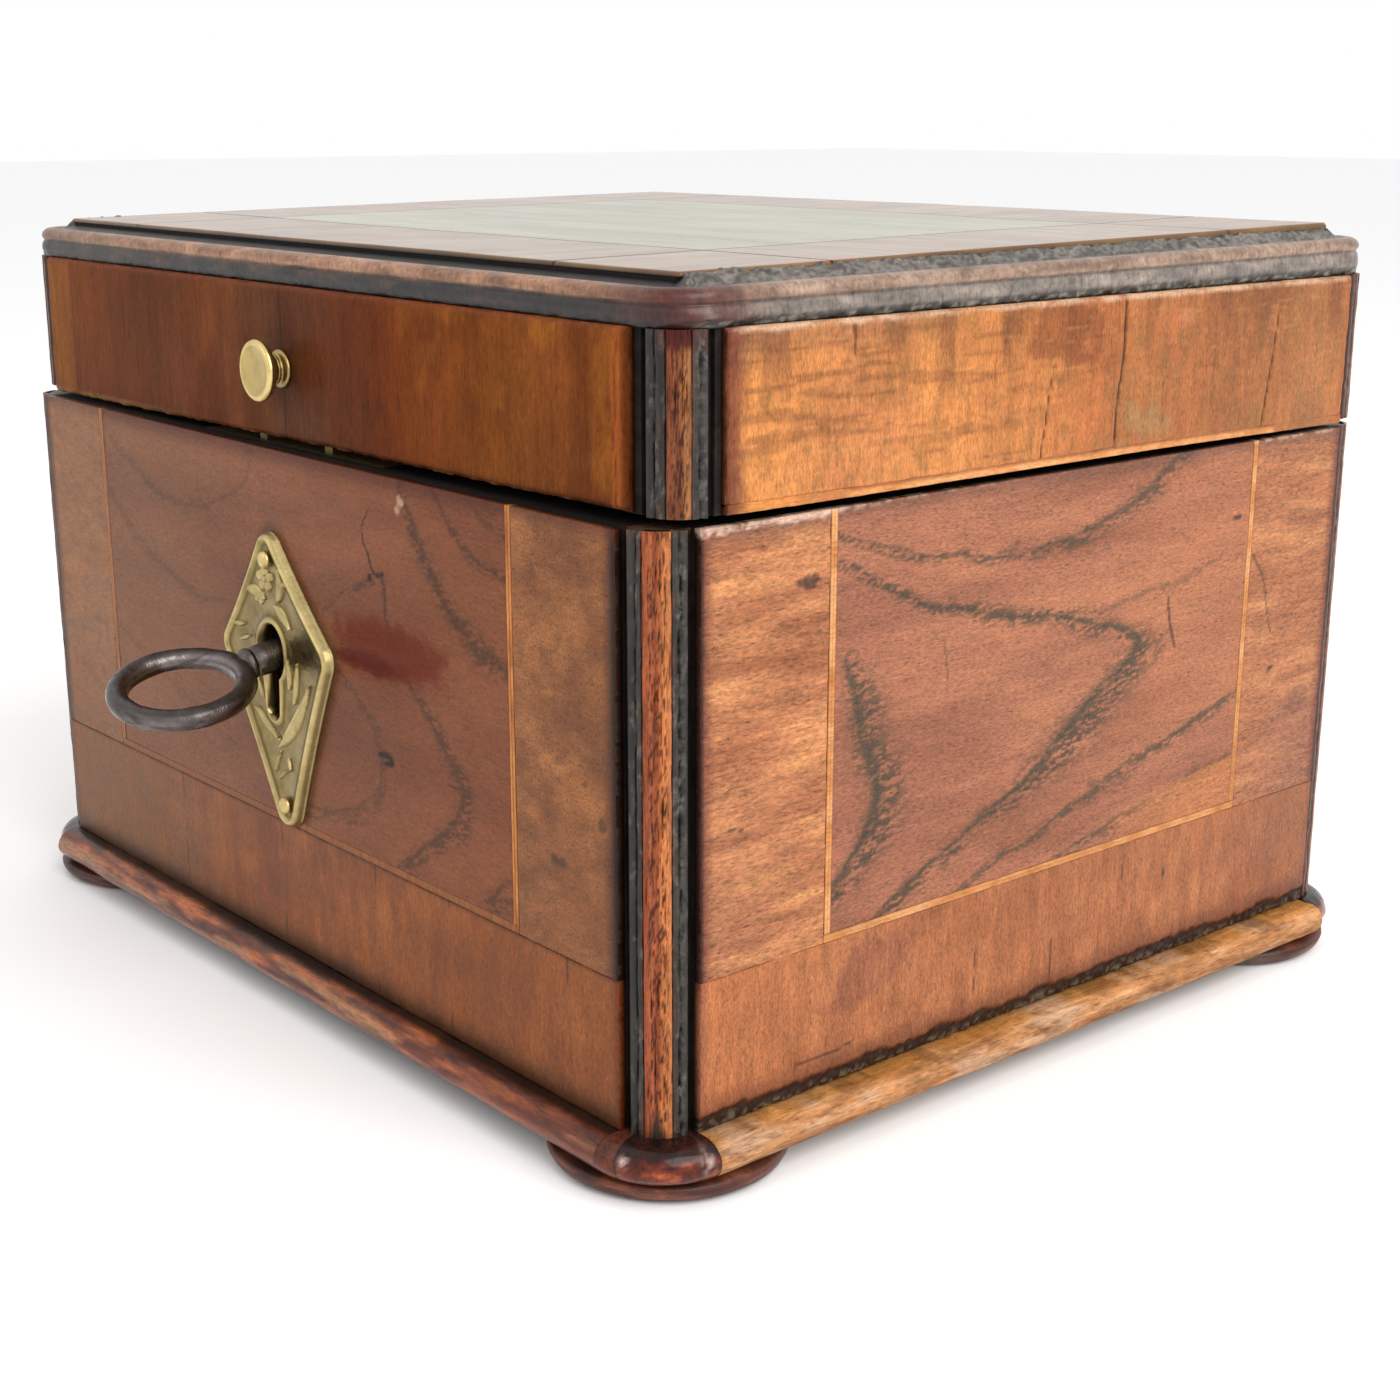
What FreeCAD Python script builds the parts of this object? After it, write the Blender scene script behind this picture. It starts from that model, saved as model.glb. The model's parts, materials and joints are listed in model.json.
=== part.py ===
import FreeCAD, Part
import Sketcher
import math
import os
from FreeCAD import Vector, Placement, Rotation

# Veneered tea caddy, millimetres.  +X is the right-hand side seen from the
# front, -Y is the front (keyhole side), +Z is up and z = 0 is the underside of
# the feet.  Case pieces are drawn about the middle of the case, lid pieces
# about the middle of the lid, and their Placements carry them to the row frame.

os.makedirs("parts", exist_ok=True)
doc = FreeCAD.newDocument("tea_caddy")

# ---------------------------------------------------------------- dimensions
dims = doc.addObject("Spreadsheet::Sheet", "Dims")
TABLE = [
    # alias, value, what it is
    ("row_y", 13.57, "middle of the case, measured from the row origin"),
    ("half_x", 102.0, "case, middle to the outside of the side veneer"),
    ("half_y", 86.0, "case, middle to the outside of the front veneer"),
    ("veneer", 1.6, "thickness of the saw-cut veneer"),
    ("wall", 10.0, "thickness of the carcase boards"),
    ("corner", 8.8, "square recess at each vertical corner"),
    ("case_low", 10.0, "underside of the walls"),
    ("case_top", 102.3, "rim of the case"),
    ("band_front", 24.7, "width of the upright bands on the front"),
    ("band_side", 25.0, "width of the upright bands on the sides"),
    ("band_low", 34.2, "top of the bottom band"),
    ("stringing", 1.4, "width of the boxwood line"),
    ("post_round", 6.4, "radius of the quarter-round corner post"),
    ("post_back", 1.0, "post set back from the veneer face"),
    ("groove_deep", 2.4, "depth of the groove beside the post"),
    ("banding", 1.4, "thickness of the inlay let into the post"),
    ("mould_low", 3.4, "underside of the base moulding"),
    ("mould_out", 5.0, "base moulding, projection beyond the veneer"),
    ("mould_in", 4.0, "base moulding, depth under the case"),
    ("mould_round", 3.3, "radius of the bullnose"),
    ("foot_round", 19.2, "radius of the bun foot"),
    ("foot_x", 87.8, "bun foot centre from the middle of the case"),
    ("foot_y", 71.8, "bun foot centre from the middle of the case"),
    ("foot_edge", 2.4, "radius under the edge of the bun foot"),
    ("lining", 4.0, "thickness of the inner lining boards"),
    ("lining_top", 84.0, "top of the lining boards and of the divider"),
    ("divider", 2.5, "half thickness of the divider"),
    ("tin", 0.5, "thickness of the tin lining"),
    ("tin_top", 83.5, "top edge of the tin lining"),
    ("inner_lid", 4.4, "thickness of an inner lid"),
    ("inner_half_y", 72.2, "inner lid, half depth"),
    ("inner_far", 89.0, "inner lid, outer edge from the middle"),
    ("inner_near", 0.5, "inner lid, inner edge from the middle"),
    ("inner_gap", 0.1, "inner lid above its ledge"),
    ("lid_x", -0.3, "middle of the lid from the middle of the case"),
    ("lid_y", 0.6, "middle of the lid from the middle of the case"),
    ("lid_half_x", 103.3, "lid, middle to the outside of the side veneer"),
    ("lid_half_y", 83.8, "lid, middle to the outside of the front veneer"),
    ("lid_low", 103.8, "underside of the lid rim"),
    ("lid_high", 129.8, "top of the lid rim and of its veneer"),
    ("lid_wall", 9.0, "thickness of the lid rim boards"),
    ("lid_line", 1.1, "height of the boxwood line under the side veneer"),
    ("cornice_out", 1.1, "cornice set back from the lid face"),
    ("cornice_in", 7.5, "inner edge of the cornice from the lid face"),
    ("cornice_turn", 4.6, "corner radius of the middle of the cornice"),
    ("panel_low", 136.3, "top of the lid top board"),
    ("panel", 0.9, "thickness of the top veneer"),
    ("panel_in", 7.4, "top veneer edge from the lid face"),
    ("panel_band", 29.0, "width of the bands round the top"),
    ("key_x", -2.2, "axis of the key"),
    ("key_z", 66.3, "axis of the key where it passes the plate"),
    ("key_pivot_y", -84.6, "point on the key axis, from the middle of the case"),
    ("key_droop", 9.5, "droop of the key in its loose keyhole, degrees"),
    ("key_turn", 10.5, "turn of the bow from level, degrees"),
    ("key_shank", 2.75, "radius of the key shank"),
    ("key_inner", 7.5, "shank from the pivot inward"),
    ("key_outer", 9.4, "shank from the pivot outward"),
    ("bow_centre", 20.9, "centre of the bow from the pivot"),
    ("bow_ring", 11.05, "middle radius of the bow"),
    ("bow_wire", 1.9, "half thickness of the bow"),
    ("bit_reach", 10.0, "reach of the key bit"),
    ("bit_wide", 1.8, "width of the key bit along the key"),
    ("hole_x", -2.6, "middle of the keyhole"),
    ("hole_z", 67.2, "upper centre of the long round part of the keyhole"),
    ("hole_mid", 65.4, "lower centre of the long round part of the keyhole"),
    ("hole_round", 4.0, "radius of the round part of the keyhole"),
    ("hole_slot", 2.1, "half width of the keyhole slot"),
    ("hole_foot", 54.3, "bottom of the keyhole slot"),
    ("plate_x", -1.8, "middle of the widest line of the escutcheon"),
    ("plate_z", 66.5, "height of the widest line of the escutcheon"),
    ("plate_tilt", 3.6, "lean of the escutcheon, degrees"),
    ("plate_thick", 1.9, "thickness of the escutcheon"),
    ("plate_up", 21.3, "escutcheon, widest line to the top"),
    ("plate_down", 32.3, "escutcheon, widest line to the bottom"),
    ("plate_half", 18.1, "escutcheon, half width"),
    ("plate_pin_up", 16.4, "upper pin above the widest line"),
    ("plate_pin_down", 28.0, "lower pin below the widest line"),
    ("pin_shank", 0.55, "radius of the escutcheon pins"),
    ("lock_half", 26.0, "half width of the lock case"),
    ("cap_half", 30.0, "half width of the lock cap and selvedge"),
    ("lock_front", 82.4, "front of the lock case from the middle"),
    ("lock_plate", 0.8, "thickness of the lock case"),
    ("cap_plate", 1.2, "thickness of the lock cap"),
    ("lock_low", 50.0, "underside of the lock case"),
    ("selvedge", 1.5, "thickness of the selvedge"),
    ("bolt_mid", 78.6, "middle of the lock bolt from the middle of the case"),
    ("bolt_thick", 1.3, "thickness of the lock bolt"),
    ("staple_x", 11.0, "staple from the key axis"),
    ("staple_half", 1.2, "half thickness of a staple"),
    ("staple_low", 93.0, "lower end of a staple"),
    ("staple_wide", 2.2, "half width of a staple"),
    ("eye_wide", 1.0, "half width of the staple eye"),
    ("eye_low", 94.5, "bottom of the staple eye"),
    ("eye_high", 101.0, "top of the staple eye"),
    ("link_plate", 1.2, "thickness of the link plate"),
    ("hinge_x", 62.0, "middle of a hinge from the middle of the case"),
    ("hinge_half", 17.0, "half length of a hinge"),
    ("hinge_leaf", 1.2, "thickness of a hinge leaf"),
    ("hinge_y", 88.4, "hinge axis from the middle of the case"),
    ("hinge_z", 103.05, "hinge axis height"),
    ("knuckle", 2.0, "radius of the hinge knuckles"),
    ("hinge_pin", 0.9, "radius of the hinge pin"),
    ("pin_play", 0.05, "radial play of the moving knuckles"),
    ("knuckle_gap", 0.3, "gap between knuckles"),
    ("leaf_edge", 86.1, "edge of the leaves beside the knuckles"),
    ("leaf_in", 76.0, "inner edge of the leaves"),
    ("screw_head", 1.7, "radius of a countersunk head"),
    ("screw_shank", 0.85, "radius of a screw"),
    ("screw_cone", 1.1, "depth of the countersink"),
    ("screw_pitch", 11.0, "spacing of the hinge screws"),
    ("knob_x", -1.2, "lid knob axis"),
    ("knob_z", 115.8, "lid knob axis height"),
]
VALUE = {}
for row, (alias, value, note) in enumerate(TABLE, start=1):
    dims.set("A%d" % row, note)
    dims.set("B%d" % row, repr(value))
    dims.setAlias("B%d" % row, alias)
    VALUE[alias] = value
doc.recompute()


class Size:
    """A length known both as a number and as a formula of the sheet."""

    def __init__(self, v, e):
        self.v = float(v)
        self.e = e

    @staticmethod
    def of(x):
        return x if isinstance(x, Size) else Size(x, "(%r)" % float(x))

    def mix(self, other, sign, v):
        return Size(v, "(%s %s %s)" % (self.e, sign, Size.of(other).e))

    def __add__(self, o):
        return self.mix(o, "+", self.v + Size.of(o).v)

    def __radd__(self, o):
        return Size.of(o) + self

    def __sub__(self, o):
        return self.mix(o, "-", self.v - Size.of(o).v)

    def __rsub__(self, o):
        return Size.of(o) - self

    def __mul__(self, o):
        return self.mix(o, "*", self.v * Size.of(o).v)

    def __rmul__(self, o):
        return Size.of(o) * self

    def __neg__(self):
        return Size(0.0, "(0)") - self


class Table:
    def __getattr__(self, alias):
        return Size(VALUE[alias], "Dims.%s" % alias)


d = Table()
CASE = (Size.of(0), d.row_y, Size.of(0))
LID = (d.lid_x, d.row_y + d.lid_y, Size.of(0))
NODES = []


def drive(obj, prop, size):
    size = Size.of(size)
    obj.setExpression(prop, size.e)


def place(obj, at):
    for axis, s in zip("xyz", at):
        drive(obj, "Placement.Base." + axis, s)


def node(obj, label):
    obj.Label = label
    NODES.append(obj)
    return obj


# ------------------------------------------------------------------- helpers
def box(name, x, y, z, at=CASE):
    b = doc.addObject("Part::Box", name)
    for prop, (lo, hi) in zip(("Length", "Width", "Height"), (x, y, z)):
        drive(b, prop, Size.of(hi) - lo)
    place(b, [Size.of(p[0]) + a for p, a in zip((x, y, z), at)])
    return b


def cut(name, base, *tools):
    for i, tool in enumerate(tools):
        c = doc.addObject("Part::Cut", name if i == len(tools) - 1 else "%s_%d" % (name, i))
        c.Base = base
        c.Tool = tool
        base = c
    return base


def group(name, *objs):
    g = doc.addObject("Part::Compound", name)
    g.Links = list(objs)
    return g


def fuse(name, *objs):
    f = doc.addObject("Part::MultiFuse", name)
    f.Shapes = list(objs)
    return f


def flip(name, obj, normal, base):
    m = doc.addObject("Part::Mirroring", name)
    m.Source = obj
    m.Normal = Vector(*normal)
    for axis, s in zip("xyz", base):
        drive(m, "Base." + axis, s)
    return m


def role(body, name):
    return [o for o in body.Origin.OriginFeatures if o.Role == name][0]


def sketch(body, plane, loops, shift=(0, 0, 0), tag=""):
    """Closed loops of lines and arcs, every corner driven from the sheet.

    A loop is a list of corners (u, v) or (u, v, radius, (mid_u, mid_v)), the
    second form when the edge that leaves the corner is an arc; or a circle
    ("circle", u, v, radius).
    """
    sk = body.newObject("Sketcher::SketchObject", body.Name + "_sketch" + tag)
    sk.AttachmentSupport = [(role(body, plane), "")]
    sk.MapMode = "FlatFace"
    for axis, s in zip("xyz", shift):
        if not (isinstance(s, (int, float)) and s == 0):
            drive(sk, "AttachmentOffset.Base." + axis, s)

    def bind(kind, *args):
        size = Size.of(args[-1])
        i = sk.addConstraint(Sketcher.Constraint(kind, *(list(args[:-1]) + [size.v])))
        if size.e.startswith("Dims") or "Dims" in size.e:
            sk.setExpression("Constraints[%d]" % i, size.e)

    for loop in loops:
        if loop[0] == "circle":
            _, u, v, r = loop
            u, v, r = Size.of(u), Size.of(v), Size.of(r)
            g = sk.addGeometry(Part.Circle(Vector(u.v, v.v, 0), Vector(0, 0, 1), r.v))
            bind("DistanceX", -1, 1, g, 3, u)
            bind("DistanceY", -1, 1, g, 3, v)
            bind("Radius", g, r)
            continue
        pts = [(Size.of(c[0]), Size.of(c[1])) for c in loop]
        n = len(pts)
        ends = []
        for k in range(n):
            a, b = pts[k], pts[(k + 1) % n]
            pa, pb = Vector(a[0].v, a[1].v, 0), Vector(b[0].v, b[1].v, 0)
            if len(loop[k]) == 2:
                g = sk.addGeometry(Part.LineSegment(pa, pb))
                ends.append((g, 1, 2))
            else:
                r, mid = Size.of(loop[k][2]), Vector(loop[k][3][0], loop[k][3][1], 0)
                half = (pb - pa) * 0.5
                away = pa + half - mid
                away.normalize()
                away = away * math.sqrt(max(r.v ** 2 - half.Length ** 2, 0.0))
                centre = pa + half + away
                if (mid - centre).Length < r.v - 1e-6 or abs((mid - centre).Length - r.v) > 0.5 * r.v:
                    centre = pa + half - away
                t0 = math.atan2(pa.y - centre.y, pa.x - centre.x)
                t1 = math.atan2(pb.y - centre.y, pb.x - centre.x)
                tm = math.atan2(mid.y - centre.y, mid.x - centre.x)
                ccw = (tm - t0) % (2 * math.pi) < (t1 - t0) % (2 * math.pi)
                if not ccw:
                    t0, t1 = t1, t0
                if t1 <= t0:
                    t1 += 2 * math.pi
                circle = Part.Circle(centre, Vector(0, 0, 1), r.v)
                g = sk.addGeometry(Part.ArcOfCircle(circle, t0, t1))
                if abs(half.Length - r.v) < 1e-4:
                    # a half circle: its centre is held level with its ends
                    level = "DistanceX" if abs(half.x) < abs(half.y) else "DistanceY"
                    bind(level, -1, 1, g, 3, a[0] if level == "DistanceX" else a[1])
                else:
                    bind("Radius", g, r)
                ends.append((g, 1, 2) if ccw else (g, 2, 1))
            bind("DistanceX", -1, 1, g, ends[-1][1], a[0])
            bind("DistanceY", -1, 1, g, ends[-1][1], a[1])
        for k in range(n):
            sk.addConstraint(Sketcher.Constraint("Coincident", ends[k][0], ends[k][2],
                                                 ends[(k + 1) % n][0], ends[(k + 1) % n][1]))
    return sk


def prism(name, plane, loops, lo, hi, at=CASE):
    """A pad of the loops from lo to hi along the axis square to the plane."""
    body = doc.addObject("PartDesign::Body", name)
    start = -Size.of(hi) if plane == "XZ_Plane" else lo
    sk = sketch(body, plane, loops, (0, 0, start))
    pad = body.newObject("PartDesign::Pad", name + "_pad")
    pad.Profile = sk
    drive(pad, "Length", Size.of(hi) - lo)
    place(body, at)
    return body


def turned(name, axis, corners, origin, at=CASE, angle=360.0, reverse=False):
    """A turned piece: corners are (radius, height), about Z or Y at origin."""
    body = doc.addObject("PartDesign::Body", name)
    x, y, z = origin
    if axis == "Z":
        sk = sketch(body, "XZ_Plane", [corners], (x, z, -Size.of(y)))
    else:
        sk = sketch(body, "XY_Plane", [corners], (x, y, z))
    rev = body.newObject("PartDesign::Revolution", name + "_turn")
    rev.Profile = sk
    rev.ReferenceAxis = (sk, ["V_Axis"])
    rev.Angle = angle
    rev.Reversed = reverse
    place(body, at)
    return body


def repeat(body, *kinds):
    """Mirrors and rows of the last feature; the Tip is the pattern."""
    last = body.Group[-1]
    multi = body.newObject("PartDesign::MultiTransform", body.Name + "_copies")
    steps = []
    for i, kind in enumerate(kinds):
        if kind[0] == "mirror":
            s = body.newObject("PartDesign::Mirrored", "%s_mirror%d" % (body.Name, i))
            s.MirrorPlane = (role(body, kind[1]), [""])
        else:
            s = body.newObject("PartDesign::LinearPattern", "%s_row%d" % (body.Name, i))
            s.Direction = (role(body, kind[1]), [""])
            drive(s, "Length", kind[2])
            s.Occurrences = kind[3]
        steps.append(s)
    multi.Originals = [last]
    multi.Transformations = steps
    body.Tip = multi
    return body


def rounded(hx, hy, r):
    """A rectangle about the origin with rounded corners."""
    k = math.sqrt(0.5)
    x, y, q = Size.of(hx), Size.of(hy), Size.of(r)
    return [
        (-(x - q), -y), (x - q, -y, q, ((x - q).v + q.v * k, -(y - q).v - q.v * k)),
        (x, -(y - q)), (x, y - q, q, ((x - q).v + q.v * k, (y - q).v + q.v * k)),
        (x - q, y), (-(x - q), y, q, (-(x - q).v - q.v * k, (y - q).v + q.v * k)),
        (-x, y - q), (-x, -(y - q), q, (-(x - q).v - q.v * k, -(y - q).v - q.v * k)),
    ]


def keyhole(x):
    """Long round hole with a slot below it, in the plane of the front."""
    r, w = d.hole_round, d.hole_slot
    drop = math.sqrt(r.v ** 2 - w.v ** 2)
    top = d.hole_mid - drop
    foot = d.hole_foot + w
    a = math.radians(30.0)
    low = VALUE["hole_mid"] - r.v * math.sin(a)
    return [
        (x - w, top), (x - w, foot, w, (x.v, VALUE["hole_foot"])),
        (x + w, foot), (x + w, top, r, (x.v + r.v * math.cos(a), low)),
        (x + r, d.hole_mid), (x + r, d.hole_z, r, (x.v, d.hole_z.v + r.v)),
        (x - r, d.hole_z), (x - r, d.hole_mid, r, (x.v - r.v * math.cos(a), low)),
    ]


# --------------------------------------------------- corner posts and inlays
def corner_pieces(prefix, hx, hy, low, high, at):
    c45, s45 = math.cos(math.radians(64.6)), math.sin(math.radians(64.6))
    ox, oy = hx - d.post_back - d.post_round, -(hy - d.post_back - d.post_round)
    r, q = d.post_round, d.post_round - d.banding
    k = math.sqrt(0.5)

    def on(rad, a):
        return (ox.v + rad.v * math.cos(math.radians(a)), oy.v + rad.v * math.sin(math.radians(a)))

    post = [
        (hx - d.corner, -(hy - d.corner)),
        (hx - d.corner, -(hy - d.groove_deep)),
        (ox, -(hy - d.groove_deep)),
        (ox, -(hy - d.post_back), r, on(r, -78)),
        (ox + r * c45, oy - r * s45),
        (ox + q * c45, oy - q * s45, q, on(q, -45)),
        (ox + q * s45, oy - q * c45),
        (ox + r * s45, oy - r * c45, r, on(r, -12)),
        (hx - d.post_back, oy),
        (hx - d.groove_deep, oy),
        (hx - d.groove_deep, -(hy - d.corner)),
    ]
    inlay = [
        (ox + r * c45, oy - r * s45, r, on(r, -45)),
        (ox + r * s45, oy - r * c45),
        (ox + q * s45, oy - q * c45, q, on(q, -45)),
        (ox + q * c45, oy - q * s45),
    ]
    for label, loop in ((prefix + "corner_posts", post), (prefix + "corner_bandings", inlay)):
        b = prism(label, "XY_Plane", [loop], low, high, at)
        node(repeat(b, ("mirror", "YZ_Plane"), ("mirror", "XZ_Plane")), label)


corner_pieces("", d.half_x, d.half_y, d.case_low, d.case_top, CASE)
corner_pieces("lid_", d.lid_half_x, d.lid_half_y, d.lid_low, d.lid_high, LID)


def notches(name, hx, hy, c, low, high, at, side):
    """The two square recesses at the ends of a front or back board."""
    y = (-hy, -(hy - c)) if side < 0 else (hy - c, hy)
    return [box("%s_notch%d" % (name, i), x, y, (low, high), at)
            for i, x in enumerate(((-hx, -(hx - c)), (hx - c, hx)))]


# ------------------------------------------------------------------ fasteners
def countersunk(length):
    return [(0, 0), (d.screw_head, 0), (d.screw_shank, -d.screw_cone), (d.screw_shank, -(length - 0.8)), (0, -length)]


lower_screws = turned("hinge_screws_lower", "Z", countersunk(Size.of(7.5)), (d.hinge_x - d.screw_pitch, Size.of(80.0), d.case_top))
node(repeat(lower_screws, ("row", "X_Axis", d.screw_pitch * 2, 3), ("mirror", "YZ_Plane")), "hinge_screws_lower")

up = [(c[0], -Size.of(c[1])) for c in countersunk(Size.of(7.5))][::-1]
upper_screws = turned("hinge_screws_upper", "Z", up, (d.hinge_x - d.screw_pitch, Size.of(79.0), d.lid_low))
node(repeat(upper_screws, ("row", "X_Axis", d.screw_pitch * 2, 3), ("mirror", "YZ_Plane")), "hinge_screws_upper")

cap_screws = turned("lock_screws", "Y", countersunk(Size.of(7.0)), (d.key_x - 28.0, -(d.half_y - d.veneer - d.wall), Size.of(53.0)))
node(repeat(cap_screws, ("row", "X_Axis", Size.of(56.0), 2), ("row", "Z_Axis", Size.of(43.0), 2)), "lock_screws")

link_screws = turned("link_plate_screws", "Z", up, (d.key_x - 20.0, -d.bolt_mid, d.lid_low))
node(repeat(link_screws, ("row", "X_Axis", Size.of(40.0), 2)), "link_plate_screws")

# ------------------------------------------------------------------- feet, base
k = math.sqrt(0.5)
fr, fe = d.foot_round, d.foot_edge
foot = turned("bun_feet", "Z", [(0, 0), (fr - fe, 0, fe, (fr.v - fe.v + fe.v * k, fe.v - fe.v * k)), (fr, fe), (fr, d.mould_low), (0, d.mould_low)],
              (d.foot_x, -d.foot_y, Size.of(0)))
node(repeat(foot, ("mirror", "YZ_Plane"), ("mirror", "XZ_Plane")), "bun_feet")

reach = d.corner + d.mould_out
mr = d.mould_round
block = turned("base_corner_blocks", "Z",
               [(0, d.mould_low), (reach - mr, d.mould_low, mr, (reach.v, d.mould_low.v + mr.v)), (reach - mr, d.case_low), (0, d.case_low)],
               (d.half_x - d.corner, -(d.half_y - d.corner), Size.of(0)), angle=90.0, reverse=True)
node(repeat(block, ("mirror", "YZ_Plane"), ("mirror", "XZ_Plane")), "base_corner_blocks")


def bullnose(face, sign):
    """Section of the base moulding, drawn across the wall it runs along."""
    a = face - d.mould_in
    b = face + d.mould_out - mr
    tip = (face + d.mould_out).v
    loop = [(sign * a, d.mould_low), (sign * b, d.mould_low, mr, (sign * tip, d.mould_low.v + mr.v)),
            (sign * b, d.case_low), (sign * a, d.case_low)]
    return loop


run_x = d.half_x - d.corner
run_y = d.half_y - d.corner
node(prism("base_moulding_front", "YZ_Plane", [bullnose(d.half_y, -1)], -run_x, run_x), "base_moulding_front")
node(prism("base_moulding_back", "YZ_Plane", [bullnose(d.half_y, 1)], -run_x, run_x), "base_moulding_back")
node(prism("base_moulding_left", "XZ_Plane", [bullnose(d.half_x, -1)], -run_y, run_y), "base_moulding_left")
node(prism("base_moulding_right", "XZ_Plane", [bullnose(d.half_x, 1)], -run_y, run_y), "base_moulding_right")

bx, by = d.half_x - d.mould_in, d.half_y - d.mould_in
bottom = [(-run_x, -by), (run_x, -by), (run_x, -run_y), (bx, -run_y), (bx, run_y), (run_x, run_y),
          (run_x, by), (-run_x, by), (-run_x, run_y), (-bx, run_y), (-bx, -run_y), (-run_x, -run_y)]
node(prism("bottom_board", "XY_Plane", [bottom], d.mould_low, d.case_low), "bottom_board")

# ------------------------------------------------------------- carcase boards
ox_, oy_ = d.half_x - d.veneer, d.half_y - d.veneer
ix, iy = ox_ - d.wall, oy_ - d.wall
z_case = (d.case_low, d.case_top)

key_slot = prism("keyhole_cutter", "XZ_Plane", [keyhole(d.hole_x)], -(d.half_y + 1.0), -(d.lock_front - 2.0))
cap_low = d.lock_low - 2.0
mortise = [
    box("mortise_case", (d.key_x - d.lock_half, d.key_x + d.lock_half), (-d.lock_front, -iy), (d.lock_low, d.case_top)),
    box("mortise_cap", (d.key_x - d.cap_half, d.key_x + d.cap_half), (-(iy + d.cap_plate), -iy), (cap_low, d.case_top)),
    box("mortise_selvedge", (d.key_x - d.cap_half, d.key_x + d.cap_half), (-d.lock_front, -iy), (d.case_top - d.selvedge, d.case_top)),
]
# escutcheon pins: domed head outside the plate, tapering shank in the wood
pin_y = -(d.half_y + d.plate_thick)


def pin_at(name, along):
    """A round-headed pin on the leaning centre line of the escutcheon."""
    lean = math.radians(VALUE["plate_tilt"])
    x = d.plate_x - along * math.sin(lean)
    z = d.plate_z + along * math.cos(lean)
    ps = d.pin_shank
    return turned(name, "Y", [(0, -0.85), (0.75, -0.68), (1.25, -0.3), (1.4, 0), (ps, 0), (ps, 4.2), (0, 5.0)], (x, pin_y, z))


pins = group("escutcheon_pins", pin_at("pin_upper", d.plate_pin_up), pin_at("pin_lower", -d.plate_pin_down))
node(pins, "escutcheon_pins")

front_raw = box("front_raw", (-ox_, ox_), (-oy_, -iy), z_case)
node(cut("front_board", front_raw, *(notches("front", d.half_x, d.half_y, d.corner, d.case_low, d.case_top, CASE, -1)
                                     + [key_slot] + mortise + [cap_screws, pins])), "front_board")
leaf_z = (d.case_top - d.hinge_leaf, d.case_top)
leaf_cuts = [box("leaf_seat%d" % i, (sx * d.hinge_x - d.hinge_half, sx * d.hinge_x + d.hinge_half), (d.leaf_in, d.leaf_edge), leaf_z)
             for i, sx in enumerate((-1, 1))]
back_raw = box("back_raw", (-ox_, ox_), (iy, oy_), z_case)
node(cut("back_board", back_raw, *(notches("back", d.half_x, d.half_y, d.corner, d.case_low, d.case_top, CASE, 1)
                                   + leaf_cuts + [lower_screws])), "back_board")
node(box("left_board", (-ox_, -ix), (-iy, iy), z_case), "left_board")
node(box("right_board", (ix, ox_), (-iy, iy), z_case), "right_board")

# -------------------------------------------------------------- case veneers
vy = (-d.half_y, -oy_)
fx = run_x - d.band_front
field_low = d.band_low + d.stringing
field_raw = box("front_field_raw", (-(fx - d.stringing), fx - d.stringing), vy, (field_low, d.case_top))
node(cut("front_field", field_raw, key_slot, pins), "front_field")
front_low = box("front_band_low", (-run_x, run_x), vy, (d.case_low, d.band_low))
node(group("front_crossbanding",
           box("front_band_left", (-run_x, -fx), vy, (d.band_low, d.case_top)),
           box("front_band_right", (fx, run_x), vy, (d.band_low, d.case_top)),
           front_low), "front_crossbanding")
node(group("front_stringing",
           box("front_line_left", (-fx, -(fx - d.stringing)), vy, (field_low, d.case_top)),
           box("front_line_right", (fx - d.stringing, fx), vy, (field_low, d.case_top)),
           box("front_line_low", (-fx, fx), vy, (d.band_low, field_low))), "front_stringing")

vx = (ox_, d.half_x)
sy = run_y - d.band_side
MID = (Size.of(0), Size.of(0), Size.of(0))


def both_sides(label, *boxes):
    """The same veneers on the right side and, mirrored, on the left."""
    right = group(label + "_right", *boxes)
    left = flip(label + "_left", right, (1, 0, 0), MID)
    return node(group(label, right, left), label)


both_sides("side_fields", box("side_field", vx, (-(sy - d.stringing), sy - d.stringing), (field_low, d.case_top)))
both_sides("side_crossbanding",
           box("side_band_front", vx, (-run_y, -sy), (d.band_low, d.case_top)),
           box("side_band_back", vx, (sy, run_y), (d.band_low, d.case_top)),
           box("side_band_low", vx, (-run_y, run_y), (d.case_low, d.band_low)))
both_sides("side_stringing",
           box("side_line_front", vx, (-sy, -(sy - d.stringing)), (field_low, d.case_top)),
           box("side_line_back", vx, (sy - d.stringing, sy), (field_low, d.case_top)),
           box("side_line_low", vx, (-sy, sy), (d.band_low, field_low)))
back_skin = box("back_veneer_raw", (-run_x, run_x), (oy_, d.half_y), z_case)
node(cut("back_veneer", back_skin, *leaf_cuts), "back_veneer")

# ------------------------------------------------- linings, divider, inner lids
lx, ly = ix - d.lining, iy - d.lining
z_line = (d.case_low, d.lining_top)
node(group("inner_linings",
           box("lining_front", (-ix, ix), (-iy, -ly), z_line),
           box("lining_back", (-ix, ix), (ly, iy), z_line),
           box("lining_left", (-ix, -lx), (-ly, ly), z_line),
           box("lining_right", (lx, ix), (-ly, ly), z_line)), "inner_linings")
node(box("compartment_divider", (-d.divider, d.divider), (-ly, ly), z_line), "compartment_divider")
tin_out = box("tin_out", (d.divider, lx), (-ly, ly), (d.case_low, d.tin_top))
tin_in = box("tin_in", (d.divider + d.tin, lx - d.tin), (-(ly - d.tin), ly - d.tin), (d.case_low + d.tin, d.tin_top + 1.0))
tin = cut("tin_right", tin_out, tin_in)
node(group("tin_linings", tin, flip("tin_left", tin, (1, 0, 0), MID)), "tin_linings")

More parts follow.
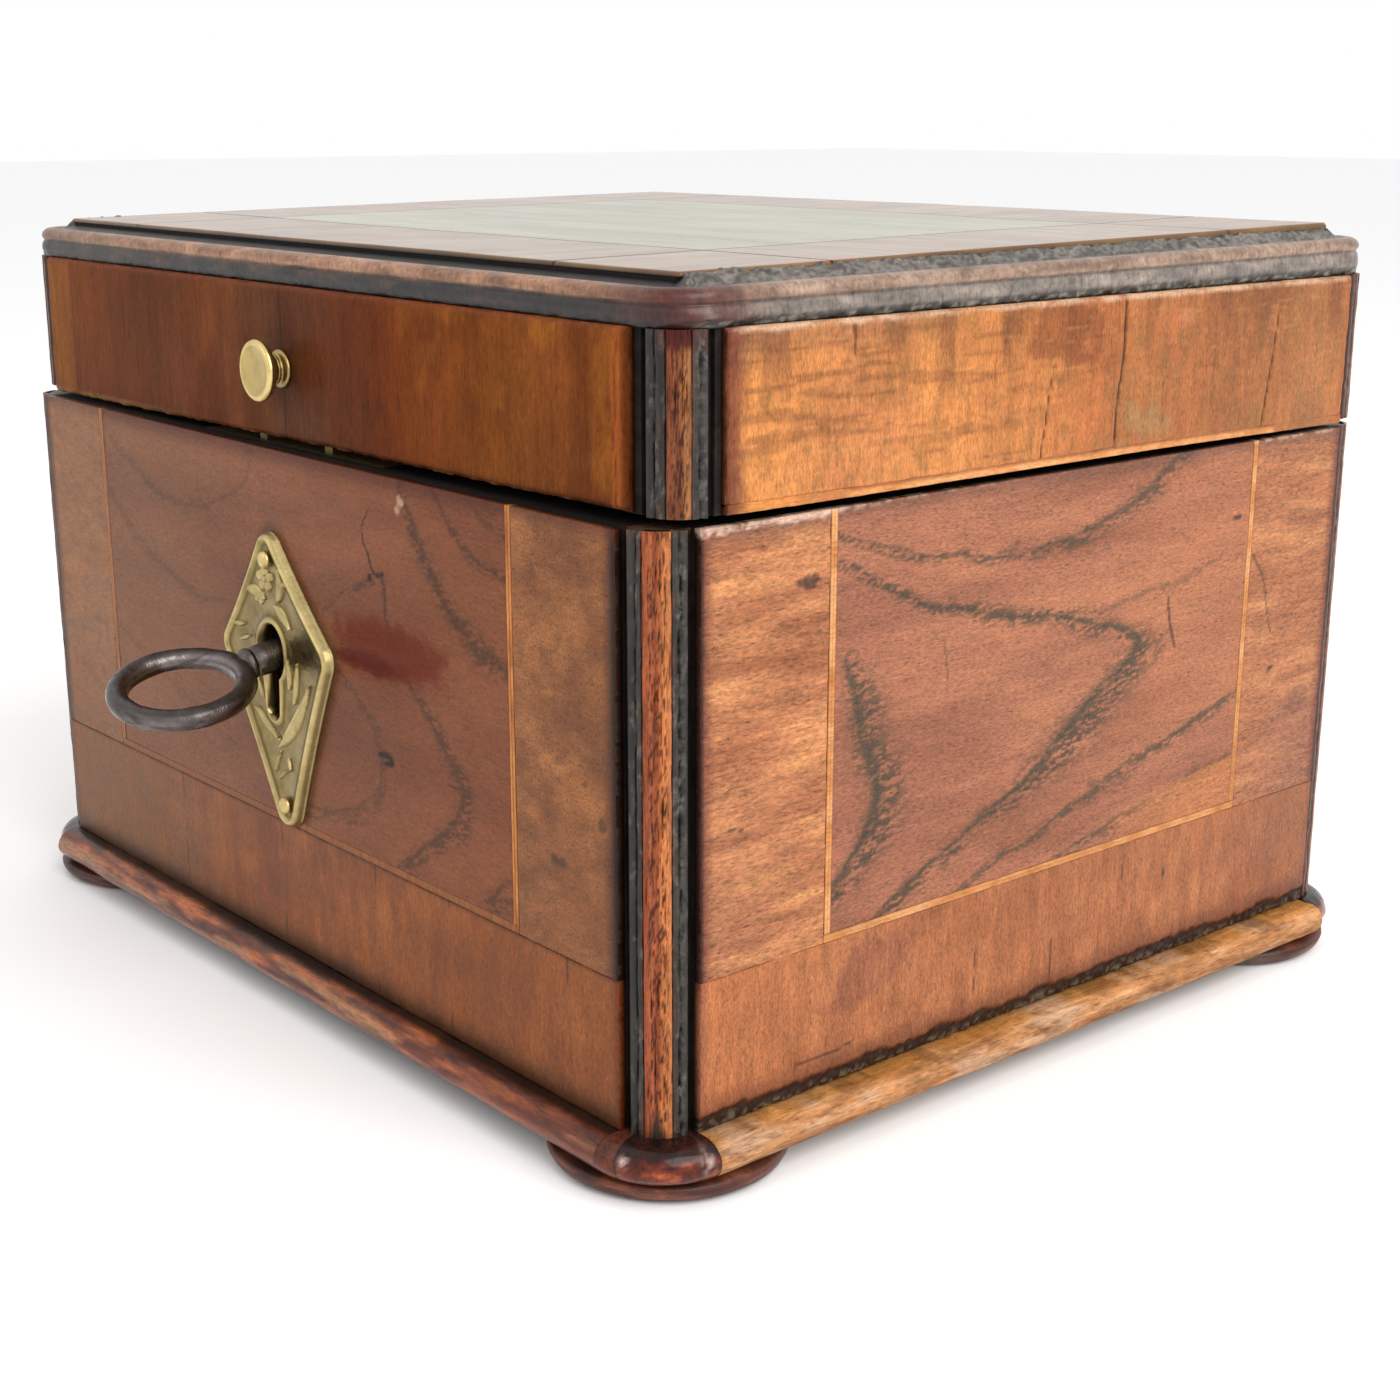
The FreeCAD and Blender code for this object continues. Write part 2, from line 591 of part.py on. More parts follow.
inner_low = d.lining_top + d.inner_gap
inner_high = inner_low + d.inner_lid
inner_mid = (d.inner_near + d.inner_far) * 0.5
for side, sign in (("left", -1), ("right", 1)):
    # turned knob with a peg in the board
    knob = turned("inner_lid_knob_" + side, "Z",
                  [(0, -3.0), (1.2, -3.0), (1.2, 0), (3.0, 0), (3.0, 0.7), (1.5, 1.3), (1.5, 2.6), (3.4, 4.2), (4.0, 5.8), (3.6, 7.2), (2.2, 8.4), (0, 8.8)],
                  (sign * inner_mid, Size.of(0), inner_high))
    node(knob, "inner_lid_knob_" + side)
    body = prism("inner_lid_%s_board" % side, "XY_Plane",
                 [[(sign * inner_mid - 44.25, -d.inner_half_y), (sign * inner_mid + 44.25, -d.inner_half_y),
                   (sign * inner_mid + 44.25, d.inner_half_y), (sign * inner_mid - 44.25, d.inner_half_y)]],
                 inner_low, inner_high)
    doc.recompute()
    pad = body.Group[-1]
    rim = [("Edge%d" % (i + 1)) for i, e in enumerate(pad.Shape.Edges)
           if all(abs(v.Point.z - inner_high.v) < 1e-6 for v in e.Vertexes)]
    ch = body.newObject("PartDesign::Chamfer", "inner_lid_%s_chamfer" % side)
    ch.Base = (pad, rim)
    ch.Size = 1.2
    node(cut("inner_lid_" + side, body, knob), "inner_lid_" + side)

# ----------------------------------------------------------------- escutcheon
# kite-shaped plate: four round corners joined by tangent sides, with the
# keyhole, drawn about the middle of its widest line and leaning a little
plate = doc.addObject("PartDesign::Body", "escutcheon_plate")
sk = plate.newObject("Sketcher::SketchObject", "escutcheon_outline")
sk.AttachmentSupport = [(role(plate, "XZ_Plane"), "")]
sk.MapMode = "FlatFace"
CORNERS = [  # centre u, centre v, radius
    (d.plate_half - 4.0, Size.of(0), 4.0), (Size.of(0), d.plate_up - 3.4, 3.4),
    (-(d.plate_half - 4.0), Size.of(0), 4.0), (Size.of(0), -(d.plate_down - 3.8), 3.8),
]


def tangent_angle(a, b):
    """Direction of the outward normal of the side between two round corners."""
    du, dv = b[0].v - a[0].v, b[1].v - a[1].v
    return math.atan2(dv, du) - math.acos((a[2] - b[2]) / math.hypot(du, dv))


arcs = []
for i in range(4):
    a_in = tangent_angle(CORNERS[i - 1], CORNERS[i])
    a_out = tangent_angle(CORNERS[i], CORNERS[(i + 1) % 4])
    u, v, r = CORNERS[i]
    while a_out < a_in:
        a_out += 2 * math.pi
    g = sk.addGeometry(Part.ArcOfCircle(Part.Circle(Vector(u.v, v.v, 0), Vector(0, 0, 1), r), a_in, a_out))
    for kind, s in (("DistanceX", u), ("DistanceY", v)):
        n = sk.addConstraint(Sketcher.Constraint(kind, -1, 1, g, 3, s.v))
        if "Dims" in s.e:
            sk.setExpression("Constraints[%d]" % n, s.e)
    sk.addConstraint(Sketcher.Constraint("Radius", g, r))
    arcs.append((g, Vector(u.v + r * math.cos(a_out), v.v + r * math.sin(a_out), 0),
                 Vector(u.v + r * math.cos(a_in), v.v + r * math.sin(a_in), 0)))
for i in range(4):
    g = sk.addGeometry(Part.LineSegment(arcs[i][1], arcs[(i + 1) % 4][2]))
    sk.addConstraint(Sketcher.Constraint("Tangent", arcs[i][0], 2, g, 1))
    sk.addConstraint(Sketcher.Constraint("Tangent", g, 2, arcs[(i + 1) % 4][0], 1))
pad = plate.newObject("PartDesign::Pad", "escutcheon_pad")
pad.Profile = sk
drive(pad, "Length", d.plate_thick)
plate.Placement = Placement(Vector(0, 0, 0), Rotation(Vector(0, 1, 0), -VALUE["plate_tilt"]))
place(plate, (d.plate_x, d.row_y - d.half_y, d.plate_z))
plate_hole = prism("plate_hole", "XZ_Plane", [keyhole(d.hole_x)], -(d.half_y + d.plate_thick + 1.0), -(d.half_y - 0.5))
node(cut("escutcheon", plate, plate_hole, pins), "escutcheon")

# ------------------------------------------------------------------------ lock
lf = d.lock_front
cap_face = iy + d.cap_plate
sel_low = d.case_top - d.selvedge
case_out = box("lock_case_out", (d.key_x - d.lock_half, d.key_x + d.lock_half), (-lf, -cap_face), (d.lock_low, sel_low))
case_in = box("lock_case_in", (d.key_x - d.lock_half + 1.0, d.key_x + d.lock_half - 1.0), (-(lf - d.lock_plate), -(cap_face - 1.0)), (d.lock_low + 1.0, sel_low + 1.0))
guides = []
guide_z = Size.of(87.25)
for i, gx in enumerate((-14.0, 3.0)):
    g = doc.addObject("Part::Cylinder", "bolt_guide%d" % i)
    g.Radius = 1.0
    drive(g, "Height", lf - d.lock_plate - cap_face + 0.3)
    g.Placement = Placement(Vector(0, 0, 0), Rotation(Vector(1, 0, 0), -90))
    place(g, (d.key_x + gx, d.row_y - lf + d.lock_plate - 0.3, guide_z))
    guides.append(g)
shell = cut("lock_shell", case_out, case_in, key_slot)
node(fuse("lock_case", shell, *guides), "lock_case")
cap_raw = box("lock_cap_raw", (d.key_x - d.cap_half, d.key_x + d.cap_half), (-cap_face, -iy), (cap_low, sel_low))
node(cut("lock_cap", cap_raw, cap_screws), "lock_cap")
slots = [box("staple_slot%d" % i, (d.key_x + s * d.staple_x - 1.9, d.key_x + s * d.staple_x + 1.9),
             (-(d.bolt_mid + 3.1), -(d.bolt_mid - 2.9)), (sel_low - 1.0, d.case_top + 1.0)) for i, s in enumerate((-1, 1))]
sel_raw = box("selvedge_raw", (d.key_x - d.cap_half, d.key_x + d.cap_half), (-lf, -iy), (sel_low, d.case_top))
node(cut("lock_selvedge", sel_raw, *slots), "lock_selvedge")

# the bolt: a flat bar on two guide studs, two hooked fingers above it and two
# talon legs below it, between which the key bit works
s1, s2 = -d.staple_x, d.staple_x
kx = d.key_x
leg = d.key_z + 11.6
bar0, bar1, fin0, fin1 = 84.5, 90.0, 95.4, 98.4
outline = [(s1 - 10.2, bar0), (-9.0, bar0), (-9.0, leg), (-5.2, leg), (-5.2, bar0), (5.2, bar0), (5.2, leg), (9.0, leg), (9.0, bar0),
           (13.0, bar0), (13.0, bar1), (s2 - 6.4, bar1), (s2 - 6.4, fin0), (s2 - 1.9, fin0), (s2 - 1.9, fin1), (s2 - 10.2, fin1),
           (s2 - 10.2, bar1), (s1 - 6.4, bar1), (s1 - 6.4, fin0), (s1 - 1.9, fin0), (s1 - 1.9, fin1), (s1 - 10.2, fin1)]
loops = [[(kx + u, Size.of(v)) for u, v in outline]]
for gx in (-14.0, 3.0):
    a, b, lo, hi = gx - 5.85, gx + 2.85, 85.9, 88.6
    loops.append([(kx + a, lo), (kx + b, lo), (kx + b, hi), (kx + a, hi)])
node(prism("lock_bolt", "XZ_Plane", loops, -(d.bolt_mid + d.bolt_thick * 0.5), -(d.bolt_mid - d.bolt_thick * 0.5)), "lock_bolt")

# the link plate under the lid, with the two staples that enter the selvedge
link = box("link_bar", (kx - d.lock_half, kx + d.lock_half), (-(d.bolt_mid + 2.6), -(d.bolt_mid - 3.0)), (d.lid_low, d.lid_low + d.link_plate))
link_parts = [link]
for i, s in enumerate((-1, 1)):
    sx = kx + s * d.staple_x
    bar = box("staple%d" % i, (sx - d.staple_half, sx + d.staple_half), (-(d.bolt_mid + d.staple_wide), -(d.bolt_mid - d.staple_wide)), (d.staple_low, d.lid_low + 0.5))
    eye = box("staple_eye%d" % i, (sx - 2.0, sx + 2.0), (-(d.bolt_mid + d.eye_wide), -(d.bolt_mid - d.eye_wide)), (d.eye_low, d.eye_high))
    link_parts.append(cut("staple_loop%d" % i, bar, eye))
link_fused = fuse("link_fused", *link_parts)
node(cut("link_plate", link_fused, link_screws), "link_plate")

# --------------------------------------------------------------------- hinges
kn = (d.hinge_half * 2 - d.knuckle_gap * 4) * 0.2
seg = kn + d.knuckle_gap


def knuckles(name, which, x_mid):
    """Cylinders of the hinge barrel at the given places, along X."""
    made = []
    for i in which:
        c = doc.addObject("Part::Cylinder", "%s%d" % (name, i))
        drive(c, "Radius", d.knuckle)
        drive(c, "Height", kn)
        c.Placement = Placement(Vector(0, 0, 0), Rotation(Vector(0, 1, 0), 90))
        place(c, (x_mid - d.hinge_half + seg * i, d.row_y + d.hinge_y, d.hinge_z))
        made.append(c)
    return made


def bore(name, x_mid, radius):
    c = doc.addObject("Part::Cylinder", name)
    drive(c, "Radius", radius)
    drive(c, "Height", d.hinge_half * 2)
    c.Placement = Placement(Vector(0, 0, 0), Rotation(Vector(0, 1, 0), 90))
    place(c, (x_mid - d.hinge_half, d.row_y + d.hinge_y, d.hinge_z))
    return c


def leaves(label, which, z, screws, radius, edge):
    made = []
    for side, sx in (("left", -1), ("right", 1)):
        xm = sx * d.hinge_x
        bits = [box("%s_%s_leaf" % (label, side), (xm - d.hinge_half, xm + d.hinge_half), (edge, d.leaf_edge), z)]
        for i in which:
            x0 = xm - d.hinge_half + seg * i
            bits.append(box("%s_%s_tab%d" % (label, side, i), (x0, x0 + kn), (d.leaf_edge - 0.5, d.hinge_y), z))
        bits += knuckles("%s_%s_knuckle" % (label, side), which, xm)
        f = fuse("%s_%s_fused" % (label, side), *bits)
        made.append(cut("%s_%s" % (label, side), f, bore("%s_%s_bore" % (label, side), xm, radius), screws))
    return node(group(label, *made), label)


leaves("hinge_lower_leaves", (0, 2, 4), leaf_z, lower_screws, d.hinge_pin, d.leaf_in)
upper_z = (d.lid_low, d.lid_low + d.hinge_leaf)
leaves("hinge_upper_leaves", (1, 3), upper_z, upper_screws, d.hinge_pin + d.pin_play, d.leaf_in)
node(group("hinge_pins", bore("hinge_pin_left", -d.hinge_x, d.hinge_pin), bore("hinge_pin_right", d.hinge_x, d.hinge_pin)), "hinge_pins")

# -------------------------------------------------------------------- lid rim
lhx, lhy = d.lid_half_x, d.lid_half_y
lox, loy = lhx - d.veneer, lhy - d.veneer
lix, liy = lox - d.lid_wall, loy - d.lid_wall
z_lid = (d.lid_low, d.lid_high)
front_face = d.row_y + d.lid_y - lhy
knob_at = (d.knob_x, front_face, d.knob_z)
# lid knob: dished head with a rim, ringed neck, collar and a peg in the rim
lid_knob = turned("lid_knob", "Y",
                  [(0, -5.1), (3.6, -5.3), (4.6, -5.5), (5.15, -5.2), (5.3, -4.6), (5.0, -3.9), (4.2, -3.4), (2.6, -3.1), (2.3, -2.6), (2.9, -2.3),
                   (2.9, -1.9), (2.3, -1.6), (2.4, -1.0), (3.2, -0.8), (3.2, 0), (1.3, 0), (1.3, 7.0), (0, 7.6)],
                  knob_at, at=MID)
node(lid_knob, "lid_knob")
link_seat = box("link_seat", (kx - d.lock_half, kx + d.lock_half), (-(d.bolt_mid + 2.6), -(d.bolt_mid - 3.0)), (d.lid_low, d.lid_low + d.link_plate))
lid_seats = [box("lid_leaf_seat%d" % i, (sx * d.hinge_x - d.hinge_half, sx * d.hinge_x + d.hinge_half), (d.leaf_in, d.leaf_edge), upper_z)
             for i, sx in enumerate((-1, 1))]
lf_raw = box("lid_front_raw", (-lox, lox), (-loy, -liy), z_lid, LID)
node(cut("lid_front_board", lf_raw, *(notches("lid_front", lhx, lhy, d.corner, d.lid_low, d.lid_high, LID, -1)
                                      + [lid_knob, link_seat, link_screws])), "lid_front_board")
lb_raw = box("lid_back_raw", (-lox, lox), (liy, loy), z_lid, LID)
node(cut("lid_back_board", lb_raw, *(notches("lid_back", lhx, lhy, d.corner, d.lid_low, d.lid_high, LID, 1)
                                     + lid_seats + [upper_screws])), "lid_back_board")
node(box("lid_left_board", (-lox, -lix), (-liy, liy), z_lid, LID), "lid_left_board")
node(box("lid_right_board", (lix, lox), (-liy, liy), z_lid, LID), "lid_right_board")

lrx, lry = lhx - d.corner, lhy - d.corner
fv_raw = box("lid_front_veneer_raw", (-lrx, lrx), (-lhy, -loy), z_lid, LID)
node(cut("lid_front_veneer", fv_raw, lid_knob), "lid_front_veneer")
bv_raw = box("lid_back_veneer_raw", (-lrx, lrx), (loy, lhy), z_lid, LID)
node(cut("lid_back_veneer", bv_raw, *lid_seats), "lid_back_veneer")
line_top = d.lid_low + d.lid_line
node(group("lid_side_veneers",
           box("lid_veneer_left", (-lhx, -lox), (-lry, lry), (line_top, d.lid_high), LID),
           box("lid_veneer_right", (lox, lhx), (-lry, lry), (line_top, d.lid_high), LID)), "lid_side_veneers")
node(group("lid_edge_stringing",
           box("lid_line_left", (-lhx, -lox), (-lry, lry), (d.lid_low, line_top), LID),
           box("lid_line_right", (lox, lhx), (-lry, lry), (d.lid_low, line_top), LID)), "lid_edge_stringing")

# -------------------------------------------------------------------- cornice
# the section is swept round a rounded rectangle, then mitred into four strips
mid_in = (d.cornice_out + d.cornice_in) * 0.5
ring = doc.addObject("PartDesign::Body", "cornice_ring")
path = sketch(ring, "XY_Plane", [rounded(lhx - mid_in, lhy - mid_in, d.cornice_turn)], (0, 0, d.lid_high), "_path")
out, inn = lhx - d.cornice_out, lhx - d.cornice_in
h0 = d.lid_high
section = [(inn, h0), (out, h0), (out, h0 + 2.5), (out + 0.15, h0 + 2.9, Size.of(4.2), (out.v - 0.75, h0.v + 4.05)), (out - 2.6, h0 + 5.0),
           (inn + 0.4, h0 + 5.5), (inn, h0 + 5.5)]
prof = sketch(ring, "XZ_Plane", [section], (0, 0, 0), "_section")
pipe = ring.newObject("PartDesign::AdditivePipe", "cornice_sweep")
pipe.Profile = prof
doc.recompute()
pipe.Spine = (path, ["Edge%d" % (i + 1) for i in range(len(path.Shape.Edges))])
place(ring, LID)
gap = lhx - lhy
strips = []
far = 30.0
for name, loop in (
        ("front", [(-(gap), 0), (-(lhx + far), -(lhy + far)), (lhx + far, -(lhy + far)), (gap, 0)]),
        ("back", [(gap, 0), (lhx + far, lhy + far), (-(lhx + far), lhy + far), (-gap, 0)]),
        ("right", [(gap, 0), (lhx + far, -(lhy + far)), (lhx + far, lhy + far)]),
        ("left", [(-gap, 0), (-(lhx + far), lhy + far), (-(lhx + far), -(lhy + far))])):
    wedge = prism("cornice_wedge_" + name, "XY_Plane", [loop], d.lid_high - 5.0, d.lid_high + 15.0, LID)
    com = doc.addObject("Part::Common", "cornice_" + name)
    com.Base = ring
    com.Tool = wedge
    strips.append(com)
node(group("cornice", *strips), "cornice")

# ------------------------------------------------------------------- lid top
tx, ty = lhx - d.cornice_in, lhy - d.cornice_in
inner_turn = d.cornice_turn - (d.cornice_in - d.cornice_out) * 0.5
node(prism("lid_top_board", "XY_Plane", [rounded(tx, ty, inner_turn)], d.lid_high, d.panel_low, LID), "lid_top_board")
px, py = lhx - d.panel_in, lhy - d.panel_in
qx, qy = px - d.panel_band, py - d.panel_band
z_top = (d.panel_low, d.panel_low + d.panel)
node(box("top_field", (-qx, qx), (-qy, qy), z_top, LID), "top_field")
node(group("top_crossbanding",
           box("top_band_front", (-qx, qx), (-py, -qy), z_top, LID),
           box("top_band_back", (-qx, qx), (qy, py), z_top, LID),
           box("top_band_left", (-px, -qx), (-qy, qy), z_top, LID),
           box("top_band_right", (qx, px), (-qy, qy), z_top, LID)), "top_crossbanding")
kk = math.sqrt(0.5)
square = [(qx, -py), (px - 2.0, -py, Size.of(2.0), ((px - 2.0).v + 2.0 * kk, -(py - 2.0).v - 2.0 * kk)), (px, -(py - 2.0)), (px, -qy), (qx, -qy)]
squares = prism("top_corner_squares", "XY_Plane", [square], z_top[0], z_top[1], LID)
node(repeat(squares, ("mirror", "YZ_Plane"), ("mirror", "XZ_Plane")), "top_corner_squares")
node(box("lid_lining", (-(lix - 0.3), lix - 0.3), (-(liy - 0.3), liy - 0.3), (d.lid_high - 1.2, d.lid_high), LID), "lid_lining")

# ------------------------------------------------------------------------ key
# drawn along -Y from a point of its axis between escutcheon and lock
def rod(name, radius, y0, y1):
    c = doc.addObject("Part::Cylinder", name)
    drive(c, "Radius", radius)
    drive(c, "Height", Size.of(y1) - y0)
    c.Placement = Placement(Vector(0, 0, 0), Rotation(Vector(1, 0, 0), -90))
    place(c, (Size.of(0), Size.of(y0), Size.of(0)))
    return c


bow = doc.addObject("Part::Torus", "key_bow")
drive(bow, "Radius1", d.bow_ring)
drive(bow, "Radius2", d.bow_wire)
place(bow, (Size.of(0), -d.bow_centre, Size.of(0)))
shank = rod("key_rod", d.key_shank, -d.key_outer, d.key_inner)
collar = rod("key_collar", Size.of(3.15), -d.key_outer + 0.9, -d.key_outer + 2.0)
bit = box("key_bit", (-d.bit_reach, -1.0), (d.key_inner - 2.4, d.key_inner - 2.4 + d.bit_wide), (Size.of(-1.3), Size.of(1.3)), MID)
key = fuse("key", shank, collar, bow, bit)
turn = Rotation(Vector(0, 1, 0), VALUE["key_turn"])
droop = Rotation(Vector(1, 0, 0), VALUE["key_droop"])
key.Placement = Placement(Vector(0, 0, 0), droop.multiply(turn))
place(key, (d.key_x, d.row_y + d.key_pivot_y, d.key_z))
node(key, "key")

# -------------------------------------------------------------------- write
doc.recompute()
bad = [o.Name for o in doc.Objects if any(s in ("Invalid", "Error") for s in o.State)]
if bad:
    raise SystemExit("failed objects: %s" % ", ".join(bad))
for o in NODES:
    if o.Shape.isNull() or not o.Shape.isValid() or not o.Shape.Solids:
        raise SystemExit("bad shape: %s" % o.Label)
if len({o.Label for o in NODES}) != len(NODES) or len(NODES) > 60:
    raise SystemExit("labels: %d nodes" % len(NODES))
for name in os.listdir("parts"):
    if name.endswith(".step"):
        os.remove(os.path.join("parts", name))
whole = FreeCAD.BoundBox()
for o in NODES:
    o.Shape.exportStep("parts/%s.step" % o.Label)
    whole.add(o.Shape.BoundBox)
    print("%-24s %2d solid(s) %10.1f mm3" % (o.Label, len(o.Shape.Solids), o.Shape.Volume))
print(len(NODES), "nodes; box x %.2f..%.2f y %.2f..%.2f z %.2f..%.2f" % (
    whole.XMin, whole.XMax, whole.YMin, whole.YMax, whole.ZMin, whole.ZMax))
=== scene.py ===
import bpy
import json
import math
import numpy as np
from mathutils import Matrix, Vector


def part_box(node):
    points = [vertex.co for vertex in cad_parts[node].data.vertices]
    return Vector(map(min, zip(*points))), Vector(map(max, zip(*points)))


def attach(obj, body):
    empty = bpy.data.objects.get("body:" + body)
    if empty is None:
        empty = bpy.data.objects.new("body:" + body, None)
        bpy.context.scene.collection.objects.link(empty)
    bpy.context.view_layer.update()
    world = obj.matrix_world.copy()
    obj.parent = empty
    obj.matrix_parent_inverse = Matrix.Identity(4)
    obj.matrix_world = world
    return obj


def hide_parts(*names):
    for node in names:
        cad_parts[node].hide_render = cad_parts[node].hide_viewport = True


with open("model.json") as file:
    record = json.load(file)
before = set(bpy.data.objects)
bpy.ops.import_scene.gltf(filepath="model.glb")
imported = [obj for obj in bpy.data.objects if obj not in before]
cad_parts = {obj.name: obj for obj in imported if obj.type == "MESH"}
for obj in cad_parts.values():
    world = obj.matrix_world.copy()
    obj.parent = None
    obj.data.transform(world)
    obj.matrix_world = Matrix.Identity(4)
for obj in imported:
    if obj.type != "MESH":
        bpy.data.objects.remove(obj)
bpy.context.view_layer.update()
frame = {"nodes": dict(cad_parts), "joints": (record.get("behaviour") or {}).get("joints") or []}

# --------------------------------------------------------------------------
# Frame of reference.  Builders below work in millimetres about the middle of
# the case (x right, y back, z up) and are carried to the row frame at the end.
lo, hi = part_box("base_moulding_front")[0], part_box("base_moulding_back")[1]
ROW_Y = (lo.y + hi.y) * 500.0


def mm(node):
    a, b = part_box(node)
    return ([a.x * 1000, a.y * 1000 - ROW_Y, a.z * 1000], [b.x * 1000, b.y * 1000 - ROW_Y, b.z * 1000])


FIELD = mm("front_field")
SIDE = mm("side_crossbanding")
HX = SIDE[1][0]
HY = -mm("front_crossbanding")[0][1]
Z0, Z1 = mm("front_board")[0][2], mm("front_board")[1][2]
RUN_X = mm("front_crossbanding")[1][0]
RUN_Y = SIDE[1][1]
BAND_Z = mm("front_stringing")[0][2]
LINE_Z = FIELD[0][2]
FX = mm("front_stringing")[1][0]
SY = mm("side_stringing")[1][1]
LIDF = mm("lid_front_veneer")
LIDB = mm("lid_back_veneer")
LIDS = mm("lid_side_veneers")
L0, L1 = LIDF[0][2], LIDF[1][2]
LX0, LX1 = LIDS[0][0], LIDS[1][0]
LY0, LY1 = LIDF[0][1], LIDB[1][1]
LCX, LCY = (LX0 + LX1) / 2, (LY0 + LY1) / 2
LHX, LHY = (LX1 - LX0) / 2, (LY1 - LY0) / 2
LRX, LRY = (LIDF[1][0] - LIDF[0][0]) / 2, (LIDS[1][1] - LIDS[0][1]) / 2
PAN = mm("top_crossbanding")
PANZ0, PANZ1 = PAN[0][2], PAN[1][2]
TF = mm("top_field")


# ---------------------------------------------------------------- small maths
def lin(c):
    c = np.asarray(c, float) / 255.0
    return np.where(c <= 0.04045, c / 12.92, ((c + 0.055) / 1.055) ** 2.4)


def _hash(i, j, s):
    n = (i.astype(np.int64) * 374761393 + j.astype(np.int64) * 668265263 + int(s) * 974634777) & 0xFFFFFFFF
    n = ((n ^ (n >> 13)) * 1274126177) & 0xFFFFFFFF
    n = n ^ (n >> 16)
    return (n & 0xFFFFFF) / float(0xFFFFFF)


def vn(x, y, s=0):
    i, j = np.floor(x), np.floor(y)
    fx, fy = x - i, y - j
    fx, fy = fx * fx * (3 - 2 * fx), fy * fy * (3 - 2 * fy)
    a, b, c, d = _hash(i, j, s), _hash(i + 1, j, s), _hash(i, j + 1, s), _hash(i + 1, j + 1, s)
    return (a * (1 - fx) + b * fx) * (1 - fy) + (c * (1 - fx) + d * fx) * fy


def fbm(x, y, s=0, o=4):
    x, y = np.broadcast_arrays(np.asarray(x, float), np.asarray(y, float))
    t, n, a = 0.0, 0.0, 0.5
    for k in range(o):
        t = t + a * vn(x, y, s + k * 17)
        n += a
        x, y, a = x * 2.03 + 11.7, y * 2.03 + 5.3, a * 0.5
    return t / n


def sm(a, b, x):
    t = np.clip((x - a) / (b - a), 0, 1)
    return t * t * (3 - 2 * t)


def chaikin(pts, n=2):
    pts = [tuple(map(float, p)) for p in pts]
    for _ in range(n):
        out = [pts[0]]
        for p, q in zip(pts, pts[1:]):
            out.append(tuple(0.75 * a + 0.25 * b for a, b in zip(p, q)))
            out.append(tuple(0.25 * a + 0.75 * b for a, b in zip(p, q)))
        out.append(pts[-1])
        pts = out
    return pts


def stroke(u, v, pts, soft=0.7, s=0, wob=0.5, grain=6.0):
    """Mask of a drawn line; pts are (u, v, half width) in millimetres."""
    xs = [p[0] for p in pts]
    ys = [p[1] for p in pts]
    pad = max(p[2] for p in pts) + 2 * wob + 0.5
    near = (u > min(xs) - pad) & (u < max(xs) + pad) & (v > min(ys) - pad) & (v < max(ys) + pad)
    out = np.zeros(u.shape)
    if not near.any():
        return out
    uu, vv = u[near], v[near]
    a = uu + (fbm(uu / grain, vv / grain, s + 3, 3) - 0.5) * wob * 3
    b = vv + (fbm(uu / grain, vv / grain, s + 9, 3) - 0.5) * wob * 3
    best = np.zeros(uu.shape)
    p = chaikin(pts)
    for (x0, y0, w0), (x1, y1, w1) in zip(p, p[1:]):
        dx, dy = x1 - x0, y1 - y0
        t = np.clip(((a - x0) * dx + (b - y0) * dy) / max(dx * dx + dy * dy, 1e-9), 0, 1)
        d = np.hypot(a - x0 - t * dx, b - y0 - t * dy)
        w = w0 + (w1 - w0) * t
        best = np.maximum(best, 1 - sm(w * (1 - soft), w * (1 + 0.25 * soft), d))
    out[near] = best
    return out


def blob(u, v, x, y, rx, ry, s=0, rag=0.35):
    d = np.hypot((u - x) / rx, (v - y) / ry) + (fbm(u / 2.5, v / 2.5, s, 3) - 0.5) * rag * 2
    return 1 - sm(0.55, 1.05, d)


def mixc(c, col, m):
    m = np.clip(m, 0, 1)[..., None]
    return c * (1 - m) + np.asarray(col) * m


def ramp(t, stops):
    """Colour along stops of (position, linear colour)."""
    ps = [q[0] for q in stops]
    cs = np.array([q[1] for q in stops], float)
    return np.stack([np.interp(t, ps, cs[:, k]) for k in range(3)], -1)


# ------------------------------------------------------------------ mesh maker
class Maker:
    def __init__(self):
        self.v, self.f, self.t, self.m, self.n = [], [], [], [], 0

    def add(self, verts, faces, tint=None, mask=None, mirror=False):
        verts = np.asarray(verts, float).reshape(-1, 3)
        k = len(verts)
        tint = np.full((k, 3), 0.5) if tint is None else np.broadcast_to(np.asarray(tint, float), (k, 3))
        mask = np.zeros(k) if mask is None else np.broadcast_to(np.asarray(mask, float), (k,))
        if mirror:
            faces = [tuple(reversed(q)) for q in faces]
        self.f += [tuple(i + self.n for i in q) for q in faces]
        self.v.append(verts)
        self.t.append(tint)
        self.m.append(mask)
        self.n += k

    def build(self, name, body, nodes, slot, mat, angle=40):
        v = np.concatenate(self.v)
        v[:, 1] += ROW_Y
        v /= 1000.0
        me = bpy.data.meshes.new(name)
        me.from_pydata(v.tolist(), [], self.f)
        me.validate()
        me.update()
        a = me.attributes.new("tint", "FLOAT_COLOR", "POINT")
        t = np.concatenate(self.t)
        a.data.foreach_set("color", np.hstack([np.clip(t, 0, 4), np.ones((len(t), 1))]).astype(np.float32).ravel())
        b = me.attributes.new("wear", "FLOAT", "POINT")
        b.data.foreach_set("value", np.concatenate(self.m).astype(np.float32))
        ob = bpy.data.objects.new(name, me)
        bpy.context.scene.collection.objects.link(ob)
        me.materials.append(mat)
        me.polygons.foreach_set("use_smooth", [True] * len(me.polygons))
        sharp(me, angle)
        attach(ob, body)
        if nodes:
            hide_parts(*nodes)
        return ob


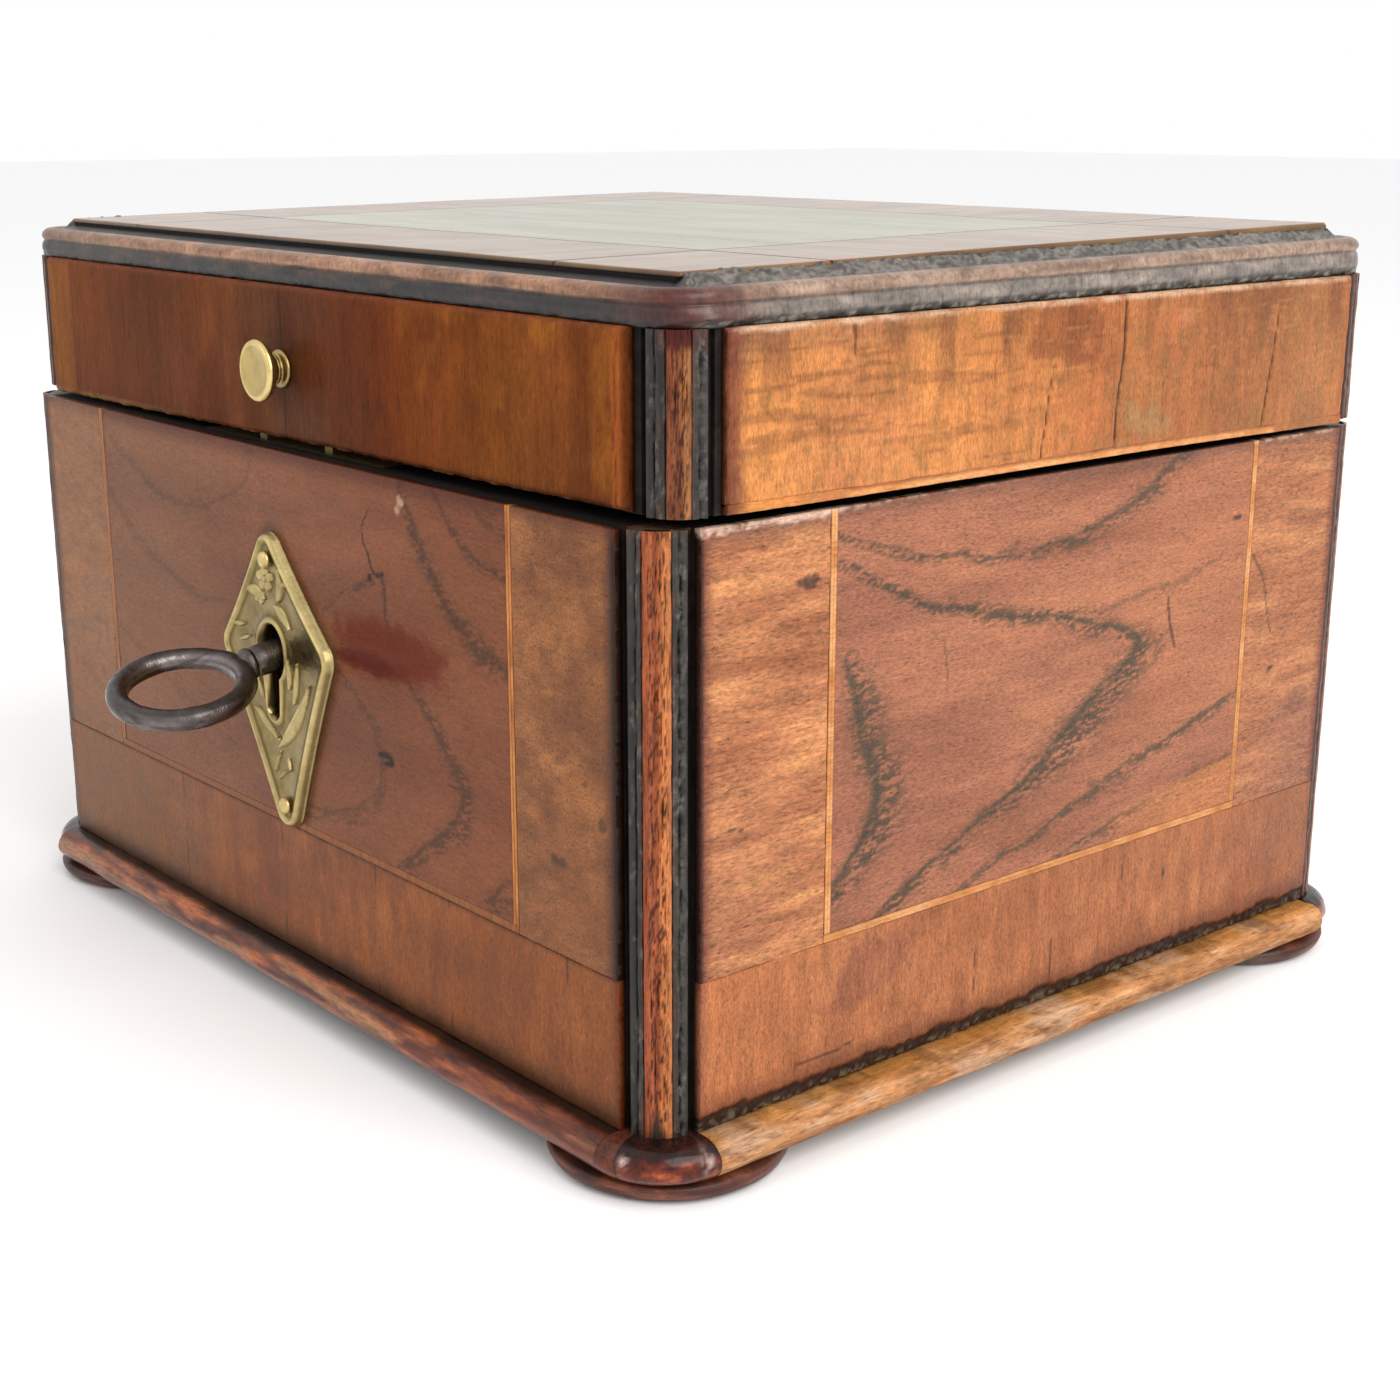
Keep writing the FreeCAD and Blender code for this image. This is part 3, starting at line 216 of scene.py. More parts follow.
def sharp(me, angle):
    import bmesh
    bm = bmesh.new()
    bm.from_mesh(me)
    lim = math.radians(angle)
    for e in bm.edges:
        if len(e.link_faces) == 2 and e.calc_face_angle(0.0) > lim:
            e.smooth = False
    bm.to_mesh(me)
    bm.free()


def axis_pts(a, b, step, e):
    """Grid lines from a to b, crowded in the rounded margins of width e."""
    q = [0.0, 0.12, 0.3, 0.55, 0.8, 1.0]
    k = max(2, int(round((b - a - 2 * e) / step)))
    mid = np.linspace(a + e, b - e, k + 1)
    return np.concatenate([[a + e * x for x in q[:-1]], mid, [b - e * x for x in q[:-1]][::-1]])


def slab(mk, origin, U, V, N, u0, u1, v0, v1, thick, step=0.5, edge=0.35, paint=None, bump=None, warp=None, hole=None, ragged=0.0, seed=0):
    """A veneer: a dense front with worn, rounded edges, and a plain back."""
    U, V, N, origin = (np.asarray(x, float) for x in (U, V, N, origin))
    us, vs = axis_pts(u0, u1, step, edge), axis_pts(v0, v1, step, edge)
    u, v = np.meshgrid(us, vs, indexing="ij")
    du = np.maximum(0, edge - np.minimum(u - u0, u1 - u))
    dv = np.maximum(0, edge - np.minimum(v - v0, v1 - v))
    if ragged:
        k = 1 + ragged * 2 * (fbm((u + v) / 3.1, (u - v) / 3.1, seed + 50, 3) - 0.5)
        du, dv = np.clip(du * k, 0, edge), np.clip(dv * k, 0, edge)
    depth = edge - np.sqrt(np.maximum(0, edge ** 2 - du ** 2 - dv ** 2))
    hgt = -depth
    if bump is not None:
        hgt = hgt + bump(u, v)
    uw, vw = warp(u, v) if warp else (u, v)
    P = origin + uw[..., None] * U + vw[..., None] * V + hgt[..., None] * N
    nu, nv = u.shape
    idx = np.arange(nu * nv).reshape(nu, nv)
    tint, mask = paint(u, v) if paint else (None, None)
    if tint is not None:
        tint = tint.reshape(-1, 3)
    mask = np.zeros(nu * nv) if mask is None else mask.ravel()
    quads = np.stack([idx[:-1, :-1], idx[1:, :-1], idx[1:, 1:], idx[:-1, 1:]], -1).reshape(-1, 4)
    Pb = origin + uw[..., None] * U + vw[..., None] * V - thick * N
    if hole is None:
        ring = np.concatenate([idx[:, 0], idx[-1, 1:], idx[-2::-1, -1], idx[0, -2:0:-1]])
        faces = [tuple(q) for q in quads.tolist()]
        n = nu * nv
        back = Pb.reshape(-1, 3)[ring]
        k = len(ring)
        for i in range(k):
            j = (i + 1) % k
            faces.append((int(ring[j]), int(ring[i]), n + i, n + j))
        faces.append(tuple(n + i for i in range(k - 1, -1, -1)))
        verts = np.vstack([P.reshape(-1, 3), back])
        # the side and back faces take the front's tint × 0.08: painted shade for the gaps between veneers
        tt = None if tint is None else np.vstack([tint, tint[ring] * 0.08])
        mk.add(verts, faces, tt, np.concatenate([mask, mask[ring]]))
        return
    cu = (u[:-1, :-1] + u[1:, 1:]) / 2
    cv = (v[:-1, :-1] + v[1:, 1:]) / 2
    keep = ~hole(cu, cv)
    kq = quads.reshape(nu - 1, nv - 1, 4)[keep]
    n = nu * nv
    faces = [tuple(q) for q in kq.tolist()] + [tuple(reversed([x + n for x in q])) for q in kq.tolist()]
    edges = {}
    for q in kq.tolist():
        for i in range(4):
            e = (q[i], q[(i + 1) % 4])
            if (e[1], e[0]) in edges:
                del edges[(e[1], e[0])]
            else:
                edges[e] = 1
    for a, b in edges:
        faces.append((b, a, a + n, b + n))
    used = np.unique(kq)
    remap = -np.ones(2 * n, int)
    remap[used] = np.arange(len(used))
    remap[used + n] = np.arange(len(used)) + len(used)
    faces = [tuple(int(remap[x]) for x in q) for q in faces]
    verts = np.vstack([P.reshape(-1, 3)[used], Pb.reshape(-1, 3)[used]])
    # the side and back faces take the front's tint × 0.08: painted shade for the gaps between veneers
    tt = None if tint is None else np.vstack([tint[used], tint[used] * 0.08])
    mk.add(verts, faces, tt, np.concatenate([mask[used], mask[used]]))


def tube(mk, rings, tint=None, mask=None, close=False, mirror=False):
    """Skin over closed section rings (n, k, 3); capped unless it closes."""
    rings = np.asarray(rings, float)
    n, k = rings.shape[:2]
    idx = np.arange(n * k).reshape(n, k)
    nx = np.roll(idx, -1, 1)
    faces = []
    last = n if close else n - 1
    for i in range(last):
        j = (i + 1) % n
        faces += np.stack([idx[i], nx[i], nx[j], idx[j]], -1).tolist()
    if not close:
        faces.append(tuple(idx[0][::-1].tolist()))
        faces.append(tuple(idx[-1].tolist()))
    mk.add(rings.reshape(-1, 3), [tuple(q) for q in faces],
           None if tint is None else np.asarray(tint).reshape(-1, 3), None if mask is None else np.asarray(mask).ravel(), mirror)


def lathe(mk, prof, centre, axis, side, seg=64, tint=None, mask=None, wob=0.0, seed=0):
    """Turned piece; prof is (radius, height) from one pole to the other."""
    prof = np.asarray(prof, float)
    axis, side = np.asarray(axis, float), np.asarray(side, float)
    axis /= np.linalg.norm(axis)
    side /= np.linalg.norm(side)
    other = np.cross(axis, side)
    a = np.arange(seg) * 2 * math.pi / seg
    r = prof[:, 0][:, None] * (1 + wob * (fbm(np.cos(a)[None, :] * 2 + 5, np.sin(a)[None, :] * 2 + prof[:, 1][:, None], seed, 3) - 0.5))
    P = np.asarray(centre, float) + prof[:, 1][:, None, None] * axis + (r * np.cos(a))[..., None] * side + (r * np.sin(a))[..., None] * other
    body = P[1:-1]
    n, k = body.shape[:2]
    idx = np.arange(n * k).reshape(n, k)
    nx = np.roll(idx, -1, 1)
    faces = []
    for i in range(n - 1):
        faces += np.stack([idx[i], nx[i], nx[i + 1], idx[i + 1]], -1).tolist()
    p0, p1 = n * k, n * k + 1
    for i in range(k):
        j = (i + 1) % k
        faces.append((p0, int(idx[0, j]), int(idx[0, i])))
        faces.append((p1, int(idx[-1, i]), int(idx[-1, j])))
    verts = np.vstack([body.reshape(-1, 3), P[0].mean(0), P[-1].mean(0)])
    t = None
    if callable(tint):
        t = tint(verts)
    elif tint is not None:
        t = np.asarray(tint, float)
        if t.ndim == 2:
            t = np.vstack([np.repeat(t[1:-1], k, 0), t[0], t[-1]])
    mk.add(verts, [tuple(q) for q in faces], t, mask)


def smooth_profile(pts, n=2):
    return chaikin(pts, n)


# ------------------------------------------------------------------- materials
def nodes_of(name):
    m = bpy.data.materials.new(name)
    m.use_nodes = True
    nt = m.node_tree
    bs = nt.nodes["Principled BSDF"]
    return m, nt, bs


def mapped(nt, scale, loc=(0, 0, 0), rot=(0, 0, 0)):
    tc = nt.nodes.new("ShaderNodeTexCoord")
    mp = nt.nodes.new("ShaderNodeMapping")
    mp.inputs["Scale"].default_value = scale
    mp.inputs["Location"].default_value = loc
    mp.inputs["Rotation"].default_value = rot
    nt.links.new(tc.outputs["Object"], mp.inputs["Vector"])
    return mp.outputs["Vector"]


def noise(nt, vec, scale=1.0, detail=3.0, rough=0.55, dist=0.0):
    n = nt.nodes.new("ShaderNodeTexNoise")
    n.inputs["Scale"].default_value = scale
    n.inputs["Detail"].default_value = detail
    n.inputs["Roughness"].default_value = rough
    n.inputs["Distortion"].default_value = dist
    nt.links.new(vec, n.inputs["Vector"])
    return n.outputs["Fac"]


def rng(nt, x, a, b, c, d, smooth=False):
    n = nt.nodes.new("ShaderNodeMapRange")
    if smooth:
        n.interpolation_type = "SMOOTHSTEP"
    for i, q in zip((1, 2, 3, 4), (a, b, c, d)):
        n.inputs[i].default_value = q
    nt.links.new(x, n.inputs[0])
    return n.outputs[0]


def op(nt, kind, a, b):
    n = nt.nodes.new("ShaderNodeMath")
    n.operation = kind
    for i, q in enumerate((a, b)):
        if isinstance(q, (int, float)):
            n.inputs[i].default_value = q
        else:
            nt.links.new(q, n.inputs[i])
    return n.outputs[0]


def scaled(nt, col, f):
    n = nt.nodes.new("ShaderNodeVectorMath")
    n.operation = "SCALE"
    if isinstance(col, tuple):
        n.inputs[0].default_value = col
    else:
        nt.links.new(col, n.inputs[0])
    nt.links.new(f, n.inputs[3])
    return n.outputs[0]


def mixed(nt, f, a, b, kind="MIX"):
    n = nt.nodes.new("ShaderNodeMix")
    n.data_type = "RGBA"
    n.blend_type = kind
    if isinstance(f, (int, float)):
        n.inputs[0].default_value = f
    else:
        nt.links.new(f, n.inputs[0])
    for i, q in ((6, a), (7, b)):
        if isinstance(q, tuple):
            n.inputs[i].default_value = (*q, 1.0)
        else:
            nt.links.new(q, n.inputs[i])
    return n.outputs[2]


def attr(nt, name, out="Color"):
    n = nt.nodes.new("ShaderNodeAttribute")
    n.attribute_name = name
    return n.outputs[out]


def grain_scale(g, across, along):
    """Texture scale for streaks that run along axis g, sizes in metres."""
    s = [1.0 / across] * 3
    s["XYZ".index(g)] = 1.0 / along
    return tuple(s)


def wood(name, grain="Z", base=None, a1=0.35, a2=0.25, pore=0.35, fine=0.0007, length=0.012, rough=(0.28, 0.42), coat=0.35, coat_rough=0.12,
         bump=0.25, seed=0.0, hue=0.15, spec=0.5, cross=0.0, wear_to=(0.52, 0.36, 0.25), gloss=0.3, crisp=0.2):
    """Polished wood: streaks, broader figure and pores over a painted tint."""
    m, nt, bs = nodes_of(name)
    L = nt.links
    loc = (seed, seed * 1.7, seed * 0.6)
    n1 = noise(nt, mapped(nt, grain_scale(grain, fine, length), loc), 1.0, 4.0, 0.65, 0.3)
    n2 = noise(nt, mapped(nt, grain_scale(grain, fine * 6, length * 3.5), loc), 1.0, 3.0, 0.55, 0.8)
    n3 = noise(nt, mapped(nt, grain_scale(grain, fine * 0.42, length * 0.28), loc), 1.0, 2.0, 0.5)
    f = op(nt, "ADD", rng(nt, n1, 0.25, 0.75, 1 - a1, 1 + a1), rng(nt, n2, 0.28, 0.72, -a2, a2))
    if cross:
        g2 = {"X": "Z", "Y": "Z", "Z": "X" if "front" in name else "Y"}[grain]
        n4 = noise(nt, mapped(nt, grain_scale(g2, fine * 1.6, length * 0.8), loc), 1.0, 3.0, 0.6)
        f = op(nt, "ADD", f, rng(nt, n4, 0.3, 0.7, -cross, cross))
    p = rng(nt, n3, 0.60, 0.70, 0.0, 1.0, True)
    f = op(nt, "SUBTRACT", f, op(nt, "MULTIPLY", p, pore))
    n5 = noise(nt, mapped(nt, grain_scale(grain, fine * 0.6, length * 0.16), (seed + 3.3, seed, seed)), 1.0, 3.0, 0.6, 0.6)
    f = op(nt, "ADD", f, rng(nt, n5, 0.32, 0.68, -crisp, crisp))
    n6 = noise(nt, mapped(nt, grain_scale(grain, fine * 1.1, length * 0.5), (seed, seed + 5.1, seed)), 1.0, 2.0, 0.5, 1.2)
    f = op(nt, "ADD", f, op(nt, "MULTIPLY", rng(nt, n6, 0.62, 0.74, 0.0, 1.0, True), crisp * 0.9))
    f = op(nt, "MAXIMUM", f, 0.08)
    if base is None:
        col = attr(nt, "tint")
    else:
        b = np.array(base)
        col = mixed(nt, rng(nt, n2, 0.3, 0.7, 0, 1), tuple(b * 0.72), tuple(np.clip(b * 1.22, 0, 1)))
    col = scaled(nt, col, f)
    warm = mixed(nt, rng(nt, n1, 0.35, 0.7, 0.0, hue), col, mixed(nt, 1.0, col, (1.25, 0.82, 0.55), "MULTIPLY"))
    if base is None:
        w = attr(nt, "wear", "Fac")
        wn = op(nt, "MULTIPLY", w, rng(nt, noise(nt, mapped(nt, (900, 900, 900), loc), 1.0, 3.0), 0.35, 0.6, 0.3, 1.0))
        warm = mixed(nt, wn, warm, wear_to)
    L.new(warm, bs.inputs["Base Color"])
    rr = rng(nt, op(nt, "ADD", n2, op(nt, "MULTIPLY", n1, 0.5)), 0.5, 1.0, rough[0], rough[1])
    L.new(rr, bs.inputs["Roughness"])
    bs.inputs["Specular IOR Level"].default_value = spec * gloss
    bs.inputs["Coat Weight"].default_value = coat * gloss
    bs.inputs["Coat Roughness"].default_value = coat_rough
    bp = nt.nodes.new("ShaderNodeBump")
    bp.inputs["Strength"].default_value = bump
    bp.inputs["Distance"].default_value = 0.00025
    h = op(nt, "SUBTRACT", op(nt, "MULTIPLY", n1, 0.6), op(nt, "MULTIPLY", p, 0.8))
    L.new(h, bp.inputs["Height"])
    L.new(bp.outputs[0], bs.inputs["Normal"])
    return m


def ebony(name, rough=(0.3, 0.5), bump=0.5, coat=0.25):
    """Black-stained wood, cracked and dusty, over a painted tint."""
    m, nt, bs = nodes_of(name)
    L = nt.links
    v = mapped(nt, (1, 1, 1))
    n1 = noise(nt, v, 700, 5.0, 0.65, 0.4)
    n2 = noise(nt, v, 160, 3.0, 0.6)
    n3 = noise(nt, mapped(nt, (1800, 1800, 260)), 1.0, 3.0, 0.6)
    f = op(nt, "ADD", rng(nt, n1, 0.3, 0.75, 0.6, 1.45), rng(nt, n3, 0.3, 0.7, -0.25, 0.25))
    col = scaled(nt, attr(nt, "tint"), f)
    w = op(nt, "MULTIPLY", attr(nt, "wear", "Fac"), rng(nt, n1, 0.4, 0.62, 0.0, 1.0))
    col = mixed(nt, w, col, (0.20, 0.18, 0.15))
    L.new(col, bs.inputs["Base Color"])
    L.new(rng(nt, n2, 0.3, 0.7, rough[0], rough[1]), bs.inputs["Roughness"])
    bs.inputs["Specular IOR Level"].default_value = 0.3
    bs.inputs["Coat Weight"].default_value = coat * 0.5
    bs.inputs["Coat Roughness"].default_value = 0.25
    bp = nt.nodes.new("ShaderNodeBump")
    bp.inputs["Strength"].default_value = bump
    bp.inputs["Distance"].default_value = 0.0003
    L.new(op(nt, "ADD", n1, op(nt, "MULTIPLY", n3, 0.5)), bp.inputs["Height"])
    L.new(bp.outputs[0], bs.inputs["Normal"])
    return m


def metal(name, base, dark, rough=(0.2, 0.42), scale=420, bump=0.12, tinted=False, brushed=None):
    """Metal with tarnish and fine scratches."""
    m, nt, bs = nodes_of(name)
    L = nt.links
    v = mapped(nt, (1, 1, 1))
    n1 = noise(nt, v, scale, 5.0, 0.6, 0.2)
    n2 = noise(nt, v, scale * 5, 4.0, 0.6)
    s = brushed or (300, 2200, 2200)
    n3 = noise(nt, mapped(nt, s), 1.0, 3.0, 0.6)
    tar = rng(nt, op(nt, "ADD", n1, op(nt, "MULTIPLY", n2, 0.35)), 0.52, 0.9, 0.0, 0.75)
    if tinted:
        tar = op(nt, "MAXIMUM", op(nt, "MULTIPLY", tar, 0.6), attr(nt, "wear", "Fac"))
    col = mixed(nt, tar, base, dark)
    if tinted:
        col = mixed(nt, 1.0, col, attr(nt, "tint"), "MULTIPLY")
    L.new(col, bs.inputs["Base Color"])
    bs.inputs["Metallic"].default_value = 1.0
    L.new(rng(nt, op(nt, "ADD", n1, op(nt, "MULTIPLY", n3, 0.5)), 0.5, 1.0, rough[0], rough[1]), bs.inputs["Roughness"])
    bp = nt.nodes.new("ShaderNodeBump")
    bp.inputs["Strength"].default_value = bump
    bp.inputs["Distance"].default_value = 0.0001
    L.new(op(nt, "ADD", n2, op(nt, "MULTIPLY", n3, 0.8)), bp.inputs["Height"])
    L.new(bp.outputs[0], bs.inputs["Normal"])
    return m


# Gains bring the painted colours to the light that falls on each face.
G_FRONT = np.array([0.70, 0.52, 0.34])
G_FFIELD = np.array([0.655, 0.475, 0.31])
G_FBAND = np.array([0.73, 0.60, 0.37])
G_FLOW = np.array([0.69, 0.47, 0.16])
G_LIDF = np.array([0.80, 0.70, 0.46])
G_SIDE = np.array([0.60, 0.54, 0.47])
G_SBAND = np.array([0.57, 0.525, 0.48])
G_SFIELD = np.array([0.545, 0.51, 0.465])
G_SLOW = np.array([0.57, 0.505, 0.43])
G_LIDS = np.array([0.61, 0.585, 0.46])
G_TOP = np.array([0.58, 0.62, 0.50])
G_TBAND = np.array([0.48, 0.43, 0.26])


def P(r, g, b, gain):
    return lin((r, g, b)) * gain


M_LIDF = wood("lid_front_wood", "Z", gloss=0.04, crisp=0.2, a1=0.16, a2=0.12, pore=0.2, fine=0.0008, length=0.009, rough=(0.22, 0.36), coat=0.5, coat_rough=0.1, bump=0.14)
M_LIDS = wood("lid_side_wood", "Z", a1=0.14, a2=0.12, pore=0.3, fine=0.0005, length=0.0055, crisp=0.28, rough=(0.3, 0.46), coat=0.3, coat_rough=0.15, bump=0.2, cross=0.07)
M_FFIELD = wood("front_field_wood", "X", gloss=0.18, a1=0.12, a2=0.07, pore=0.26, fine=0.0006, length=0.006, crisp=0.22, rough=(0.28, 0.42), coat=0.4, coat_rough=0.12, bump=0.2, seed=0.4)
M_SFIELD = wood("side_field_wood", "Y", a1=0.18, a2=0.08, pore=0.34, fine=0.0005, length=0.006, crisp=0.32, rough=(0.34, 0.5), coat=0.25, coat_rough=0.2, bump=0.22, seed=0.7)
M_FBAND = wood("front_band_wood", "X", crisp=0.3, a1=0.18, a2=0.12, pore=0.42, fine=0.0006, length=0.0028, rough=(0.32, 0.48), coat=0.3, coat_rough=0.15, bump=0.25, seed=1.1)
M_FBANDV = wood("front_lowband_wood", "Z", a1=0.16, a2=0.12, pore=0.25, fine=0.0006, length=0.005, crisp=0.28, rough=(0.3, 0.45), coat=0.3, coat_rough=0.15, bump=0.2, seed=1.5)
M_SBAND = wood("side_band_wood", "Y", a1=0.26, a2=0.14, pore=0.3, fine=0.0006, length=0.007, crisp=0.36, rough=(0.34, 0.5), coat=0.25, coat_rough=0.2, bump=0.25, seed=1.9)
M_SBANDV = wood("side_lowband_wood", "Z", a1=0.22, a2=0.14, pore=0.34, fine=0.0005, length=0.004, crisp=0.3, rough=(0.34, 0.5), coat=0.25, coat_rough=0.2, bump=0.25, seed=2.3)
M_BOX = wood("boxwood", "Z", a1=0.14, a2=0.1, pore=0.15, fine=0.0005, length=0.008, rough=(0.35, 0.5), coat=0.15, bump=0.15, seed=2.9)
M_BOXH = wood("boxwood_level", "Y", a1=0.14, a2=0.1, pore=0.15, fine=0.0005, length=0.008, rough=(0.35, 0.5), coat=0.15, bump=0.15, seed=3.1)
M_TOP = wood("top_wood", "X", a1=0.03, a2=0.04, pore=0.03, fine=0.0012, length=0.02, rough=(0.2, 0.3), coat=0.8, coat_rough=0.12, bump=0.05, seed=3.3, gloss=0.34, crisp=0.02)
M_TOPC = wood("top_band_wood", "Y", a1=0.08, a2=0.07, pore=0.08, fine=0.0012, length=0.02, rough=(0.2, 0.3), coat=0.8, coat_rough=0.12, bump=0.05, seed=3.7, gloss=0.34, crisp=0.03)
M_BACK = wood("back_wood", "X", a1=0.25, a2=0.2, pore=0.3, fine=0.0008, length=0.03, rough=(0.38, 0.55), coat=0.15, bump=0.25, seed=4.1)
M_STRIP = wood("post_strip_wood", "Z", a1=0.42, a2=0.22, pore=0.5, fine=0.00045, length=0.006, rough=(0.3, 0.5), coat=0.2, bump=0.4, seed=4.5)
M_EBON = ebony("ebonised_wood")
M_CORN = ebony("cornice_wood", rough=(0.32, 0.5), bump=0.35, coat=0.35)
M_MDARK = wood("dark_moulding_wood", "X", a1=0.35, a2=0.35, pore=0.4, fine=0.0008, length=0.012, rough=(0.22, 0.4), coat=0.5, coat_rough=0.12, bump=0.3, seed=5.1, gloss=0.45, crisp=0.3)
M_MBARE = wood("bare_moulding_wood", "Y", a1=0.3, a2=0.2, pore=0.35, fine=0.0006, length=0.010, rough=(0.5, 0.7), coat=0.0, bump=0.5, seed=5.5, spec=0.35)
M_BLOCK = wood("corner_block_wood", "Z", a1=0.3, a2=0.45, pore=0.3, fine=0.0012, length=0.004, rough=(0.15, 0.3), coat=0.7, coat_rough=0.08, bump=0.2, seed=6.1, gloss=0.3, crisp=0.3)
M_FOOT = wood("foot_wood", "X", gloss=0.6, a1=0.25, a2=0.25, pore=0.3, fine=0.001, length=0.01, rough=(0.4, 0.6), coat=0.1, bump=0.3, seed=6.7)
M_BRASS = metal("aged_brass", (0.80, 0.65, 0.33), (0.40, 0.28, 0.11), rough=(0.24, 0.42), scale=260, bump=0.25)
M_PLATE = metal("escutcheon_brass", (0.70, 0.55, 0.25), (0.20, 0.135, 0.04), rough=(0.26, 0.44), scale=300, bump=0.25, tinted=True)
M_IRON = metal("key_iron", (0.115, 0.10, 0.095), (0.045, 0.036, 0.034), rough=(0.22, 0.42), scale=500, bump=0.6, tinted=True)
M_LOCK = metal("lock_iron", (0.34, 0.32, 0.29), (0.16, 0.13, 0.10), rough=(0.35, 0.55), scale=300, bump=0.3)
M_SCREW = metal("screw_steel", (0.42, 0.38, 0.33), (0.2, 0.15, 0.1), rough=(0.3, 0.5), scale=600, bump=0.3)
M_DULL = metal("dull_brass", (0.30, 0.22, 0.10), (0.12, 0.09, 0.05), rough=(0.4, 0.6), scale=300, bump=0.3)
M_TIN = metal("tin_lining", (0.5, 0.5, 0.48), (0.3, 0.3, 0.28), rough=(0.35, 0.6), scale=60, bump=0.3)


# --------------------------------------------------------------- keyhole shape
ESC = mm("escutcheon")
KEY = mm("key")
HOLE_X, HOLE_Z, HOLE_MID, HOLE_R, SLOT, SLOT_Z = -2.6, 67.2, 65.4, 4.0, 2.1, 54.3


def in_keyhole(x, z, grow=0.0):
    r, w = HOLE_R + grow, SLOT + grow
    dx = x - HOLE_X
    up = np.hypot(dx, z - HOLE_Z) < r
    lo_ = np.hypot(dx, z - HOLE_MID) < r
    mid = (np.abs(dx) < r) & (z > HOLE_MID) & (z < HOLE_Z)
    slot = (np.abs(dx) < w) & (z > SLOT_Z + w) & (z < HOLE_MID)
    foot = np.hypot(dx, z - SLOT_Z - w) < w
    return up | lo_ | mid | slot | foot


# ------------------------------------------------------------------ front face
FRONT = dict(origin=(0, -HY, 0), U=(1, 0, 0), V=(0, 0, 1), N=(0, -1, 0))
BACKF = dict(origin=(0, HY, 0), U=(-1, 0, 0), V=(0, 0, 1), N=(0, 1, 0))
RIGHT = dict(origin=(HX, 0, 0), U=(0, 1, 0), V=(0, 0, 1), N=(1, 0, 0))
LEFT = dict(origin=(-HX, 0, 0), U=(0, -1, 0), V=(0, 0, 1), N=(-1, 0, 0))


def hatch(u, v, s, along=3.2, across=0.55):
    """Short dashes of the figure, which break a dark band into pores."""
    return sm(0.36, 0.56, fbm(u / along, v / across, s, 3))


def figure(u, v, lines, s, lean=0.35):
    """Growth rings cut by the veneer: a thin core in a fringe of pores that
    follow the grain, denser on the lower side."""
    a = u + lean * v
    h = sm(0.42, 0.54, fbm(a / 2.3, (v - 0.2 * u) / 0.32, s, 4))
    h2 = sm(0.34, 0.52, fbm(a / 3.0, (v - 0.22 * u) / 0.5, s + 5, 3))
    out = np.zeros(u.shape)
    for k, (pts, w) in enumerate(lines):
        q = (int(abs(pts[0][0])) + 3 * k) & 63
        core = stroke(u, v, [(x, y, r * 0.55) for x, y, r in pts], 0.8, q, 0.5)
        wide = stroke(u, v, [(x + 0.7 * r, y - 0.4 * r, r * 2.0) for x, y, r in pts], 0.9, q + 7, 1.0)
        out = np.maximum(out, np.maximum(core * (0.45 + 0.55 * h2), wide * h * 0.95) * w)
    return out


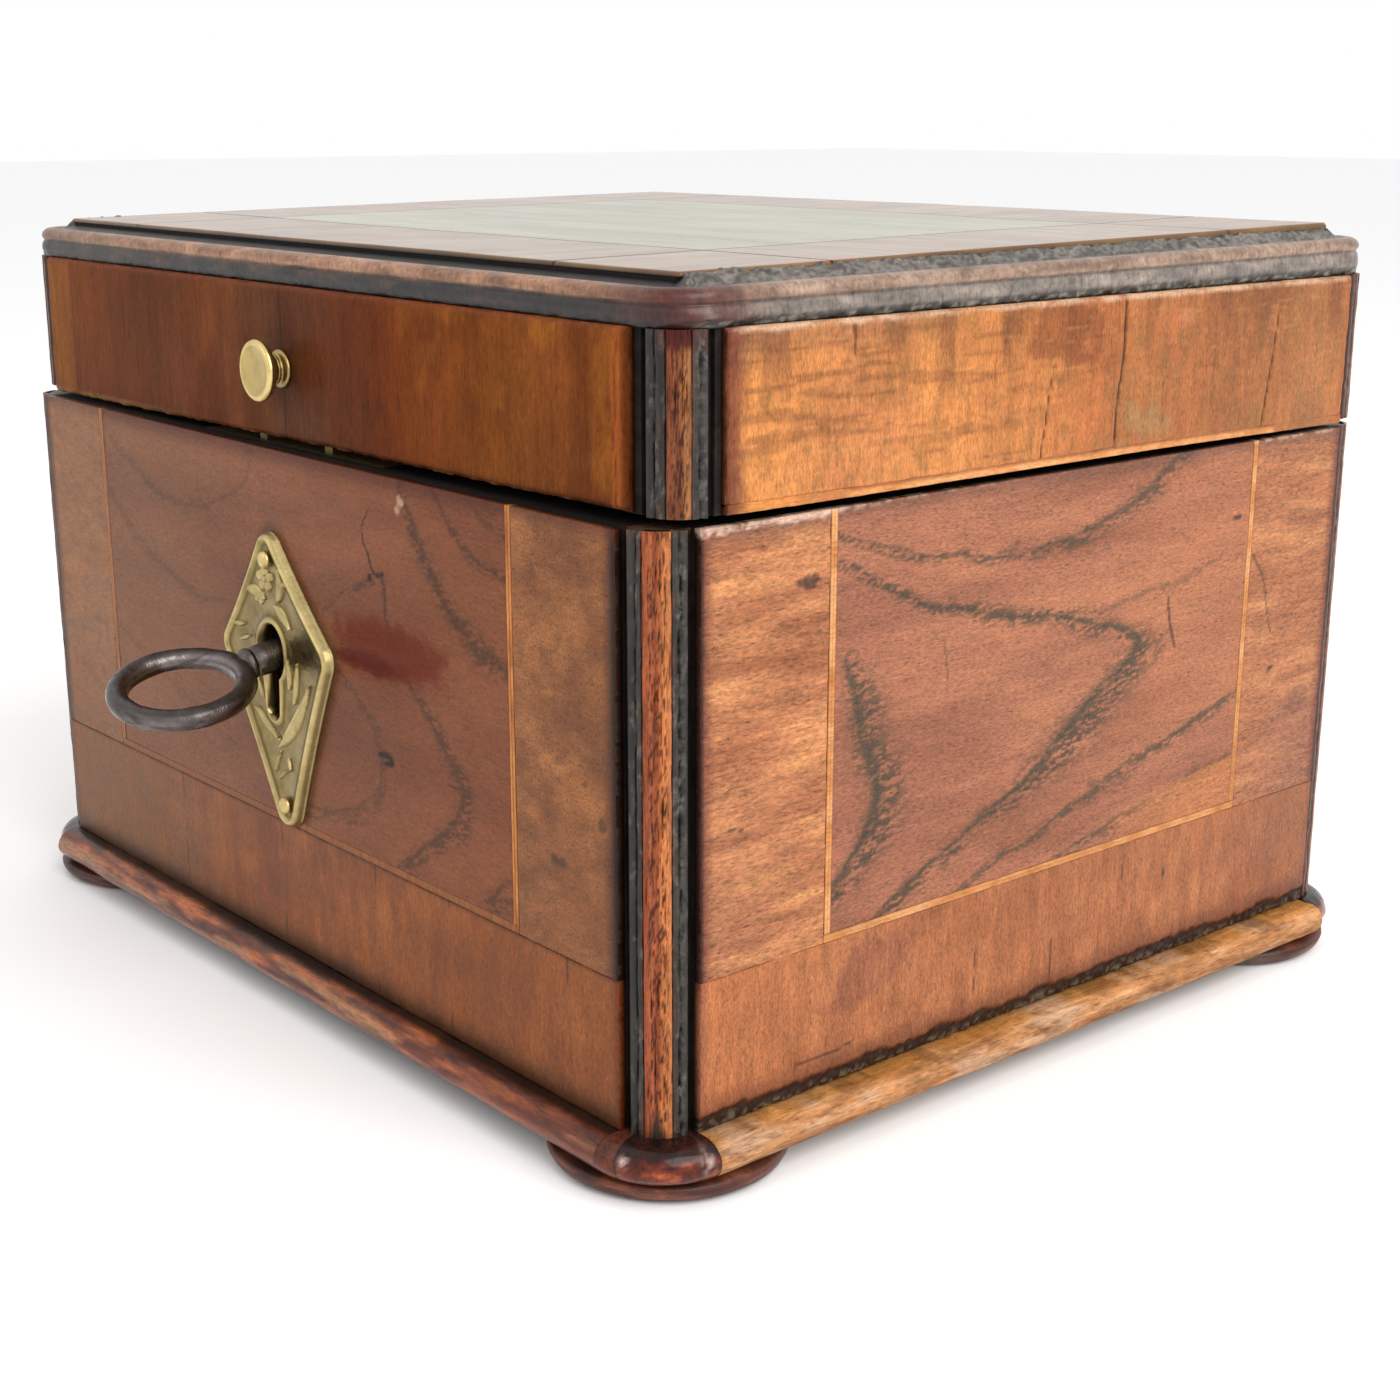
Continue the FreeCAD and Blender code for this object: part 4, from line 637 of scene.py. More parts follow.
def field_front(u, v):
    g = G_FFIELD
    t = fbm(u / 30, v / 9, 11)
    c = ramp(t, [(0.25, P(118, 80, 64, g)), (0.5, P(135, 94, 76, g)), (0.75, P(150, 108, 88, g))])
    # warmer to the right, duller and greyer to the left
    c = mixc(c, P(140, 92, 68, g), sm(0, 60, u) * 0.5)
    c = mixc(c, P(142, 112, 94, g), sm(5, -45, u) * 0.55)
    fig = figure(u, v, (
            ([(38, 102, 0.8), (42, 95, 1.2), (48, 87, 1.6), (54, 81, 2.0), (60, 78, 1.8), (68, 76, 1.2)], 0.85),
            ([(47, 103, 0.4), (52, 97, 0.6), (58, 93, 0.8), (67, 90.5, 0.7)], 0.8),
            ([(56, 103, 0.3), (61, 99, 0.5), (67, 97.3, 0.5)], 0.7),
            ([(32, 86, 0.5), (33, 79, 0.5), (36, 72, 0.5), (42, 67, 0.8), (49, 60.5, 1.1), (54, 55, 1.5), (53, 50, 1.7), (47, 44.5, 1.6), (40, 39.5, 1.3), (34, 36, 1.0)], 0.8),
            ([(13, 68.5, 0.5), (20, 65.5, 0.6), (26, 61, 0.6), (30, 56, 0.8), (30, 50, 0.8), (25, 44.5, 1.0), (17, 41, 1.1), (8, 40, 0.9), (0, 38.5, 0.7)], 0.6),
            ([(-64, 97, 0.4), (-50, 90.5, 0.7), (-40, 88.3, 0.8), (-30, 88.3, 0.7), (-20, 91, 0.6), (-12, 95, 0.5), (-8, 101, 0.4)], 0.45),
            ([(-70, 89, 0.5), (-60, 81.5, 0.8), (-50, 76.5, 0.9), (-42, 73.5, 0.8), (-35, 71.8, 0.8), (-22, 72, 0.5)], 0.42),
            ([(-67, 60, 0.5), (-52, 55, 0.8), (-36, 49, 0.8), (-20, 45, 0.6)], 0.3),
            ([(60, 37, 1.2), (64, 41, 1.6), (68, 43, 1.2)], 0.7),
            ([(30, 84.6, 0.5), (24, 83, 0.35), (18, 79.5, 0.3), (14, 77, 0.3)], 0.8)), 21)
    c = mixc(c, P(66, 54, 46, g), fig * 0.9)
    # knots and small marks
    knot = np.maximum(stroke(u, v, [(28.6, 97, 0.12), (26.6, 93, 0.18), (26.9, 90.6, 0.3), (28.6, 88.4, 0.42), (30.4, 86.6, 0.45), (33.6, 86.2, 0.22)], 0.5, 5, 0.9),
                      stroke(u, v, [(29.5, 54.4, 0.4), (32, 55, 0.9), (34, 54, 0.6), (31.5, 53.2, 0.4)], 0.5, 6))
    knot = np.maximum(knot, blob(u, v, 28.8, 84.9, 0.95, 0.8, 8, 0.3))
    knot = np.maximum(knot, 0.5 * stroke(u, v, [(31.6, 86, 0.3), (33.6, 82, 0.25), (33.0, 78, 0.15)], 0.6, 9, 0.8))
    c = mixc(c, P(28, 20, 18, g), knot * 0.9)
    # deep red patch to the right of the escutcheon
    red = blob(u, v, 33, 73.4, 21, 6.2, 31, 0.22) * sm(13, 18, u)
    red2 = blob(u, v, 27, 70, 13, 2.2, 33, 0.3)
    c = mixc(c, P(112, 44, 20, g), red * 0.85)
    c = mixc(c, P(92, 26, 10, g), red2 * 0.8)
    # pale chips near the top
    chip = blob(u, v, 39, 98.7, 1.6, 1.0, 35, 0.8) + blob(u, v, 37.6, 97.4, 0.9, 0.8, 36, 0.8)
    c = mixc(c, P(205, 190, 180, g), chip * 0.9)
    # painted shadow along the top edge, under the lid; dirt along the left joint and round the plate
    c = mixc(c, P(84, 40, 30, g), sm(98.5, 102.3, v) * 0.75)
    c = mixc(c, P(60, 40, 34, g), sm(-66.2, -67.1, u) * 0.5)
    edge = sm(3.2, 0.0, kite_distance(u, v)) * 0.55
    c = mixc(c, P(34, 26, 24, g), edge)
    # long faint level crack
    c = mixc(c, P(60, 42, 36, g), stroke(u, v, [(36, 54.2, 0.16), (46, 54, 0.14), (58, 54.4, 0.1)], 0.5, 7, 0.2) * 0.7)
    return c, None


def kite_distance(u, v):
    """Signed distance outside the escutcheon's outline, about."""
    q = outline_pts()
    d = np.full(u.shape, 1e9)
    inside = np.zeros(u.shape, bool)
    for i in range(len(q)):
        x0, y0 = q[i]
        x1, y1 = q[(i + 1) % len(q)]
        dx, dy = x1 - x0, y1 - y0
        t = np.clip(((u - x0) * dx + (v - y0) * dy) / (dx * dx + dy * dy), 0, 1)
        d = np.minimum(d, np.hypot(u - x0 - t * dx, v - y0 - t * dy))
        cond = (y0 > v) != (y1 > v)
        with np.errstate(divide="ignore", invalid="ignore"):
            inside ^= cond & (u < (x1 - x0) * (v - y0) / (y1 - y0 if y1 != y0 else 1e-9) + x0)
    return np.where(inside, -d, d)


def outline_pts(n=None):
    """Outline of the escutcheon: four round corners, sides a little hollow."""
    # corner centres and radii, leaning left at the top
    px, pz, tilt = -1.8, 66.5, math.radians(3.6)
    cs = [(14.1, 0.0, 4.0), (0.0, 17.9, 3.4), (-14.1, 0.0, 4.0), (0.0, -28.5, 3.8)]
    pts = []
    for i in range(4):
        (u0, v0, r0), (u1, v1, r1), (u2, v2, r2) = cs[i - 1], cs[i], cs[(i + 1) % 4]

        def nrm(a, b):
            du, dv = b[0] - a[0], b[1] - a[1]
            return math.atan2(dv, du) - math.acos((a[2] - b[2]) / math.hypot(du, dv))
        a0, a1 = nrm(cs[i - 1], cs[i]), nrm(cs[i], cs[(i + 1) % 4])
        while a1 < a0:
            a1 += 2 * math.pi
        arc = [(u1 + r1 * math.cos(a0 + (a1 - a0) * k / 10), v1 + r1 * math.sin(a0 + (a1 - a0) * k / 10)) for k in range(11)]
        if pts:
            p, q = pts[-1], arc[0]
            hol = 0.35
            L = math.hypot(q[0] - p[0], q[1] - p[1])
            nx, ny = (q[1] - p[1]) / L, -(q[0] - p[0]) / L
            for k in range(1, 12):
                t = k / 12
                pts.append((p[0] + (q[0] - p[0]) * t - nx * hol * 4 * t * (1 - t), p[1] + (q[1] - p[1]) * t - ny * hol * 4 * t * (1 - t)))
        pts += arc
    p, q = pts[-1], pts[0]
    L = math.hypot(q[0] - p[0], q[1] - p[1])
    nx, ny = (q[1] - p[1]) / L, -(q[0] - p[0]) / L
    for k in range(1, 12):
        t = k / 12
        pts.append((p[0] + (q[0] - p[0]) * t - nx * 0.35 * 4 * t * (1 - t), p[1] + (q[1] - p[1]) * t - ny * 0.35 * 4 * t * (1 - t)))
    c, s = math.cos(tilt), math.sin(tilt)
    return [(px + u * c - v * s, pz + u * s + v * c) for u, v in pts]


def band_front(u, v):
    g = G_FBAND
    t = fbm(u / 7, v / 4, 41)
    c = ramp(t, [(0.25, P(126, 82, 54, g)), (0.5, P(150, 102, 70, g)), (0.75, P(172, 120, 84, g))])
    left = u < 0
    c = np.where(left[..., None], mixc(c, P(152, 116, 94, g), np.full(u.shape, 0.6)), c)
    c = mixc(c, P(130, 88, 66, g), sm(60, 38, v) * 0.6)
    mott = sm(0.5, 0.75, fbm(u / 1.6, v / 1.0, 43, 3))
    c = mixc(c, P(110, 68, 46, g), mott * 0.35)
    dark = blob(u, v, 79, 49.5, 2.6, 1.0, 44, 0.9) + blob(u, v, 86, 63, 1.2, 0.8, 45, 0.9) + blob(u, v, 90, 58, 0.8, 1.6, 46, 0.8)
    c = mixc(c, P(60, 48, 42, g), dark * 0.7)
    # painted shade, dark red to black, along both ends beside the corner posts
    c = mixc(c, P(78, 38, 30, g), sm(89.8, 92.4, np.abs(u)) * 0.75)
    c = mixc(c, P(24, 14, 12, g), sm(91.9, 92.8, np.abs(u)) * 0.85)
    # painted shadow along the top edge, under the lid
    c = mixc(c, P(84, 40, 30, g), sm(99.5, 102.3, v) * 0.6)
    return c, None


def low_front(u, v):
    g = G_FLOW
    t = 0.5 * fbm(u / 3.2, v / 12, 51, 5) + 0.5 * fbm(u / 14, v / 8, 50, 4)
    c = ramp(t, [(0.25, P(112, 68, 42, g)), (0.5, P(142, 92, 60, g)), (0.78, P(170, 116, 78, g))])
    c = mixc(c, P(128, 98, 80, g), sm(-10, -70, u) * 0.75)
    c = mixc(c, P(150, 96, 60, g), sm(0, 70, u) * 0.3)
    for x, w in ((-43, 0.22), (-5, 0.18), (81, 0.16), (26.5, 0.1), (49, 0.1)):
        c = mixc(c, P(58, 38, 30, g), stroke(u, v, [(x, 10, w), (x + 0.4, 22, w), (x - 0.1, 35, w)], 0.6, 52, 0.15) * 0.75)
    c = mixc(c, P(70, 46, 38, g), sm(33.2, 34.3, v) * 0.55)
    c = mixc(c, P(58, 44, 40, g), sm(15.5, 10.2, v + 1.5 * (fbm(u / 6, v / 3, 53) - 0.5)) * 0.85)
    # painted shade, dark red, along both ends beside the corner posts
    c = mixc(c, P(96, 50, 40, g), sm(91, 93.2, np.abs(u)) * 0.7)
    return c, None


def gentle(seed, amp=0.12, size=22.0):
    return lambda u, v: (fbm(u / size, v / size, seed, 3) - 0.5) * amp * 2


def top_edge_front(u, v):
    """The rim sags and swells a little along the front."""
    k = np.clip((v - 40) / (Z1 - 40), 0, 1)
    return u, v + k * (-0.25 + 0.35 * sm(20, -90, u) + 0.12 * (fbm(u / 12, v * 0, 61) - 0.5))


mk = Maker()
for a, b in ((-RUN_X, -FX), (FX, RUN_X)):
    slab(mk, **FRONT, u0=a, u1=b, v0=BAND_Z, v1=Z1, thick=1.55, step=0.5, edge=0.28, paint=band_front, bump=gentle(62, 0.08), warp=top_edge_front, ragged=0.5, seed=1)
band_f = mk.build("front_upright_bands", "case", ["front_crossbanding"], "crossband", M_FBAND)
mk = Maker()
slab(mk, **FRONT, u0=-RUN_X, u1=RUN_X, v0=Z0, v1=BAND_Z, thick=1.55, step=0.5, edge=0.28, paint=low_front, bump=gentle(63, 0.1), ragged=0.5, seed=2)
mk.build("front_low_band", "case", ["front_crossbanding"], "crossband", M_FBANDV)
mk = Maker()
slab(mk, **FRONT, u0=FIELD[0][0], u1=FIELD[1][0], v0=LINE_Z, v1=Z1, thick=1.55, step=0.42, edge=0.14, paint=field_front, bump=gentle(64, 0.14), warp=top_edge_front,
     hole=lambda x, z: in_keyhole(x, z, 0.5))
mk.build("front_field_veneer", "case", ["front_field"], "elm_field", M_FFIELD)


def line_front(u, v):
    g = G_FRONT
    t = fbm(u / 0.8, v / 5, 71)
    c = ramp(t, [(0.25, P(176, 116, 62, g)), (0.5, P(206, 146, 86, g)), (0.8, P(226, 170, 112, g))])
    c = np.where((u < 0)[..., None], mixc(c, P(168, 124, 94, g), np.full(u.shape, 0.75)), c)
    lowline = v < LINE_Z
    c = np.where(lowline[..., None], mixc(c, P(132, 90, 66, g), np.full(u.shape, 0.8)), c)
    mid = np.minimum(np.abs(np.abs(u) - (FX + FIELD[1][0]) / 2), 9)
    c = mixc(c, P(112, 74, 46, g), np.where(lowline, 0, sm(0.22, 0.05, mid)) * 0.8)
    rim = np.maximum(sm(FX - 0.16, FX, np.abs(u)), sm(FIELD[1][0] + 0.16, FIELD[1][0], np.abs(u)))
    c = mixc(c, P(70, 44, 32, g), np.where(lowline, sm(BAND_Z + 0.3, BAND_Z, v), rim) * 0.7)
    return c, None


mk = Maker()
for a, b in ((-FX, FIELD[0][0]), (FIELD[1][0], FX)):
    slab(mk, **FRONT, u0=a, u1=b, v0=LINE_Z, v1=Z1, thick=1.55, step=0.2, edge=0.12, paint=line_front, warp=top_edge_front)
slab(mk, **FRONT, u0=-FX, u1=FX, v0=BAND_Z, v1=LINE_Z, thick=1.55, step=0.3, edge=0.12, paint=line_front)
mk.build("front_boxwood_lines", "case", ["front_stringing"], "boxwood", M_BOX)


# ------------------------------------------------------------------ side faces
def field_side(u, v):
    g = G_SFIELD
    t = fbm(u / 26, v / 5, 111)
    c = ramp(t, [(0.25, P(166, 108, 82, g)), (0.5, P(184, 122, 96, g)), (0.78, P(204, 138, 104, g))])
    c = mixc(c, P(176, 118, 98, g), sm(0, -45, u) * 0.35)
    c = mixc(c, P(206, 136, 98, g), sm(10, 40, u) * sm(44, 60, v) * 0.45)
    fig = figure(u, v, (
            ([(-51, 98.5, 0.35), (-40, 94.8, 0.5), (-30, 92.3, 0.6), (-20, 91, 0.7), (-10, 90, 0.75), (0, 90.4, 0.8), (8, 92, 1.0), (16, 94.5, 1.3), (22, 97, 1.5), (27, 100.5, 1.4), (32, 103, 1.2)], 0.9),
            ([(-51, 93.5, 0.4), (-42, 89, 0.6), (-32, 85.3, 0.8), (-24, 83.2, 1.0), (-10, 80, 1.0), (0, 78.2, 1.1), (9, 76, 1.3), (16, 74, 1.2), (20, 71.5, 1.3)], 1.0),
            ([(18, 73.5, 0.9), (22, 71, 2.0), (20, 68.3, 2.6), (14, 65.5, 2.9), (8, 61.5, 3.0), (2, 57, 3.0), (-3, 53.2, 2.5), (-9, 50.3, 1.6), (-16, 47.8, 1.3), (-25, 43.6, 1.1), (-33, 40.2, 1.1), (-41, 35.8, 1.0)], 1.0),
            ([(-49, 79, 1.4), (-46.5, 74, 2.4), (-44.5, 66, 3.0), (-42, 60, 3.4), (-41, 56, 3.3), (-43, 51, 2.7), (-46.5, 46.5, 2.0), (-51, 42.5, 1.5)], 1.0),
            ([(52, 57.2, 0.5), (43, 54.8, 0.9), (36, 52.8, 0.9), (28, 50.7, 0.9), (20, 49, 1.0), (10, 46.3, 0.9), (0, 42.6, 0.6), (-10, 39.6, 0.6), (-23, 35.5, 0.5)], 0.9),
            ([(52, 45.4, 0.4), (40, 43.3, 0.7), (30, 41.7, 0.8), (20, 40, 0.9), (12, 37.8, 0.8), (0, 35.4, 0.6)], 0.85),
            ([(-2, 78.3, 0.4), (12, 77.6, 0.5), (22, 79.2, 0.5), (35, 81, 0.5), (45, 83, 0.4), (52, 82, 0.4)], 0.5),
            ([(5, 74, 0.3), (14, 72.5, 0.3), (20, 72.8, 0.3)], 0.5),
            ([(24, 71, 0.8), (27, 70, 1.3), (26, 67.5, 0.8)], 0.6),
            ([(30, 89, 0.25), (36, 86, 0.2)], 0.5),
            ([(10, 47.5, 0.9), (17, 46.5, 1.5), (22, 47.5, 0.8)], 0.6)), 121)
    c = mixc(c, P(84, 76, 62, g), fig * 0.95)
    marks = (stroke(u, v, [(29, 77, 0.25), (29.6, 72, 0.45), (31.5, 68, 0.3)], 0.4, 61, 0.3)
             + blob(u, v, 47.5, 89, 1.4, 0.6, 62, 0.8) + stroke(u, v, [(-27.5, 78, 0.2), (-26, 72, 0.25)], 0.5, 63, 0.4) * 0.5
             + blob(u, v, -11, 92, 0.6, 0.6, 64, 0.6) * 0.6 + blob(u, v, 6, 92.5, 0.6, 0.7, 65, 0.6) * 0.6)
    c = mixc(c, P(58, 48, 46, g), marks * 0.85)
    # golden light wood in the lower right corner
    gold = sm(0, 1.2, (45.4 - 0.11 * (52 - u)) - v) * sm(8, 40, u)
    c = mixc(c, P(222, 146, 88, g), gold * 0.6)
    c = mixc(c, P(104, 78, 72, g), sm(99.0, 102.3, v + (fbm(u / 5, v, 66) - 0.5)) * 0.6)
    chipd = sm(101.3, 101.9, v + 1.0 * (fbm(u / 2.2, v / 2, 149, 4) - 0.5)) * sm(0.4, 0.55, fbm(u / 1.5, v, 139, 3)) * sm(-38, -50, u)
    c = mixc(c, P(238, 206, 192, g), chipd * 0.6)
    return c, sm(101.8, 102.3, v) * sm(0.45, 0.65, fbm(u / 1.3, v / 1, 67)) * sm(20, -50, u) * 0.5


def band_side(u, v):
    g = G_SBAND
    near = u < 0
    t = fbm(u / 14, v / 2.4, 141, 5)
    c = ramp(t, [(0.22, P(170, 108, 74, g)), (0.5, P(198, 134, 94, g)), (0.78, P(232, 166, 112, g))])
    c = np.where(near[..., None], c, mixc(c, P(190, 128, 92, g), np.full(u.shape, 0.35)))
    far_low = sm(62, 44, v) * sm(50, 70, u)
    c = mixc(c, P(166, 114, 94, g), far_low * 0.7)
    near_low = sm(70, 50, v) * sm(-52, -75, u)
    c = mixc(c, P(184, 128, 98, g), near_low * 0.45)
    marks = (blob(u, v, -56.6, 92, 1.9, 1.1, 142, 0.9) + blob(u, v, 60.5, 59.5, 1.3, 0.9, 143, 0.8)
             + stroke(u, v, [(53, 81.5, 0.3), (56, 78, 0.3), (58, 73, 0.25), (59.5, 66, 0.2)], 0.6, 144, 0.4)
             + stroke(u, v, [(-72, 57.5, 0.25), (-69, 56.5, 0.2)], 0.5, 145))
    c = mixc(c, P(64, 52, 50, g), marks * 0.8)
    c = mixc(c, P(120, 84, 74, g), blob(u, v, 70, 52, 7, 3.5, 146, 0.8) * 0.4)
    c = mixc(c, P(128, 96, 84, g), sm(97.5, 102.3, v + 2 * (fbm(u / 6, v / 3, 147) - 0.5)) * 0.65)
    # painted shade, dark red to black, along both ends beside the corner posts
    c = mixc(c, P(128, 72, 62, g), sm(74.2, 76.9, np.abs(u)) * 0.8)
    c = mixc(c, P(40, 20, 18, g), sm(76.5, 77.1, np.abs(u)) * 0.8)
    chipd = sm(101.0, 101.7, v + 1.3 * (fbm(u / 2.2, v / 2, 149, 4) - 0.5)) * sm(0.36, 0.5, fbm(u / 1.5, v, 139, 3)) * sm(0, -48, u)
    c = mixc(c, P(244, 216, 204, g), chipd * 0.75)
    return c, sm(101.5, 102.2, v) * sm(0.35, 0.6, fbm(u / 1.3, v / 1, 148)) * 0.7


def low_side(u, v):
    g = G_SLOW
    t = 0.5 * fbm(u / 3.0, v / 9, 151, 5) + 0.5 * fbm(u / 12, v / 7, 150, 4)
    c = ramp(t, [(0.22, P(166, 106, 72, g)), (0.5, P(186, 122, 84, g)), (0.78, P(214, 146, 100, g))])
    c = mixc(c, P(212, 136, 86, g), sm(-50, -72, u) * 0.45)
    c = mixc(c, P(164, 112, 84, g), sm(52, 66, u) * 0.6)
    c = mixc(c, P(146, 92, 80, g), blob(u, v, -42, 27, 10, 6, 152, 0.7) * 0.5)
    c = mixc(c, P(176, 100, 62, g), blob(u, v, 62, 16, 12, 8, 153, 0.7) * 0.3)
    for pts in ([(2, 10, 0.22), (2.3, 17, 0.18), (1.8, 24, 0.12)], [(-17.4, 16, 0.16), (-17, 30, 0.12)], [(-58, 15.5, 0.3), (-50, 15.2, 0.35), (-44, 16, 0.1)],
                [(20.6, 30, 0.12), (20, 22, 0.12)]):
        c = mixc(c, P(70, 42, 34, g), stroke(u, v, pts, 0.5, 154, 0.25) * 0.8)
    c = mixc(c, P(56, 50, 48, g), blob(u, v, 32.4, 25.8, 0.6, 1.5, 155, 0.7) * 0.9)
    # scorched, crumbling line along the bottom
    w = 1.6 * (fbm(u / 5, v / 2, 156) - 0.5) + 0.9 * (fbm(u / 1.2, v / 1.2, 157) - 0.5)
    c = mixc(c, P(108, 62, 50, g), sm(17, 12.5, v + w) * 0.6)
    c = mixc(c, P(44, 34, 32, g), sm(12.9, 12.0, v + w) * 0.95)
    c = mixc(c, P(126, 116, 100, g), sm(11.6, 10.8, v + w) * sm(0.5, 0.62, fbm(u / 0.8, v / 0.6, 158)) * 0.7)
    c = mixc(c, P(150, 92, 84, g), sm(75.2, 77.2, np.abs(u)) * sm(13, 15, v) * 0.6)
    return c, None


def low_side_bump(u, v):
    w = 1.6 * (fbm(u / 5, v / 2, 156) - 0.5) + 0.9 * (fbm(u / 1.2, v / 1.2, 157) - 0.5)
    rough = sm(12.9, 12.0, v + w)
    return (fbm(u / 22, v / 22, 159, 3) - 0.5) * 0.2 - rough * (0.15 + 0.55 * fbm(u / 0.9, v / 0.7, 160, 3))


def line_side(u, v):
    g = G_SIDE
    t = fbm(u / 4, v / 4, 171)
    c = ramp(t, [(0.25, P(216, 146, 84, g)), (0.5, P(232, 168, 108, g)), (0.8, P(244, 190, 134, g))])
    mid = np.where(v > LINE_Z, np.abs(np.abs(u) - SY + 0.7), np.abs(v - (LINE_Z + BAND_Z) / 2))
    c = mixc(c, P(150, 96, 56, g), sm(0.2, 0.05, mid) * 0.35)
    rim = np.where(v > LINE_Z, sm(0.5, 0.7, mid), sm(0.5, 0.7, mid))
    c = mixc(c, P(120, 66, 44, g), rim * 0.75)
    return c, sm(101.4, 102.2, v) * 0.7


def side_sets(face, tag, sgn):
    pick = (lambda f: f) if sgn > 0 else (lambda f: (lambda u, v: f(-u, v)))
    mk = Maker()
    for a, b in ((-RUN_Y, -SY), (SY, RUN_Y)):
        slab(mk, **face, u0=a, u1=b, v0=BAND_Z, v1=Z1, thick=1.55, step=0.45, edge=0.3, paint=pick(band_side), bump=gentle(162, 0.1), ragged=0.7, seed=11)
    mk.build("side_upright_bands_" + tag, "case", ["side_crossbanding"], "crossband", M_SBAND)
    mk = Maker()
    slab(mk, **face, u0=-RUN_Y, u1=RUN_Y, v0=Z0, v1=BAND_Z, thick=1.55, step=0.42, edge=0.25, paint=pick(low_side), bump=pick(low_side_bump), ragged=0.6, seed=12)
    mk.build("side_low_band_" + tag, "case", ["side_crossbanding"], "crossband", M_SBANDV)
    mk = Maker()
    slab(mk, **face, u0=-SY + 1.4, u1=SY - 1.4, v0=LINE_Z, v1=Z1, thick=1.55, step=0.4, edge=0.14, paint=pick(field_side), bump=gentle(163, 0.12), ragged=0.3, seed=13)
    mk.build("side_field_veneer_" + tag, "case", ["side_fields"], "elm_field", M_SFIELD)
    mk = Maker()
    for a, b in ((-SY, -SY + 1.4), (SY - 1.4, SY)):
        slab(mk, **face, u0=a, u1=b, v0=LINE_Z, v1=Z1, thick=1.55, step=0.2, edge=0.12, paint=pick(line_side))
    slab(mk, **face, u0=-SY, u1=SY, v0=BAND_Z, v1=LINE_Z, thick=1.55, step=0.25, edge=0.12, paint=pick(line_side))
    mk.build("side_boxwood_lines_" + tag, "case", ["side_stringing"], "boxwood", M_BOXH)


side_sets(RIGHT, "right", 1)
side_sets(LEFT, "left", -1)

# ------------------------------------------------------------------- the lid
LF = dict(origin=(0, LY0, 0), U=(1, 0, 0), V=(0, 0, 1), N=(0, -1, 0))
LR = dict(origin=(LX1, 0, 0), U=(0, 1, 0), V=(0, 0, 1), N=(1, 0, 0))
LL = dict(origin=(LX0, 0, 0), U=(0, -1, 0), V=(0, 0, 1), N=(-1, 0, 0))
LB = dict(origin=(0, LY1, 0), U=(-1, 0, 0), V=(0, 0, 1), N=(0, 1, 0))


def lid_front_paint(u, v):
    g = G_LIDF
    along = ramp(u, [(-95, P(138, 90, 46, g)), (-84, P(130, 80, 44, g)), (-83, P(116, 66, 36, g)), (-70, P(110, 60, 32, g)), (-50, P(96, 54, 31, g)), (-30, P(108, 60, 35, g)),
                     (-8, P(104, 64, 44, g)), (0, P(94, 58, 44, g)), (12, P(92, 52, 36, g)), (30, P(102, 50, 22, g)), (45, P(118, 64, 28, g)), (60, P(126, 74, 32, g)),
                     (75, P(126, 74, 40, g)), (94, P(134, 78, 42, g))])
    t = 0.45 * fbm(u / 1.6, v / 14, 181, 5) + 0.55 * fbm(u / 9, v / 11, 182, 4)
    c = along * (0.62 + 0.76 * t)[..., None]
    big = fbm(u / 14, v / 18, 183, 4)
    c = mixc(c, P(80, 36, 14, g), sm(0.5, 0.72, big) * 0.5)
    c = mixc(c, P(158, 100, 44, g), sm(0.56, 0.75, fbm(u / 9, v / 12, 185, 4)) * sm(25, 50, u) * 0.5)
    c = mixc(c, P(124, 98, 84, g), blob(u, v, 6, 107, 12, 3.5, 186, 0.7) * 0.1)
    for x in (-83.2, -1.2):
        c = mixc(c, P(56, 34, 24, g), stroke(u, v, [(x, 103, 0.16), (x, 131, 0.16)], 0.5, 187, 0.12) * 0.7)
    c = mixc(c, P(196, 166, 140, g), sm(1.2, 0.3, v - L0 + 0.7 * (fbm(u / 5, v, 188) - 0.5)) * sm(-20, -80, u) * 0.55)
    c = mixc(c, P(60, 34, 26, g), sm(1.5, 0.2, v - L0) * sm(-20, 10, u) * 0.5)
    c = mixc(c, P(120, 70, 56, g), sm(128.4, 129.8, v) * 0.6)
    # right end: a worn, redder strip of end grain
    end = sm(89.0, 90.0, u)
    c = mixc(c, P(172, 96, 54, g), end * (0.3 + 0.7 * fbm(u / 1.0, v / 4, 189)))
    c = mixc(c, P(74, 40, 32, g), stroke(u, v, [(90.2, 104, 0.25), (90.0, 118, 0.25), (90.3, 129, 0.25)], 0.6, 190, 0.4) * 0.6)
    # painted shade along both ends, beside the corner posts
    c = mixc(c, P(38, 16, 12, g), sm(1.6, 0.2, LIDF[1][0] - 1.5 - u) * 0.75 + sm(1.4, 0.2, u - LIDF[0][0] - 0.9) * 0.5)
    return c, sm(0.5, 0.1, v - L0) * sm(0.5, 0.65, fbm(u / 2, v / 2, 191)) * 0.2


